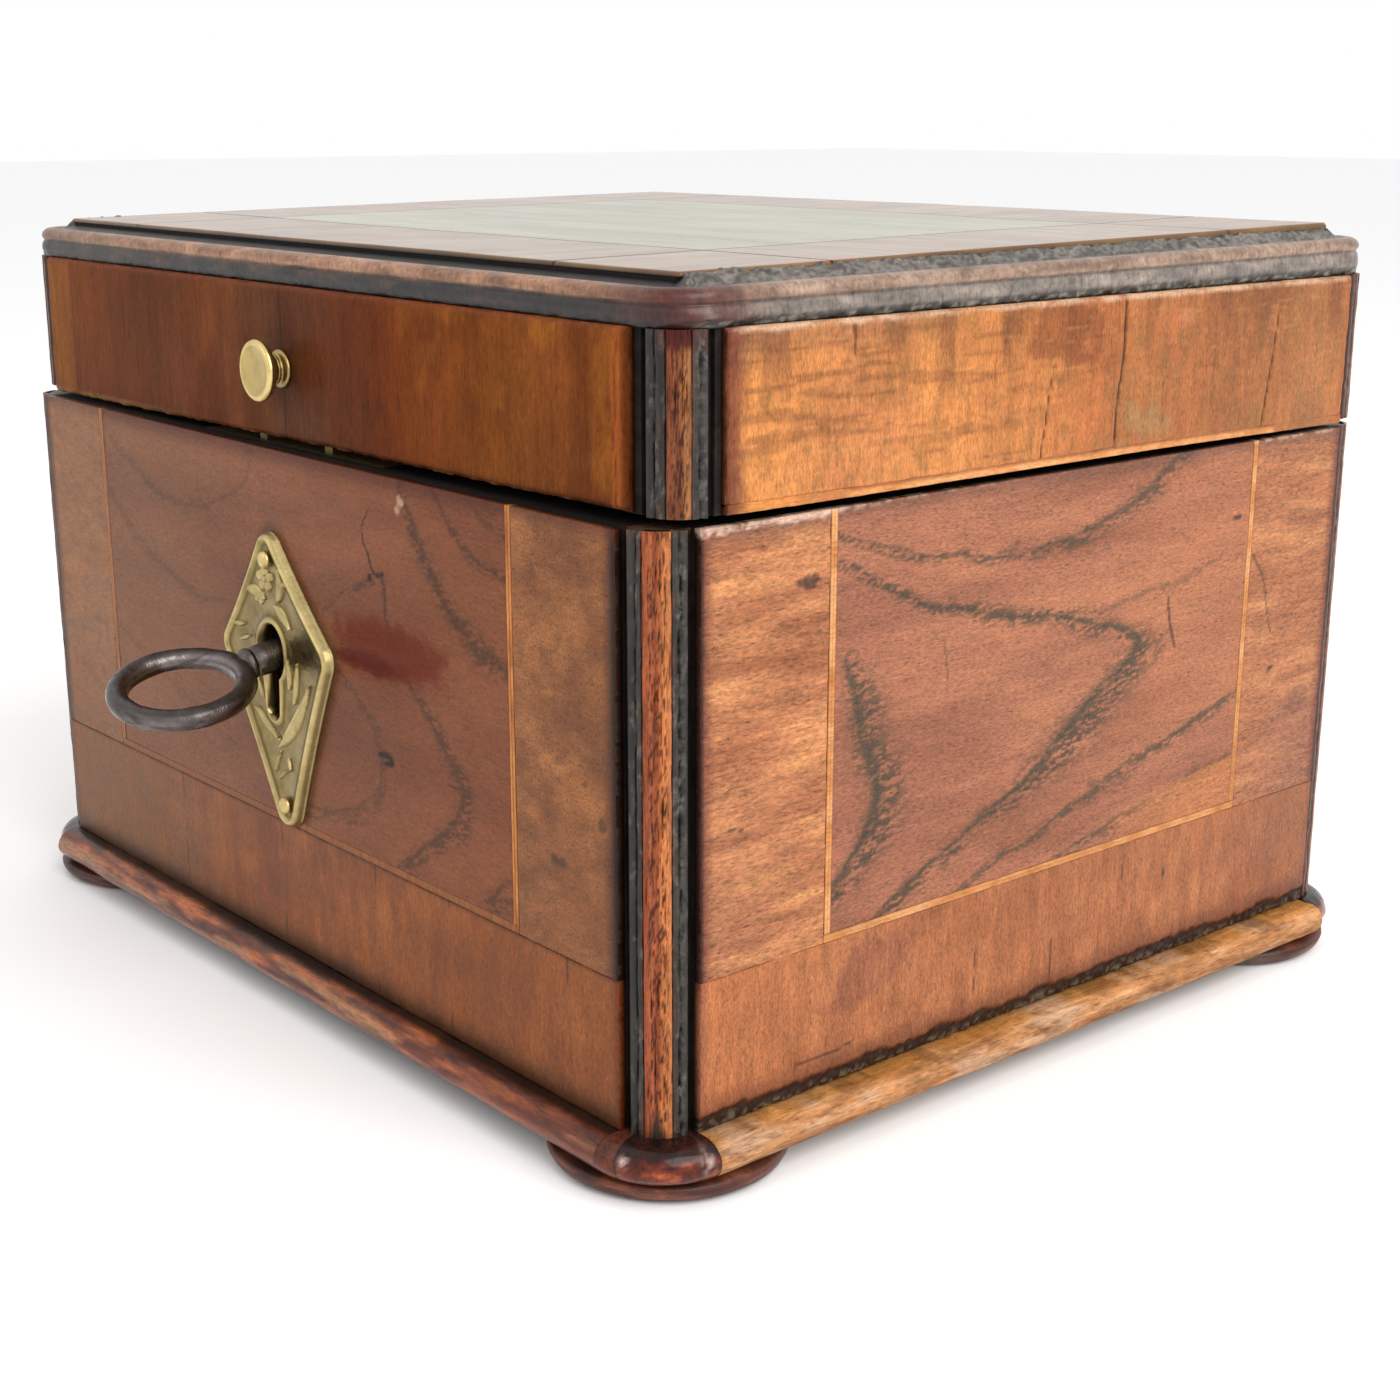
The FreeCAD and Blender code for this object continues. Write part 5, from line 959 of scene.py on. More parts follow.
def lid_side_paint(u, v):
    g = G_LIDS
    along = ramp(u, [(-75, P(236, 158, 94, g)), (-64, P(226, 150, 90, g)), (-52, P(212, 138, 90, g)), (-40, P(214, 140, 90, g)), (-33, P(226, 150, 92, g)), (-22, P(212, 138, 84, g)),
                     (-8, P(206, 132, 80, g)), (6, P(192, 116, 70, g)), (14, P(190, 120, 74, g)), (28, P(182, 112, 70, g)), (42, P(180, 112, 70, g)), (55, P(182, 116, 74, g)),
                     (66, P(182, 120, 80, g)), (76, P(188, 118, 76, g))])
    t = 0.45 * fbm(u / 1.3, v / 9, 201, 5) + 0.55 * fbm(u / 8, v / 7, 202, 4)
    c = along * (0.60 + 0.80 * t)[..., None]
    c = mixc(c, P(150, 112, 66, g), sm(0.5, 0.72, fbm(u / 2.0, v / 2.6, 214, 4)) * 0.4)
    # dark stains that come down from the top
    st = sm(0.42, 0.66, fbm(u / 5, v / 16, 203, 4)) * sm(112, 128, v + 5 * (fbm(u / 6, v / 9, 204) - 0.5))
    c = mixc(c, P(138, 84, 54, g), st * 0.75)
    c = mixc(c, P(150, 104, 92, g), sm(122, 129, v) * sm(-60, -76, u) * 0.75)
    c = mixc(c, P(134, 96, 76, g), sm(124, 129, v + 3 * (fbm(u / 7, v, 205) - 0.5)) * sm(-20, -40, u) * 0.5)
    c = mixc(c, P(128, 64, 36, g), blob(u, v, -3, 125, 14, 5, 206, 0.8) * 0.55)
    c = mixc(c, P(168, 142, 104, g), blob(u, v, 17, 109, 9, 3.5, 207, 0.8) * 0.45)
    c = mixc(c, P(150, 96, 58, g), blob(u, v, 40, 121, 12, 6, 208, 0.8) * 0.4)
    for pts, w in (([(12.3, 130, 0.26), (12.0, 124, 0.24), (11.6, 117, 0.3), (10.9, 112, 0.24), (10.4, 103.8, 0.24)], 0.95),
                   ([(53.8, 126, 0.12), (53, 119, 0.2), (52, 112, 0.24), (51, 105, 0.26)], 0.85),
                   ([(-5.2, 120, 0.08), (-6, 114, 0.18), (-7.6, 105, 0.2)], 0.85),
                   ([(22.6, 118, 0.15), (22.4, 108, 0.1)], 0.4), ([(36, 128, 0.12), (36.3, 110, 0.1)], 0.3), ([(44.2, 128, 0.1), (44, 106, 0.1)], 0.3),
                   ([(-49.4, 129.8, 0.7), (-49, 127.5, 0.5), (-49.2, 124.5, 0.2)], 0.7)):
        c = mixc(c, P(58, 32, 24, g), stroke(u, v, pts, 0.5, 209, 0.3) * w)
    # level scratches, light and dark
    for k in range(60):
        x = -72 + 140 * _hash(np.array(k), np.array(3), 5)
        y = 106 + 22 * _hash(np.array(k), np.array(7), 5)
        ln = 4 + 14 * _hash(np.array(k), np.array(9), 5)
        sl = (_hash(np.array(k), np.array(11), 5) - 0.55) * 0.3
        m = stroke(u, v, [(x, y, 0.1), (x + ln / 2, y + sl * ln / 2, 0.16), (x + ln, y + sl * ln, 0.08)], 0.6, k, 0.2)
        c = mixc(c, P(246, 190, 134, g) if k % 3 else P(112, 64, 38, g), m * (0.14 if k % 3 else 0.34))
    rub = sm(0.52, 0.66, fbm(u / 11, v / 1.1, 231, 4)) * sm(10, -30, u) * sm(108, 114, v)
    c = mixc(c, P(134, 82, 50, g), rub * 0.5)
    c = mixc(c, P(224, 152, 116, g), blob(u, v, 28, 125.6, 2.3, 1.8, 210, 0.5) * 0.5)
    # pale worn arris at the top; painted shade, dark maroon to black, along the edge by the near corner
    ar = sm(128.6, 129.4, v + 0.8 * (fbm(u / 4, v, 211) - 0.5))
    c = mixc(c, P(226, 186, 168, g), ar * (0.35 + 0.5 * sm(0.4, 0.6, fbm(u / 3, v / 2, 212))))
    c = mixc(c, P(120, 58, 46, g), sm(-68.8, -72.4, u + 1.6 * (fbm(u, v / 3, 216) - 0.5)) * 0.85)
    c = mixc(c, P(40, 18, 16, g), sm(-72.6, -74.0, u) * 0.85)
    c = mixc(c, P(176, 98, 56, g), sm(72.5, 75, u) * 0.5)
    return c, ar * sm(0.45, 0.65, fbm(u / 1.2, v, 213)) * 0.3


def lid_side_bump(u, v):
    g = (fbm(u / 24, v / 24, 221, 3) - 0.5) * 0.22
    for pts in ([(12.3, 130, 0.4), (12.0, 124, 0.4), (11.6, 117, 0.45), (10.9, 112, 0.4), (10.4, 103.8, 0.4)], [(53.8, 126, 0.3), (53, 119, 0.35), (52, 112, 0.4), (51, 105, 0.4)],
                [(-5.2, 120, 0.2), (-6, 114, 0.3), (-7.6, 105, 0.35)], [(-49.4, 129.8, 0.9), (-49, 127.5, 0.6), (-49.2, 124.5, 0.2)]):
        g = g - stroke(u, v, pts, 0.9, 209, 0.3) * 0.3
    return g


def lid_low_front(u, v):
    """The lid veneer's lower edge drops toward the left."""
    k = np.clip((L1 - v) / (L1 - L0), 0, 1) ** 2
    return u, v - k * (0.75 * sm(30, -95, u) - 0.35 * sm(60, 90, u))


def lid_low_side(u, v):
    k = np.clip((L1 - v) / (L1 - L0), 0, 1) ** 2
    return u, v - k * (0.35 * sm(20, 75, u) - 0.15 * sm(-50, -75, u))


mk = Maker()
kn = mm("lid_knob")
KNX, KNZ = (kn[0][0] + kn[1][0]) / 2, (kn[0][2] + kn[1][2]) / 2
slab(mk, **LF, u0=LIDF[0][0] + 0.9, u1=LIDF[1][0] - 1.5, v0=L0, v1=L1, thick=1.55, step=0.5, edge=0.9, paint=lid_front_paint, bump=gentle(222, 0.22, 26), warp=lid_low_front, ragged=0.4, seed=21)
mk.build("lid_front_veneer_sheet", "lid", ["lid_front_veneer"], "lid_veneer", M_LIDF)
LINE_T = mm("lid_edge_stringing")[1][2]


def lid_line(u, v):
    g = G_SIDE
    t = fbm(u / 5, v / 2, 231)
    c = ramp(t, [(0.25, P(214, 146, 84, g)), (0.5, P(232, 166, 106, g)), (0.8, P(244, 188, 130, g))])
    c = mixc(c, P(150, 84, 54, g), np.maximum(sm(LINE_T - 0.2, LINE_T, v), sm(L0 + 0.15, L0, v)) * 0.7)
    out = np.maximum(sm(-50, -51.5, u), sm(54, 55.5, u))
    c = mixc(c, lid_side_paint(u, v + 1.0)[0], out)
    return c, None


def lid_sides(face, tag, sgn):
    pick = (lambda f: f) if sgn > 0 else (lambda f: (lambda u, v: f(-u, v)))
    a, b = (LIDS[0][1] + 1.2, LIDS[1][1] - 0.2) if sgn > 0 else (-LIDS[1][1] + 0.2, -LIDS[0][1] - 1.2)
    wp = (lambda u, v: lid_low_side(u, v)) if sgn > 0 else None
    mk = Maker()
    slab(mk, **face, u0=a, u1=b, v0=LINE_T, v1=L1, thick=1.55, step=0.42, edge=0.7, paint=pick(lid_side_paint), bump=pick(lid_side_bump), warp=wp, ragged=0.5, seed=23)
    mk.build("lid_side_veneer_" + tag, "lid", ["lid_side_veneers"], "lid_veneer", M_LIDS)
    mk = Maker()
    slab(mk, **face, u0=a, u1=b, v0=L0, v1=LINE_T + 0.35, thick=1.5, step=0.25, edge=0.2, paint=pick(lid_line), warp=wp, bump=lambda u, v: u * 0 - 0.04, ragged=0.6, seed=24)
    mk.build("lid_edge_line_" + tag, "lid", ["lid_edge_stringing"], "boxwood", M_BOXH)


lid_sides(LR, "right", 1)
lid_sides(LL, "left", -1)


# backs
def back_paint(u, v):
    g = 1.0
    t = fbm(u / 40, v / 3.0, 241, 5)
    c = ramp(t, [(0.22, P(70, 42, 28, g)), (0.5, P(98, 62, 42, g)), (0.8, P(128, 86, 60, g))])
    c = mixc(c, P(60, 40, 34, g), sm(14, 10, v) * 0.6)
    c = mixc(c, P(52, 30, 22, g), sm(0.55, 0.72, fbm(u / 22, v / 16, 242)) * 0.4)
    return c, None


mk = Maker()
hl = mm("hinge_lower_leaves")
hu = mm("hinge_upper_leaves")
HINGE_X = [-62.0, 62.0]


def in_leaf(u, v):
    return (np.abs(np.abs(u) - 62.0) < 17.25) & (v > hl[0][2] + 0.0) & (v > Z1 - 1.45)


slab(mk, **BACKF, u0=-RUN_X, u1=RUN_X, v0=Z0, v1=Z1, thick=1.55, step=0.7, edge=0.25, paint=back_paint, bump=gentle(243, 0.15), hole=in_leaf)
mk.build("back_veneer_sheet", "case", ["back_veneer"], "plain_veneer", M_BACK)
mk = Maker()
slab(mk, **LB, u0=-LIDB[1][0], u1=-LIDB[0][0], v0=L0, v1=L1, thick=1.55, step=0.6, edge=0.4, paint=back_paint, bump=gentle(244, 0.15),
     hole=lambda u, v: (np.abs(np.abs(u) - 62.0) < 17.25) & (v < L0 + 1.45))
mk.build("lid_back_veneer_sheet", "lid", ["lid_back_veneer"], "plain_veneer", M_BACK)


# ---------------------------------------------------------------- corner posts
def post_profile(hx, hy, back=1.0, r=6.4, deep=2.4, corner=8.8):
    """Visible section of a post, front to side, with the strip's sector."""
    ox, oy = hx - back - r, -(hy - back - r)
    pts = [(hx - corner, -(hy - corner), 0), (hx - corner, -(hy - deep), 0), (ox - 0.7, -(hy - deep), 0), (ox - 0.25, -(hy - deep) - 0.25, 0)]
    pts += [(ox - 0.1, -(hy - back) + 0.6, 1), (ox + 0.15, -(hy - back) + 0.12, 1)]
    for k in range(41):
        a = math.radians(-87 + 84 * k / 40)
        pts.append((ox + r * math.cos(a), oy + r * math.sin(a), 2 + (a * 180 / math.pi + 90) / 90))
    pts += [(hx - back - 0.12, oy - 0.15, 4), (hx - back - 0.6, oy + 0.1, 4), (hx - deep + 0.25, oy + 0.25, 4), (hx - deep, oy + 0.7, 5), (hx - deep, -(hy - corner), 5)]
    return np.array(pts), (ox, oy)


def build_posts(name, strip_name, body, nodes, strip_nodes, hx, hy, cx, cy, z0, z1, lid=False):
    prof, (ox, oy) = post_profile(hx, hy)
    mk, ms = Maker(), Maker()
    nz = int((z1 - z0) / 0.55)
    zs = np.linspace(z0, z1, nz + 1)
    for ci, (sx, sy) in enumerate(((1, 1), (-1, 1), (1, -1), (-1, -1))):
        par = prof[:, 2]
        x = np.broadcast_to(prof[:, 0], (nz + 1, len(prof))).copy()
        y = np.broadcast_to(prof[:, 1], (nz + 1, len(prof))).copy()
        z = np.broadcast_to(zs[:, None], x.shape)
        ang = np.degrees(np.arctan2(y - oy, x - ox))
        onarc = (par >= 2) & (par <= 3.01)
        rad = np.hypot(x - ox, y - oy)
        A = np.where(onarc, ang, 0)
        # a crack runs down each fillet, and the strip's seat is a hair lower
        crack1 = np.exp(-((A + 76 + 5 * (fbm(z / 4, z * 0 + ci, 301) - 0.5)) / 2.2) ** 2) * onarc
        crack2 = np.exp(-((A + 13 + 6 * (fbm(z / 3, z * 0 + ci, 302) - 0.5)) / 2.4) ** 2) * onarc
        bev = np.where(onarc, 1.0, 0.0)
        dr = -crack1 * 0.55 - crack2 * 0.55 * (0.5 + fbm(z / 1.6, z * 0 + ci, 303)) + (fbm(z / 3, A / 14, 304 + ci) - 0.5) * 0.22 * bev
        seat = onarc & (A > (-59 if lid else -66)) & (A < -24)
        dr = np.where(seat, -0.5, dr)
        with np.errstate(divide="ignore", invalid="ignore"):
            ux, uy = (x - ox) / np.maximum(rad, 1e-6), (y - oy) / np.maximum(rad, 1e-6)
        x = x + ux * dr * bev
        y = y + uy * dr * bev
        g = (G_FRONT + G_SIDE) / 2
        t = fbm(z / 9, A / 10, 311 + ci)
        c = ramp(t, [(0.25, P(30, 29, 30, g)), (0.55, P(44, 43, 43, g)), (0.8, P(60, 56, 54, g))])
        c = mixc(c, P(14, 13, 13, g), np.maximum(crack1, crack2) * 0.95)
        c = mixc(c, P(20, 18, 18, g), np.where(onarc, 0, 0.85))
        edge = np.exp(-((A + 67) / 2.0) ** 2) + np.exp(-((A + 23) / 2.0) ** 2)
        c = mixc(c, P(112, 66, 48, g), edge * onarc * 0.5 * sm(0.45, 0.6, fbm(z / 4, A / 5, 312 + ci)))
        if lid:
            c = mixc(c, P(66, 24, 18, g), sm(z1 - 4.2, z1 - 1.2, z + 1.5 * (fbm(A / 9, z / 3, 313) - 0.5)) * sm(-82, -60, A) * onarc * 0.9)
        else:
            c = mixc(c, P(120, 84, 70, g), sm(z1 - 1.2, z1, z) * sm(0.4, 0.6, fbm(A / 6, z, 314)) * 0.5)
        if ci:
            c = mixc(c, P(112, 70, 54, g), (0.35 + 0.4 * fbm(z / 7, A / 12, 316 + ci)) * np.ones(c.shape[:2]))
        wear = (sm(0.55, 0.7, fbm(z / 2.2, A / 6, 315 + ci)) * 0.35 + np.exp(-((A + 12) / 5.0) ** 2) * 0.25) * onarc
        R = np.stack([cx + sx * x, cy + sy * y, z], -1)
        flip = sx * sy < 0
        tube(mk, R, c, wear, mirror=flip)
        # the inlaid strip: a thin curved slip
        k = 26
        a_in = -58.0 if lid else -65.0
        a = np.radians(np.linspace(a_in, -25.0, k))
        zz = np.linspace(z0, z1, int((z1 - z0) / 0.5) + 1)
        AA, ZZ = np.meshgrid(a, zz)
        deg = np.degrees(AA)
        r0 = 6.42 + (fbm(deg / 3, ZZ / 5, 321 + ci, 4) - 0.5) * 0.3 - np.exp(-((deg - a_in) / 1.2) ** 2) * 0.25 - np.exp(-((deg + 25) / 1.2) ** 2) * 0.25
        r0 = r0 - sm(0.62, 0.74, fbm(deg / 1.6, ZZ / 6, 331 + ci, 3)) * 0.28
        r1 = np.full(AA.shape, 5.0)
        outer = np.stack([cx + sx * (ox + r0 * np.cos(AA)), cy + sy * (oy + r0 * np.sin(AA)), ZZ], -1)
        inner = np.stack([cx + sx * (ox + r1 * np.cos(AA)), cy + sy * (oy + r1 * np.sin(AA)), ZZ], -1)
        R = np.concatenate([outer, inner[:, ::-1]], 1)
        g = (G_FRONT + G_SIDE) / 2
        q = (deg - a_in) / (-25.0 - a_in)
        c = ramp(q + 0.25 * (fbm(deg / 4, ZZ / 8, 341 + ci) - 0.5), [(0.0, P(158, 88, 62, g)), (0.3, P(178, 106, 74, g)), (0.5, P(140, 76, 48, g)), (0.72, P(208, 138, 88, g)), (1.0, P(200, 138, 100, g))])
        dash = sm(0.52, 0.62, fbm(deg / 1.5, ZZ / 1.1, 351 + ci, 3)) * sm(0.1, 0.3, q) * sm(1.0, 0.75, q)
        c = mixc(c, P(62, 24, 12, g), dash * 0.85)
        if not lid:
            low = sm(7.5, 1.5, ZZ - z0 + 14 * np.abs(q - 0.45))
            c = mixc(c, P(52, 46, 44, g), low)
        else:
            c = c * np.array([0.62, 0.72, 0.75])
            c = mixc(c, P(78, 26, 18, g), sm(z1 - 3.6, z1 - 1.8, ZZ + 1.4 * (fbm(deg / 5, ZZ / 2, 352) - 0.5)))
        cc = np.concatenate([c, c[:, ::-1] * 0.5], 1)
        tube(ms, R, cc, np.zeros(cc.shape[:2]), mirror=flip)
    mk.build(name, body, nodes, "ebonised", M_EBON, 50)
    ms.build(strip_name, body, strip_nodes, "banding", M_STRIP, 50)


build_posts("case_posts", "case_post_strips", "case", ["corner_posts"], ["corner_bandings"], HX, HY, 0, 0, Z0, Z1)
build_posts("lid_posts", "lid_post_strips", "lid", ["lid_corner_posts"], ["lid_corner_bandings"], LHX, LHY, LCX, LCY, L0, L1, lid=True)


# -------------------------------------------------------------------- cornice
def ring_path(hx, hy, R, step):
    """Points (corner centre or edge foot, outward normal) round a rectangle."""
    out = []
    segs = [((-(hx - R), -(hy - R)), (hx - R, -(hy - R)), -90), ((hx - R, -(hy - R)), (hx - R, hy - R), 0),
            ((hx - R, hy - R), (-(hx - R), hy - R), 90), ((-(hx - R), hy - R), (-(hx - R), -(hy - R)), 180)]
    for (a, b, ang) in segs:
        L = math.hypot(b[0] - a[0], b[1] - a[1])
        n = max(2, int(L / step))
        nx, ny = math.cos(math.radians(ang)), math.sin(math.radians(ang))
        for k in range(n):
            t = k / n
            out.append((a[0] + (b[0] - a[0]) * t, a[1] + (b[1] - a[1]) * t, nx, ny))
        for k in range(14):
            q = math.radians(ang + 90 * k / 14)
            out.append((b[0], b[1], math.cos(q), math.sin(q)))
    return np.array(out)


def lift(x, y):
    """The old lid has risen a little toward its back edge."""
    return 1.85 * np.clip((y - (LCY - LHY)) / (2 * LHY), 0, 1)


TR = 8.9
path = ring_path(LHX, LHY, TR, 0.7)
pr = [(7.6, 129.75), (1.3, 129.75), (1.0, 129.9), (0.85, 130.6), (0.75, 131.4), (0.85, 132.2), (1.15, 132.75), (1.35, 132.95), (1.05, 133.25), (0.85, 133.7), (0.95, 134.3),
      (1.4, 134.85), (2.1, 135.2), (2.9, 135.3), (3.5, 135.2), (3.9, 135.0), (4.3, 134.95), (5.2, 135.2), (6.2, 135.5), (7.0, 135.8), (7.6, 136.0)]
prf = chaikin(pr[1:], 1)
prf = [pr[0]] + prf
prof = np.array(prf)
n, k = len(path), len(prof)
ins = np.broadcast_to(prof[:, 0], (n, k)).copy()
zz = np.broadcast_to(prof[:, 1], (n, k)).copy()
foot_x, foot_y, nx, ny = (np.broadcast_to(path[:, i][:, None], (n, k)) for i in range(4))
s_len = np.cumsum(np.hypot(*(np.diff(np.vstack([path[:1], path])[:, :2], axis=0).T))) + np.cumsum(np.r_[0, np.hypot(*np.diff(path[:, 2:], axis=0).T)]) * TR
S = np.broadcast_to(s_len[:, None], (n, k))
front_w = sm(0.4, 0.9, -ny)
# top of the section: crumbled fillet that climbs to the panel on the sides and
# the back, and an open dark gap on the front
top_zone = sm(4.0, 5.0, ins) * (zz > 134.5)
zz = zz + top_zone * (1 - front_w) * (0.85 + 1.3 * (fbm(S / 1.0, ins / 0.5, 401, 4) - 0.5)) * sm(4.2, 6.8, ins)
zz = zz + top_zone * front_w * -0.25
low_zone = (zz < 131.2) & (ins < 3)
ins = ins + np.where(low_zone, (fbm(S / 1.1, zz / 0.6, 402, 4) - 0.3) * 1.0 * (1 - 0.6 * front_w), 0)
ins = ins + np.where((ins < 4) & (zz > 131.2), (fbm(S / 9, zz / 2, 403, 4) - 0.5) * 0.35, 0)
zz = zz + lift(foot_x + LCX, foot_y + LCY + ny * TR) * 0.55 * sm(130.0, 133.0, zz)
X = LCX + foot_x + nx * (TR - ins)
Y = LCY + foot_y + ny * (TR - ins)
R = np.stack([X, Y, zz], -1)
side_w = np.clip(nx, 0, 1)
t = fbm(S / 6, prof[:, 1][None, :] / 1.2, 411, 4)
zr = np.broadcast_to(prof[:, 1], (n, k))
bead_front = ramp(t, [(0.25, lin((112, 84, 66))), (0.5, lin((140, 108, 88))), (0.8, lin((164, 132, 110)))])
bead_side = ramp(t, [(0.25, lin((140, 110, 94))), (0.5, lin((168, 136, 118))), (0.8, lin((188, 158, 140)))])
dark_f = ramp(t, [(0.25, lin((18, 16, 15))), (0.6, lin((34, 29, 26))), (0.85, lin((74, 50, 34)))])
# on the sides the black strip is painted grey: a painted reflection on the glossy finish; dark_f is its own colour on
# the front
dark_side_painted_reflection = ramp(t, [(0.25, lin((92, 92, 88))), (0.6, lin((124, 121, 113))), (0.85, lin((150, 146, 136)))])
bead = bead_side * (1 - front_w)[..., None] + bead_front * front_w[..., None]
# the front keeps the black strip, the sides take the painted reflection
dark = dark_side_painted_reflection * (1 - front_w)[..., None] + dark_f * front_w[..., None]
w = sm(132.6, 133.4, zr + 0.5 * (fbm(S / 7, zr, 412) - 0.5)) * sm(4.2, 3.6, prof[:, 0][None, :])
bead = bead * (np.array([1.0, 0.82, 0.65]) * front_w[..., None] + np.array([0.6, 0.6, 0.57]) * (1 - front_w[..., None]))
dark = dark * np.array([0.95, 0.8, 0.78])
c = dark * (1 - w)[..., None] + bead * w[..., None]
# black seam under the bead and at the very bottom, crumbs in the top fillet
c = mixc(c, lin((26, 22, 20)), np.exp(-((zr - 132.95) / 0.22) ** 2) * 0.55)
chips = fbm(S / 1.1, zr / 0.5, 416, 4)
c = mixc(c, lin((24, 21, 20)), sm(131.3, 130.6, zr + 0.7 * (chips - 0.5)) * 0.92)
c = mixc(c, lin((118, 112, 98)), sm(131.0, 130.4, zr) * sm(0.58, 0.66, chips) * (1 - front_w) * 0.8)
c = mixc(c, lin((14, 12, 12)), sm(130.2, 129.8, zr) * 0.9)
topz = sm(3.7, 4.3, prof[:, 0][None, :]) * (zr > 134)
crumb = sm(0.46, 0.54, fbm(S / 1.0, ins / 0.45, 414, 4))
c = mixc(c, lin((92, 89, 82)), topz * (1 - crumb) * (1 - front_w) * 0.6)
c = mixc(c, lin((16, 15, 15)), topz * (crumb * 0.72 * (1 - front_w) + 0.93 * front_w))
# the near corner is stained dark red
corner = np.clip(nx, 0, 1) * np.clip(-ny, 0, 1) * 2
c = mixc(c, lin((74, 26, 20)), sm(0.3, 0.85, corner + 0.25 * (fbm(S / 2, zr, 417, 3) - 0.5)) * sm(4.2, 3.4, prof[:, 0][None, :]) * (zr > 131) * 0.85)
c = mixc(c, lin((58, 22, 17)), sm(0.45, 0.9, corner) * (zr < 133) * 0.85)
# painted highlight: a pale grey streak on the dark strip where the near corner turns to the side
c = mixc(c, lin((168, 162, 156)), np.exp(-((corner - 0.42) / 0.16) ** 2) * (nx > 0.75) * (zr < 132.9) * (zr > 131) * 0.6)
# the stain runs on along both strips for a little way past the near corner
away = np.hypot(X - (LCX + LHX - 3), Y - (LCY - LHY + 3))
c = mixc(c, lin((70, 27, 20)), sm(19, 7, away + 5 * (fbm(S / 4, zr, 418, 3) - 0.5)) * (zr > 130.6) * sm(4.2, 3.4, prof[:, 0][None, :]) * 0.78)
c = mixc(c, lin((34, 27, 25)), front_w * sm(30, 85, X) * (zr < 132.9) * 0.5)
# soot toward the left end of the front
c = mixc(c, lin((58, 48, 42)), front_w * sm(-40, -100, X) * 0.5)
wear = (sm(0.5, 0.65, fbm(S / 2, zr / 0.6, 415, 4)) * 0.3 * (1 - w)) * (1 - 0.95 * front_w) * (1 - sm(0.3, 0.7, corner))
mk = Maker()
tube(mk, R, c * 1.0, wear, close=True)
mk.build("cornice_mouldings", "lid", ["cornice"], "cornice", M_CORN, 60)


# ------------------------------------------------------------------- lid top
def top_h(x, y):
    return lift(x, y) + (fbm(x / 45, y / 45, 421, 3) - 0.5) * 0.35 - 0.25


TOPF = dict(origin=(0, 0, PANZ1), U=(1, 0, 0), V=(0, 1, 0), N=(0, 0, 1))


def top_field_paint(u, v):
    g = G_TOP
    t = fbm(u / 30, v / 10, 431, 5)
    c = ramp(t, [(0.25, P(150, 142, 112, g)), (0.5, P(164, 156, 126, g)), (0.78, P(178, 170, 142, g))])
    c = mixc(c, P(130, 118, 88, g), blob(u, v, -50, 30, 26, 14, 432, 0.7) * 0.3)
    for pts in ([(15, -12, 0.25), (24, -19, 0.25), (32, -24, 0.2)], [(30, -22, 0.2), (38, -28, 0.25), (42, -30, 0.2)], [(37, -10.5, 0.6), (45, -8.5, 0.7), (51, -6.5, 0.5)]):
        c = mixc(c, P(96, 88, 70, g), stroke(u, v, pts, 0.7, 433, 0.5) * 0.6)
    e = np.minimum(np.minimum(u - TF[0][0], TF[1][0] - u), np.minimum(v - TF[0][1], TF[1][1] - v))
    c = mixc(c, P(70, 56, 44, g), sm(0.5, 0.12, e) * 0.75)
    return c, None


def top_band_paint(u, v):
    g = G_TBAND
    t = fbm(u / 8, v / 8, 441, 5)
    c = ramp(t, [(0.25, P(158, 122, 98, g)), (0.5, P(174, 138, 112, g)), (0.78, P(190, 156, 130, g))])
    c = mixc(c, P(132, 104, 84, g), blob(u, v, -30, -52, 9, 10, 442, 0.6) * 0.4)
    c = mixc(c, P(120, 104, 84, g), blob(u, v, -2, -40, 16, 3, 443, 0.6) * 0.4)
    c = mixc(c, P(214, 120, 86, g), blob(u, v, 93.5, -47, 2.2, 7, 444, 0.6) * 0.8)
    c = mixc(c, P(200, 130, 96, g), blob(u, v, 94, -58, 1.6, 5, 445, 0.6) * 0.6)
    c = mixc(c, P(96, 60, 44, g), sm(1.3, 0.1, np.minimum(v - PAN[0][1], PAN[1][0] - u)) * 0.35)
    e = np.minimum(np.minimum(np.abs(u - TF[0][0]), np.abs(u - TF[1][0])), np.minimum(np.abs(v - TF[0][1]), np.abs(v - TF[1][1])))
    c = mixc(c, P(70, 48, 38, g), sm(0.45, 0.1, e) * 0.8)
    return c, None


def top_slab(mk, x0, x1, y0, y1, paint, step=1.0, edge=0.16, s=0):
    slab(mk, **TOPF, u0=x0, u1=x1, v0=y0, v1=y1, thick=PANZ1 - PANZ0 - 0.05, step=step, edge=edge, paint=paint, bump=top_h, seed=s)


mk = Maker()
top_slab(mk, TF[0][0], TF[1][0], TF[0][1], TF[1][1], top_field_paint)
mk.build("top_field_sheet", "lid", ["top_field"], "top_veneer", M_TOP)
mk = Maker()
j = 0.06
top_slab(mk, TF[0][0] + j, TF[1][0] - j, PAN[0][1], TF[0][1] - j, top_band_paint, edge=0.3)
top_slab(mk, TF[0][0] + j, TF[1][0] - j, TF[1][1] + j, PAN[1][1], top_band_paint, edge=0.3)
mk.build("top_bands_long", "lid", ["top_crossbanding"], "top_veneer", M_TOPC)
mk = Maker()
top_slab(mk, PAN[0][0], TF[0][0] - j, TF[0][1] + j, TF[1][1] - j, top_band_paint, edge=0.3)
top_slab(mk, TF[1][0] + j, PAN[1][0], TF[0][1] + j, TF[1][1] - j, top_band_paint, edge=0.3)
mk.build("top_bands_short", "lid", ["top_crossbanding"], "top_veneer", M_TOP)
mk = Maker()
for x0, x1 in ((PAN[0][0], TF[0][0] - j), (TF[1][0] + j, PAN[1][0])):
    for y0, y1 in ((PAN[0][1], TF[0][1] - j), (TF[1][1] + j, PAN[1][1])):
        top_slab(mk, x0, x1, y0, y1, top_band_paint, edge=0.45)
mk.build("top_corner_sheets", "lid", ["top_corner_squares"], "top_veneer", M_TOPC)

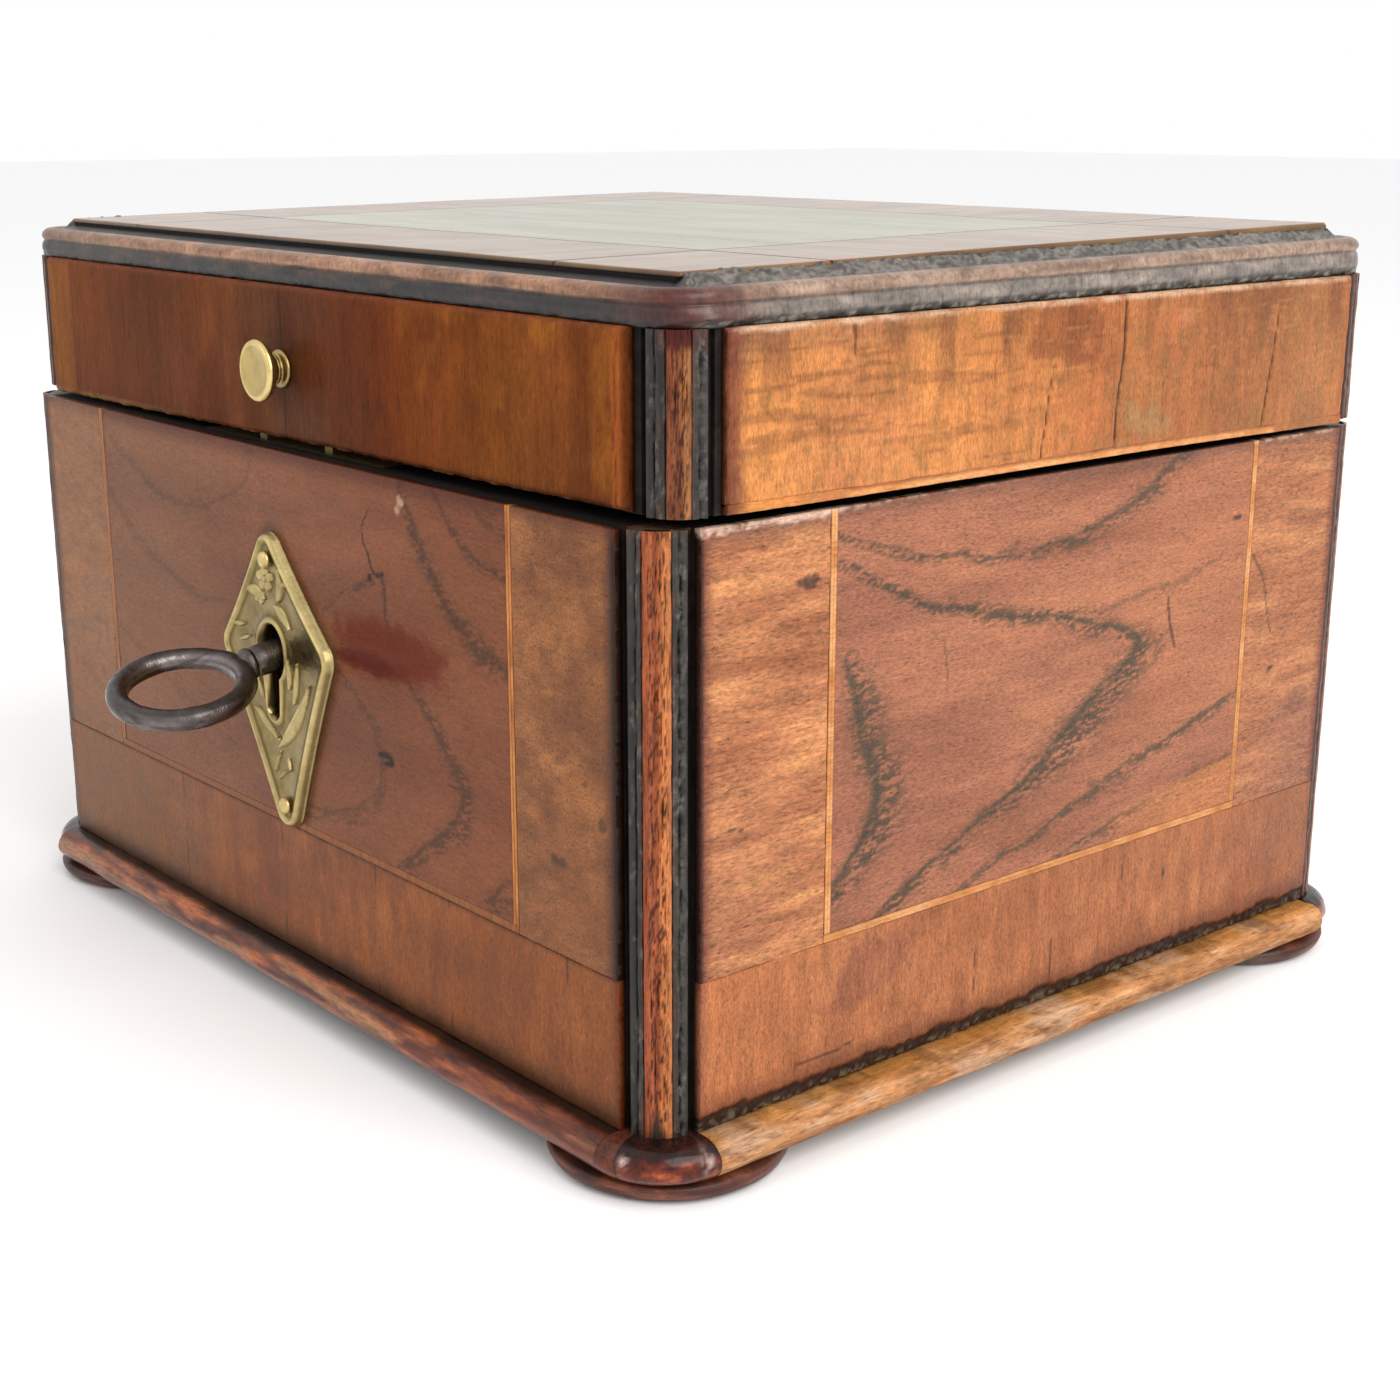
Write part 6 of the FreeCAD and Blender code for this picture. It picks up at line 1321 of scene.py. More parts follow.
# ------------------------------------------------------------- base mouldings
FRM, RTM = mm("base_moulding_front"), mm("base_moulding_right")
OUT = -HY - FRM[0][1]
ZM0, ZM1 = FRM[0][2], FRM[1][2]


def bull(a_in, a_out, z0, z1):
    """Section of the bullnose: (out, z) from inner bottom round to inner top."""
    h = (z1 - z0) / 2
    pts = [(a_in, z0), (a_out - 4.4, z0)]
    for k in range(1, 22):
        a = -math.pi / 2 + math.pi * k / 22
        r = 4.4 if a < 0 else 3.6
        pts.append((a_out - (4.4 if a < 0 else 4.4) + 4.4 * math.cos(a) if a < 0 else a_out - 3.9 + 3.9 * math.cos(a), z0 + h + h * math.sin(a)))
    pts += [(a_out - 3.9, z1), (a_in, z1)]
    return np.array(pts)


def moulding(name, nodes, slot, mat, along, half, face, sgn, kind):
    """A strip of base moulding; along is 'x' or 'y', sgn the side it is on."""
    sec = bull(face - 3.9, face + OUT, ZM0, ZM1)
    n = int(2 * half / 0.6)
    ss = np.linspace(-half, half, n + 1)
    k = len(sec)
    S = np.broadcast_to(ss[:, None], (n + 1, k))
    o = np.broadcast_to(sec[:, 0], (n + 1, k)).copy()
    z = np.broadcast_to(sec[:, 1], (n + 1, k)).copy()
    outer = sm(face - 0.2, face + 1.0, o)
    seed = 500 + int(face) + sgn * 7
    up = sm(0.55, 0.9, (z - ZM0) / (ZM1 - ZM0))
    if kind == "bare":
        crumb = (fbm(S / 1.5, z / 1.0, seed, 4) - 0.5)
        z = z - outer * up * sm(face + 3.4, face + 0.6, o) * (0.5 + crumb * 1.2)
        o = o + outer * (fbm(S / 8, z / 2, seed + 1, 4) - 0.5) * 0.5
    else:
        o = o + outer * (fbm(S / 10, z / 3, seed + 1, 4) - 0.5) * 0.45
        z = z + outer * (fbm(S / 14, z / 3, seed + 2, 4) - 0.5) * 0.25
    g = G_FRONT if along == "x" else np.array([0.69, 0.61, 0.52])
    t = fbm(S / 9, z / 0.9, seed + 3, 5)
    if kind == "bare":
        c = ramp(t, [(0.2, P(150, 106, 72, g)), (0.5, P(196, 146, 102, g)), (0.8, P(228, 184, 142, g))])
        c = mixc(c, P(206, 148, 70, g), up * sm(face + 4.5, face + 2.0, o) * 0.6)
        c = mixc(c, P(206, 186, 170, g), sm(0.55, 0.7, fbm(S / 12, z / 2, seed + 4, 4)) * 0.5)
        c = mixc(c, P(118, 84, 58, g), sm(0.54, 0.66, fbm((S + 2 * z) / 5, z / 0.8, seed + 8, 4)) * 0.55)
        c = mixc(c, P(38, 32, 28, g), up * sm(face + 0.9, face + 0.35, o + 0.7 * (fbm(S / 1.2, z, seed + 5, 4) - 0.5)) * 0.95)
        c = mixc(c, P(96, 66, 48, g), sm(0.3, 0.05, (z - ZM0) / (ZM1 - ZM0)) * 0.5)
    else:
        c = ramp(t, [(0.22, P(46, 20, 14, g)), (0.5, P(112, 62, 40, g)), (0.76, P(184, 116, 74, g))])
        c = mixc(c, P(196, 164, 142, g), sm(0.35, 0.62, (z - ZM0) / (ZM1 - ZM0)) * sm(0.9, 0.7, (z - ZM0) / (ZM1 - ZM0)) * sm(0.45, 0.65, fbm(S / 16, z / 3, seed + 6, 4)) * 0.6)
        c = mixc(c, P(84, 34, 24, g), sm(30, 80, S * (1 if along == "x" else 0)) * (sgn < 0) * 0.55)
        c = mixc(c, P(24, 20, 19, g), up * sm(face + 3.0, face + 1.6, o + 0.6 * (fbm(S / 5, z, seed + 5, 4) - 0.5)) * 0.9)
        c = mixc(c, P(40, 24, 20, g), sm(0.28, 0.05, (z - ZM0) / (ZM1 - ZM0)) * 0.6)
    if along == "x":
        R = np.stack([S, sgn * o, z], -1)
        flip = sgn > 0
    else:
        R = np.stack([sgn * o, S, z], -1)
        flip = sgn < 0
    mk = Maker()
    tube(mk, R, c, None, mirror=not flip)
    return mk.build(name, "case", nodes, slot, mat, 50)


moulding("base_strip_front", ["base_moulding_front"], "moulding_dark", M_MDARK, "x", RUN_X, HY, -1, "dark")
moulding("base_strip_back", ["base_moulding_back"], "moulding_dark", M_MDARK, "x", RUN_X, HY, 1, "dark")
moulding("base_strip_right", ["base_moulding_right"], "moulding_bare", M_MBARE, "y", RUN_Y, HX, 1, "bare")
moulding("base_strip_left", ["base_moulding_left"], "moulding_bare", M_MBARE, "y", RUN_Y, HX, -1, "bare")

# corner blocks: quarter-turned bullnoses, glossy and stained, with painted highlights
mk = Maker()
for ci, (sx, sy) in enumerate(((1, -1), (-1, -1), (1, 1), (-1, 1))):
    sec = bull(0.3, HX + OUT - RUN_X - (0.0 if (sx > 0 and sy < 0) else 1.7), ZM0, ZM1)
    n = 46
    a = np.radians(np.linspace(0.25, 89.75, n))
    k = len(sec)
    A = np.broadcast_to(a[:, None], (n, k))
    o = np.broadcast_to(sec[:, 0], (n, k)).copy()
    z = np.broadcast_to(sec[:, 1], (n, k)).copy()
    out = sm(6, 9, o)
    o = o + out * (fbm(A * 4, z / 2, 601 + ci, 4) - 0.5) * 0.5
    up = sm(0.6, 0.9, (z - ZM0) / (ZM1 - ZM0))
    g = (G_FRONT + G_SIDE) / 2
    t = fbm(A * 5, z / 1.1, 611 + ci, 5)
    c = ramp(t, [(0.2, lin((46, 12, 6))), (0.5, lin((92, 36, 20))), (0.8, lin((150, 72, 38)))])
    c = mixc(c, lin((96, 50, 36)), sm(0.4, 0.15, (z - ZM0) / (ZM1 - ZM0)) * 0.6)
    c = mixc(c, lin((20, 14, 13)), sm(0.66, 0.84, (z - ZM0) / (ZM1 - ZM0) + 0.12 * (fbm(A * 6, z, 612 + ci) - 0.5)) * 0.9)
    dg = np.degrees(A)
    c = mixc(c, lin((78, 38, 25)), sm(71, 74, dg) * 0.75)
    c = mixc(c, lin((18, 12, 11)), np.exp(-((dg - 72) / 1.1) ** 2) * 0.9 + np.exp(-((dg - 1.0) / 1.6) ** 2) * 0.9)
    # painted highlights: two pale spots on each turned bullnose
    hl = np.exp(-(((dg - 66) / 3.0) ** 2 + ((z - ZM0 - 4.6) / 0.7) ** 2)) + 0.8 * np.exp(-(((dg - 10) / 4.0) ** 2 + ((z - ZM0 - 4.2) / 1.3) ** 2))
    c = mixc(c, lin((196, 178, 170)), hl * sm(0.4, 0.6, fbm(dg / 3, z / 0.6, 618, 3)) * 0.7)
    X = sx * (RUN_X + o * np.cos(A))
    Y = sy * (RUN_Y + o * np.sin(A))
    tube(mk, np.stack([X, Y, z], -1), c, None, mirror=sx * sy < 0)
mk.build("base_corner_turns", "case", ["base_corner_blocks"], "moulding_dark", M_BLOCK, 50)

# bun feet
mk = Maker()
ft = mm("bun_feet")
FR = 19.2
FXc, FYc = ft[1][0] - FR, ft[1][1] - FR
fp = [(0, 0), (FR - 3.4, 0.0), (FR - 2.2, 0.18), (FR - 1.1, 0.7), (FR - 0.35, 1.5), (FR, 2.4), (FR - 0.15, ZM0 - 0.25), (FR - 0.6, ZM0), (0, ZM0)]
fp = [fp[0]] + chaikin(fp[1:-1], 2) + [fp[-1]]


def foot_paint(p):
    x, y, z = p[:, 0], p[:, 1], p[:, 2]
    t = fbm(x / 6 + y / 9, z / 0.7, 622, 4)
    c = ramp(t, [(0.25, lin((46, 20, 13))), (0.55, lin((82, 42, 29))), (0.8, lin((118, 70, 50)))])
    side = sm(FYc - 4, FYc - 14, np.abs(y))
    return mixc(c, lin((92, 82, 74)), side * 0.85)


for sx in (1, -1):
    for sy in (1, -1):
        lathe(mk, fp, (sx * FXc, sy * FYc, 0), (0, 0, 1), (1, 0, 0), 96, tint=foot_paint, wob=0.02, seed=621)
mk.build("turned_feet", "case", ["bun_feet"], "feet", M_FOOT, 50)

# ------------------------------------------------------------------ escutcheon


def resample(pts, n):
    pts = np.asarray(pts, float)
    d = np.r_[0, np.cumsum(np.hypot(*np.diff(pts, axis=0).T))]
    s = np.linspace(0, d[-1], n)
    return np.stack([np.interp(s, d, pts[:, 0]), np.interp(s, d, pts[:, 1])], -1)


def keyhole_loop(m=400):
    """Keyhole edge from the bottom, up the right side, over and down."""
    r, w = HOLE_R, SLOT
    q = []
    for k in range(25):
        a = -math.pi / 2 + math.pi / 2 * k / 24
        q.append((HOLE_X + w * math.cos(a), SLOT_Z + w + w * math.sin(a)))
    drop = math.sqrt(r * r - w * w)
    a0 = -math.asin(drop / r)
    q.append((HOLE_X + w, HOLE_MID - drop - 0.3))
    for k in range(20):
        a = a0 + (0 - a0) * k / 19
        q.append((HOLE_X + r * math.cos(a), HOLE_MID + r * math.sin(a)))
    for k in range(41):
        a = math.pi / 2 * k / 40
        q.append((HOLE_X + r * math.cos(a), HOLE_Z + r * math.sin(a)))
    left = [(2 * HOLE_X - x, y) for x, y in q[::-1]]
    return q, left


def split_outline():
    """Right and left halves of the outline, each from bottom to top."""
    o = np.array(outline_pts())
    i0, i1 = int(np.argmin(o[:, 1])), int(np.argmax(o[:, 1]))
    if i0 < i1:
        a = o[i0:i1 + 1]
        b = np.vstack([o[i1:], o[:i0 + 1]])
    else:
        a = np.vstack([o[i0:], o[:i1 + 1]])
        b = o[i1:i0 + 1]
    return a, b


kr, kl = keyhole_loop()
oa, ob_ = split_outline()
NH = 360
inner = np.vstack([resample(kr, NH)[:-1], resample(kl, NH)[:-1]])
outer = np.vstack([resample(oa, NH)[:-1], resample(ob_, NH)[:-1]])
tt = np.r_[np.linspace(0, 0.12, 12)[:-1], np.linspace(0.12, 0.9, 96)[:-1], np.linspace(0.9, 1.0, 20)]
EX = inner[None, :, 0] * (1 - tt[:, None]) + outer[None, :, 0] * tt[:, None]
EZ = inner[None, :, 1] * (1 - tt[:, None]) + outer[None, :, 1] * tt[:, None]
d_out = np.hypot(EX - outer[None, :, 0], EZ - outer[None, :, 1])
d_out = np.minimum(d_out, -kite_distance(EX, EZ))
d_in = np.hypot(EX - inner[None, :, 0], EZ - inner[None, :, 1])
PLATE = ESC[1][1] - ESC[0][1]
base_h = PLATE - 0.55


def ridge(d, at, w):
    return np.exp(-((d - at) / w) ** 2)


hgt = base_h + 0.62 * ridge(d_out, 1.05, 0.55) + 0.12 * ridge(d_out, 2.3, 0.25) + 0.45 * ridge(d_in, 0.75, 0.45)
hgt = hgt - 0.28 * sm(2.0, 5.0, d_out) * sm(1.3, 3.0, d_in)
hgt = hgt - (1 - sm(0.0, 0.7, d_out)) ** 2 * 1.05 - (1 - sm(0.0, 0.45, d_in)) ** 2 * 0.5


def leaf(x0, z0, x1, z1, w, vein=0.4, bend=0.0, seed=0):
    """A pointed leaf or pod between two points, raised, with a midrib."""
    L = math.hypot(x1 - x0, z1 - z0)
    ux, uz = (x1 - x0) / L, (z1 - z0) / L
    a = ((EX - x0) * ux + (EZ - z0) * uz) / L
    b = (EX - x0) * -uz + (EZ - z0) * ux - bend * 4 * a * (1 - a)
    half = w * np.sin(np.clip(a, 0, 1) * math.pi) ** 0.75 * (1.15 - 0.5 * a)
    inside = (a > 0) & (a < 1)
    q = np.where(inside, 1 - (np.abs(b) / np.maximum(half, 1e-3)), -1)
    body = sm(0.0, 0.45, q)
    rib = np.exp(-(b / 0.22) ** 2) * body
    return body * 0.34 + rib * vein * 0.28 - np.exp(-(q / 0.12) ** 2) * 0.10 * inside


def petal(x, z, r, rz, amp=0.3):
    q = 1 - np.hypot((EX - x) / r, (EZ - z) / rz)
    return sm(0.0, 0.5, q) * amp - np.exp(-(q / 0.14) ** 2) * 0.08


rel = np.zeros(EX.shape)
for L_ in ((-1.8, 49.0, 9.6, 62.6, 1.9, 0.5, -0.9), (-0.2, 50.6, 5.2, 54.0, 1.3, 0.3, 0.4), (-9.4, 55.0, -1.6, 50.4, 1.2, 0.5, -0.3), (-6.6, 57.2, -8.8, 62.6, 0.9, 0.4, 0.2),
           (4.2, 58.0, 6.0, 66.0, 0.8, 0.5, 0.1), (2.8, 60.4, 3.0, 66.2, 0.6, 0.5, 0.0), (0.2, 75.6, 1.4, 82.4, 1.2, 0.5, -0.2), (0.6, 75.8, 4.2, 80.6, 0.9, 0.5, 0.3),
           (-1.0, 75.0, 3.8, 71.4, 1.5, 0.5, 0.3), (-10.0, 76.8, -4.4, 75.4, 1.5, 0.3, 0.4), (-11.8, 69.8, -16.0, 69.6, 0.6, 0.3, 0.1), (-10.2, 68.0, -14.6, 66.6, 0.6, 0.3, 0.1),
           (-3.6, 44.0, -1.4, 48.4, 0.35, 0.2, 0.3), (-2.6, 42.6, 1.8, 45.4, 0.4, 0.2, 0.5), (1.8, 45.4, 1.2, 47.6, 0.35, 0.2, 0.2)):
    rel = np.maximum(rel, leaf(*L_))
for k in range(5):
    a = math.radians(90 + 72 * k)
    rel = np.maximum(rel, petal(-3.9 + 1.55 * math.cos(a), 79.3 + 1.45 * math.sin(a), 1.35, 1.25, 0.42))
rel = np.maximum(rel, petal(-3.9, 79.3, 0.75, 0.75, 0.55))
for k in range(4):
    a = math.radians(30 + 90 * k)
    rel = np.maximum(rel, petal(-6.2 + 1.0 * math.cos(a), 75.7 + 0.8 * math.sin(a), 0.95, 0.8, 0.36))
rel = np.maximum(rel, petal(-6.0, 83.0, 1.4, 1.0, 0.2))
fade = sm(1.5, 2.4, d_out) * sm(1.1, 1.7, d_in)
hgt = hgt + rel * fade * 1.2 + (fbm(EX / 1.3, EZ / 1.3, 701, 4) - 0.5) * 0.10 * fade
cav = np.clip(0.5 * fade * sm(0.22, 0.0, rel) * (0.35 + 1.1 * fbm(EX / 2.2, EZ / 2.2, 702)) + 1.1 * fade * np.exp(-((rel - 0.06) / 0.045) ** 2) + 0.5 * np.exp(-((d_out - 2.0) / 0.5) ** 2) + 0.45 * np.exp(-((d_in - 1.6) / 0.5) ** 2), 0, 1)
cav = np.clip(cav + 0.65 * blob(EX, EZ, 8.5, 68.6, 6.0, 3.2, 703, 0.4), 0, 0.9)
bright = np.clip(0.4 * ridge(d_out, 1.0, 0.6) + 0.3 * ridge(d_in, 0.75, 0.4) + rel * 0.5, 0, 1)
tcol = 0.62 + 0.62 * bright[..., None] + np.zeros(EX.shape + (3,))
front_pts = np.stack([EX, -HY - hgt, EZ], -1)
m = EX.shape[1]
ins_ring = np.stack([inner[:, 0], np.full(m, -HY + 0.02), inner[:, 1]], -1)
out_ring = np.stack([outer[:, 0], np.full(m, -HY + 0.02), outer[:, 1]], -1)
rings = np.concatenate([ins_ring[None], front_pts, out_ring[None]], 0)
tint_r = np.concatenate([tcol[:1] * 0.6, tcol, tcol[-1:] * 0.8], 0)
cav_r = np.concatenate([cav[:1] * 0 + 0.7, cav, cav[-1:] * 0 + 0.2], 0)
nr = rings.shape[0]
idx = np.arange(nr * m).reshape(nr, m)
nx_ = np.roll(idx, -1, 1)
faces = []
for i in range(nr - 1):
    faces += np.stack([idx[i], nx_[i], nx_[i + 1], idx[i + 1]], -1).tolist()
faces += np.stack([idx[-1], nx_[-1], nx_[0], idx[0]], -1).tolist()
mk = Maker()
mk.add(rings.reshape(-1, 3), [tuple(reversed(q)) for q in faces], tint_r.reshape(-1, 3), cav_r.ravel())
mk.build("escutcheon_relief", "case", ["escutcheon"], "brass", M_PLATE, 60)

# pins: worn round heads
pn = mm("escutcheon_pins")
mk = Maker()
lean = math.radians(3.6)
for along in (16.4, -28.0):
    cx_, cz_ = -1.8 - along * math.sin(lean), 66.5 + along * math.cos(lean)
    head = chaikin([(0.01, 1.0), (0.7, 1.0), (1.25, 0.8), (1.58, 0.35), (1.6, 0.0), (1.1, -0.1), (0.55, -0.12), (0.55, -4.6), (0.01, -5.0)], 2)
    lathe(mk, [(r, h + PLATE - 0.25) for r, h in head], (cx_, -HY, cz_), (0, -1, 0), (1, 0, 0), 32, tint=(1.05, 1.02, 0.96), mask=0.0, wob=0.12, seed=711)
mk.build("escutcheon_pin_heads", "case", ["escutcheon_pins"], "brass", M_PLATE, 60)

# ---------------------------------------------------------------------- knob
mk = Maker()
face_y = LY0
hd = [(0.01, 5.15), (2.4, 5.12), (3.5, 5.2), (4.3, 5.55), (4.9, 5.5), (5.25, 5.1), (5.3, 4.6), (5.05, 4.05), (4.3, 3.5), (3.0, 3.15), (2.45, 2.9), (2.3, 2.65), (2.75, 2.4), (3.0, 2.15), (2.75, 1.85),
      (2.3, 1.65), (2.35, 1.2), (3.0, 0.95), (3.35, 0.6), (3.3, 0.05), (1.3, 0.0), (1.3, -6.9), (0.01, -7.2)]
hd = [hd[0]] + chaikin(hd[1:-1], 2) + [hd[-1]]
# painted reflection on the knob: a bright rim round the head, a darker dished face, a dark band under the head and a
# duller neck
knob_painted_reflection_tints = []
for r, h in hd:
    knob_painted_reflection_tints.append((1.12, 1.08, 1.0) if h > 4.3 and 4.2 < r < 5.27 else ((0.80, 0.76, 0.66) if h > 5 else ((0.36, 0.32, 0.26) if h > 2.9 else (0.62, 0.58, 0.48))))
lathe(mk, hd, (KNX, face_y, KNZ), (0, -1, 0), (1, 0, 0), 72, tint=np.array(knob_painted_reflection_tints), mask=0.12)
mk.build("lid_knob_turned", "lid", ["lid_knob"], "brass", M_PLATE, 50)

# ----------------------------------------------------------------------- key
kj = [q for q in frame["joints"] if q["name"] == "key_turn"][0]
kp = np.array(kj["pos_m"]) * 1000.0
kp[1] -= ROW_Y
ka = np.array(kj["axis"], float)
ka /= np.linalg.norm(ka)            # out of the lock
roll = math.radians(10.5)
side0 = np.array([1.0, 0, 0])
up0 = np.cross(side0, ka)           # ka is about -Y, so this is about +Z
if up0[2] < 0:
    up0 = -up0
sd = side0 * math.cos(roll) - up0 * math.sin(roll)
up = side0 * math.sin(roll) + up0 * math.cos(roll)
mk = Maker()


def key_tint(k):
    return lin((120, 112, 106)) * 0 + k


BC, BR = 20.9, 11.05
na, nb = 160, 40
A = np.linspace(0, 2 * math.pi, na, endpoint=False)[:, None]
B = np.linspace(0, 2 * math.pi, nb, endpoint=False)[None, :]
# flattened bow: wider than it is thick, a little squashed at the far end
cb, sb = np.cos(B), np.sin(B)
rr = np.sign(cb) * np.abs(cb) ** 0.85 * 1.92
hh = np.sign(sb) * np.abs(sb) ** 0.9 * 1.78
noise_r = (fbm(np.cos(A) * 3 + 7, np.sin(A) * 3 + B * 0.7, 721, 4) - 0.5) * 0.3
rr = rr + noise_r * cb
hh = hh + noise_r * sb
axial = BC + (BR + rr) * np.cos(A) * 0.985
lat = (BR + rr) * np.sin(A) * 1.0
neck = sm(0.86, 1.0, -np.cos(A))
hh = hh * (1 + 0.12 * neck)
R = kp + axial[..., None] * ka + lat[..., None] * sd + (hh + 0 * A)[..., None] * up
wear = np.clip(sm(0.2, 0.9, -cb) * 0.5 * (sb > 0) + sm(0.5, 1.0, cb) * 0.35 + 0 * A, 0, 1)
bw = 0.8 + 2.6 * np.clip(wear * sm(0.35, 0.6, fbm(np.cos(A) * 4, np.sin(A) * 4 + B, 722, 3)), 0, 1)
tube(mk, R, np.repeat(bw[..., None], 3, -1), 0 * bw, close=True, mirror=False)
# shank, with a shoulder, a turned collar and the neck that meets the bow
shp = [(0.01, 9.6), (1.5, 9.55), (2.2, 9.2), (2.75, 8.6), (2.95, 8.0), (2.95, 7.6), (2.6, 7.3), (2.55, 7.0), (2.8, 6.8), (2.8, 0), (2.75, -7.3), (2.4, -7.5), (0.01, -7.5)]
shp = [shp[0]] + chaikin(shp[1:-1], 1) + [shp[-1]]
lathe(mk, shp, kp, ka, sd, 56, tint=(0.95, 0.92, 0.9), mask=0.0, wob=0.05, seed=723)
nk = [(0.01, 11.2), (1.5, 11.1), (1.75, 10.4), (1.7, 9.6), (1.75, 8.9), (0.01, 8.8)]
lathe(mk, nk, kp, ka, sd, 32, tint=(0.6, 0.58, 0.56), mask=0.3)
# bit: a bevelled flag


def bevel_box(mk, c, ax, ay, az, hx_, hy_, hz_, b, tint):
    vs, fs = [], []
    for sx in (-1, 1):
        for sy in (-1, 1):
            for sz in (-1, 1):
                for k in range(3):
                    e = [hx_, hy_, hz_]
                    for q in range(3):
                        if q != k:
                            e[q] -= b
                    vs.append(c + sx * e[0] * ax + sy * e[1] * ay + sz * e[2] * az)
    idn = {}
    i = 0
    for sx in (0, 1):
        for sy in (0, 1):
            for sz in (0, 1):
                for k in range(3):
                    idn[(sx, sy, sz, k)] = i
                    i += 1
    for k in range(3):
        p, q = [d_ for d_ in range(3) if d_ != k]
        for s in (0, 1):
            def key_(a_, b_):
                z_ = [0, 0, 0]
                z_[k], z_[p], z_[q] = s, a_, b_
                return idn[(*z_, k)]
            fs.append((key_(0, 0), key_(1, 0), key_(1, 1), key_(0, 1)))
    for k in range(3):
        p, q = [d_ for d_ in range(3) if d_ != k]
        for a_ in (0, 1):
            for b_ in (0, 1):
                def kk_(s, face_):
                    z_ = [0, 0, 0]
                    z_[k], z_[p], z_[q] = s, a_, b_
                    return idn[(*z_, face_)]
                fs.append((kk_(0, p), kk_(1, p), kk_(1, q), kk_(0, q)))
    for sx in (0, 1):
        for sy in (0, 1):
            for sz in (0, 1):
                fs.append((idn[(sx, sy, sz, 0)], idn[(sx, sy, sz, 1)], idn[(sx, sy, sz, 2)]))
    vs = np.array(vs)
    cen = vs.mean(0)
    out = []
    for f_ in fs:
        p_ = vs[list(f_)]
        nrm_ = np.cross(p_[1] - p_[0], p_[2] - p_[0])
        out.append(f_ if np.dot(nrm_, p_.mean(0) - cen) > 0 else tuple(reversed(f_)))
    mk.add(vs, out, tint)


bevel_box(mk, kp - ka * 6.0 - sd * 5.4, sd, ka, up, 4.6, 0.9, 1.3, 0.2, (0.9, 0.88, 0.86))
mk.build("ring_key", "key", ["key"], "key_iron", M_IRON, 50)

# ------------------------------------------------------- CAD nodes that stay
PINE = wood("pine_boards", "X", base=(0.013, 0.010, 0.009), a1=0.22, a2=0.22, pore=0.1, fine=0.0012, length=0.05, rough=(0.55, 0.7), coat=0.0, bump=0.2, spec=0.35)
PINEY = wood("pine_boards_side", "Y", base=(0.013, 0.010, 0.009), a1=0.22, a2=0.22, pore=0.1, fine=0.0012, length=0.05, rough=(0.55, 0.7), coat=0.0, bump=0.2, spec=0.35, seed=0.3)
LINING = wood("lining_wood", "X", base=(0.10, 0.045, 0.022), a1=0.22, a2=0.2, pore=0.2, fine=0.0008, length=0.03, rough=(0.4, 0.55), coat=0.15, bump=0.2)
INNER = wood("inner_lid_wood", "Y", base=(0.30, 0.13, 0.055), a1=0.25, a2=0.3, pore=0.25, fine=0.0008, length=0.03, rough=(0.25, 0.4), coat=0.4, bump=0.2)
keep = {
    PINE: ["bottom_board", "front_board", "back_board", "lid_front_board", "lid_back_board", "lid_top_board"],
    PINEY: ["left_board", "right_board", "lid_left_board", "lid_right_board"],
    LINING: ["inner_linings", "compartment_divider", "lid_lining"],
    INNER: ["inner_lid_left", "inner_lid_right"],
    M_TIN: ["tin_linings"],
    M_LOCK: ["lock_case", "lock_cap", "lock_bolt"],
    M_SCREW: ["lock_screws", "link_plate_screws", "hinge_pins", "hinge_screws_lower", "hinge_screws_upper"],
    M_DULL: ["lock_selvedge", "link_plate"],
    M_BRASS: ["hinge_lower_leaves", "hinge_upper_leaves", "inner_lid_knob_left", "inner_lid_knob_right"],
}
for mat, names in keep.items():
    for nme in names:
        ob = frame["nodes"][nme]
        ob.data.materials.clear()
        ob.data.materials.append(mat)

# ---------------------------------------------------------- floor, light, view
sc = bpy.context.scene
sc.view_settings.view_transform = "Standard"
sc.view_settings.look = "None"

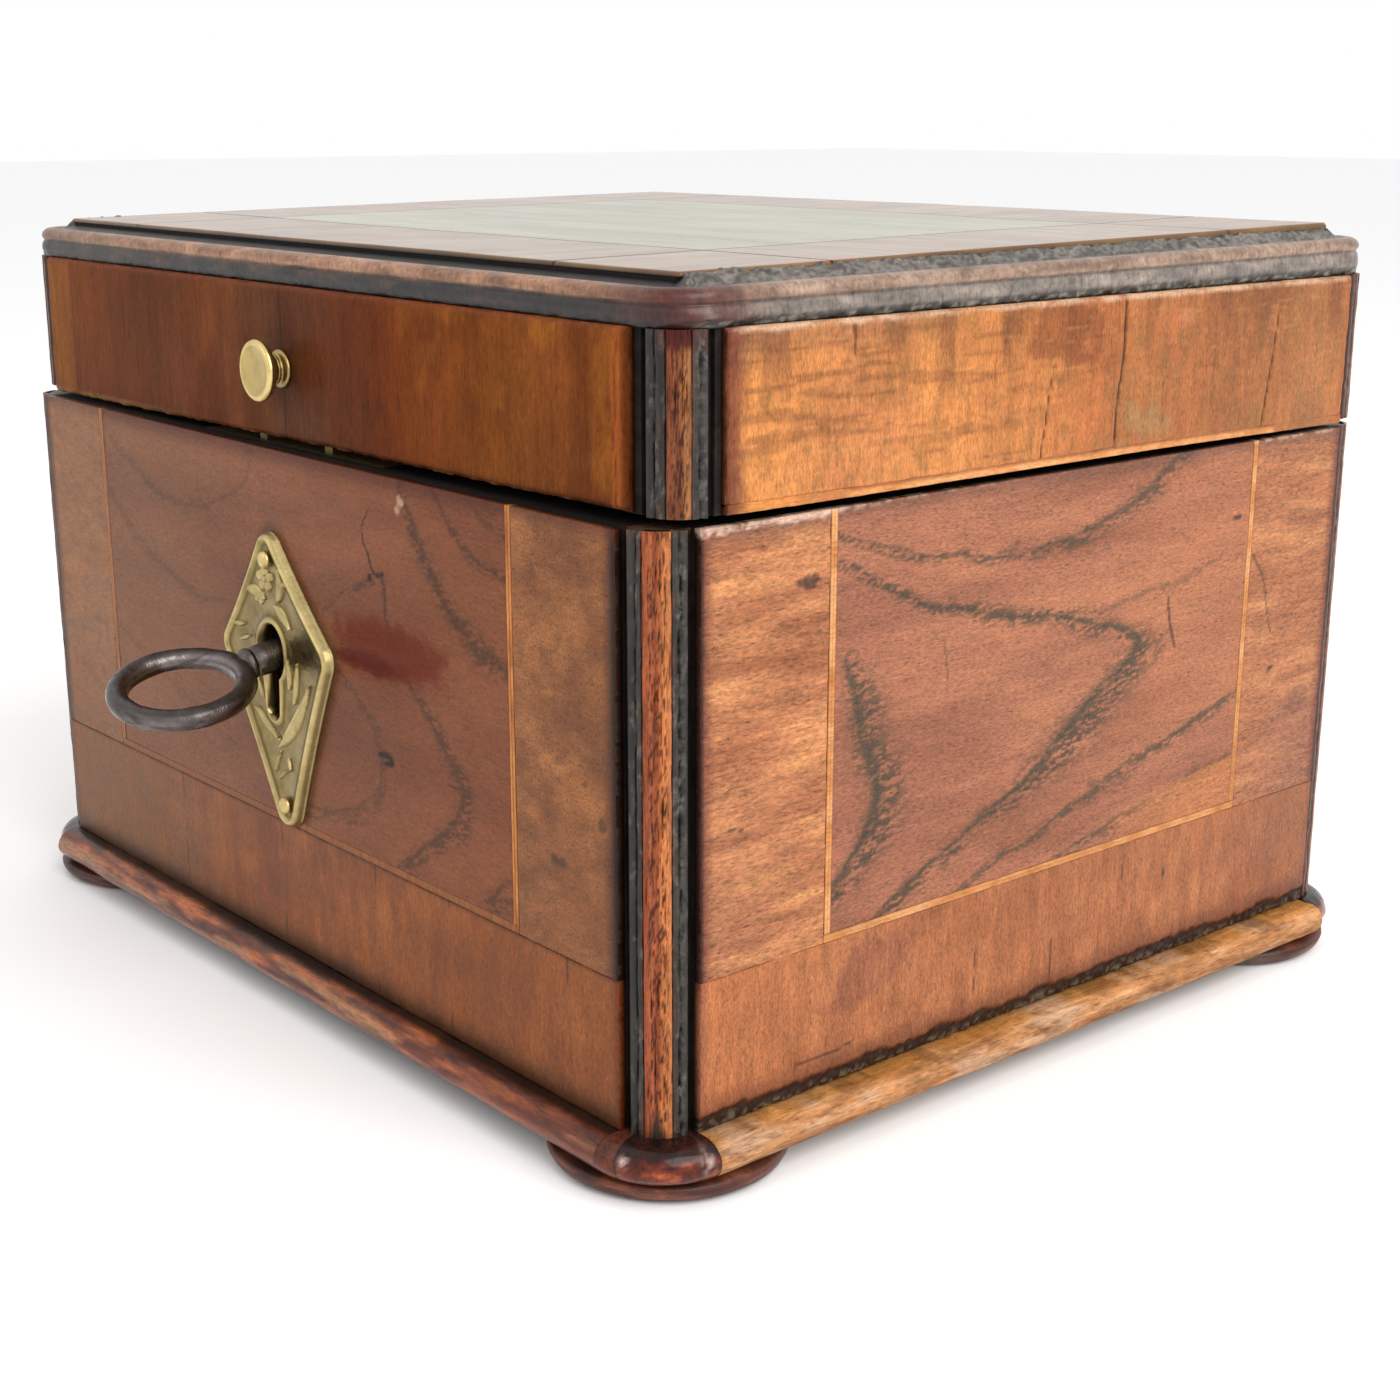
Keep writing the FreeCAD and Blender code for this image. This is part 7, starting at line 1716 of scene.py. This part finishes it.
me = bpy.data.meshes.new("floor")
F = 6.0
me.from_pydata([(-F, -F, 0), (F, -F, 0), (F, F, 0), (-F, F, 0)], [], [(0, 1, 2, 3)])
floor = bpy.data.objects.new("floor", me)
sc.collection.objects.link(floor)
fm, fnt, fbs = nodes_of("floor_paper")
fbs.inputs["Base Color"].default_value = (0.93, 0.93, 0.93, 1)
fbs.inputs["Roughness"].default_value = 0.9
fbs.inputs["Specular IOR Level"].default_value = 0.1
me.materials.append(fm)

world = bpy.data.worlds.new("studio")
sc.world = world
world.use_nodes = True
bg = world.node_tree.nodes["Background"]
bg.inputs["Color"].default_value = (1.0, 1.0, 1.0, 1)
bg.inputs["Strength"].default_value = 1.0


def area(name, loc, aim, size, power, color=(1, 1, 1)):
    ld = bpy.data.lights.new(name, "AREA")
    ld.shape = "RECTANGLE"
    ld.size, ld.size_y = size
    ld.energy = power
    ld.color = color
    ob = bpy.data.objects.new(name, ld)
    sc.collection.objects.link(ob)
    ob.location = loc
    ob.rotation_euler = (Vector(aim) - Vector(loc)).to_track_quat("-Z", "Y").to_euler()
    return ob


area("key_softbox", (0.95, -0.05, 0.75), (0, 0, 0.07), (0.9, 0.9), 11.0, (1.0, 0.985, 0.96))
area("fill_softbox", (-0.3, -1.1, 0.8), (0, 0, 0.07), (1.0, 0.8), 1.5, (1.0, 0.99, 0.98))

cam_d = bpy.data.cameras.new("camera")
cam = bpy.data.objects.new("camera", cam_d)
sc.collection.objects.link(cam)
yaw, pitch, rollc = math.radians(49.724), math.radians(-15.956), math.radians(0.033)
fwd = Vector((-math.sin(yaw) * math.cos(pitch), math.cos(yaw) * math.cos(pitch), math.sin(pitch)))
rgt = Vector((math.cos(yaw), math.sin(yaw), 0))
upv = rgt.cross(fwd)
r2 = rgt * math.cos(rollc) + upv * math.sin(rollc)
u2 = -rgt * math.sin(rollc) + upv * math.cos(rollc)
M = Matrix((r2, u2, -fwd)).transposed().to_4x4()
M.translation = Vector((0.325136, -0.268141 + ROW_Y / 1000.0, 0.158826))
cam.matrix_world = M
cam_d.sensor_width = 36.0
cam_d.lens = 2145.15 / 1400.0 * 36.0
cam_d.shift_x = (700 - 691.45) / 1400.0
cam_d.shift_y = (719.95 - 700) / 1400.0
cam_d.clip_start = 0.01
sc.camera = cam
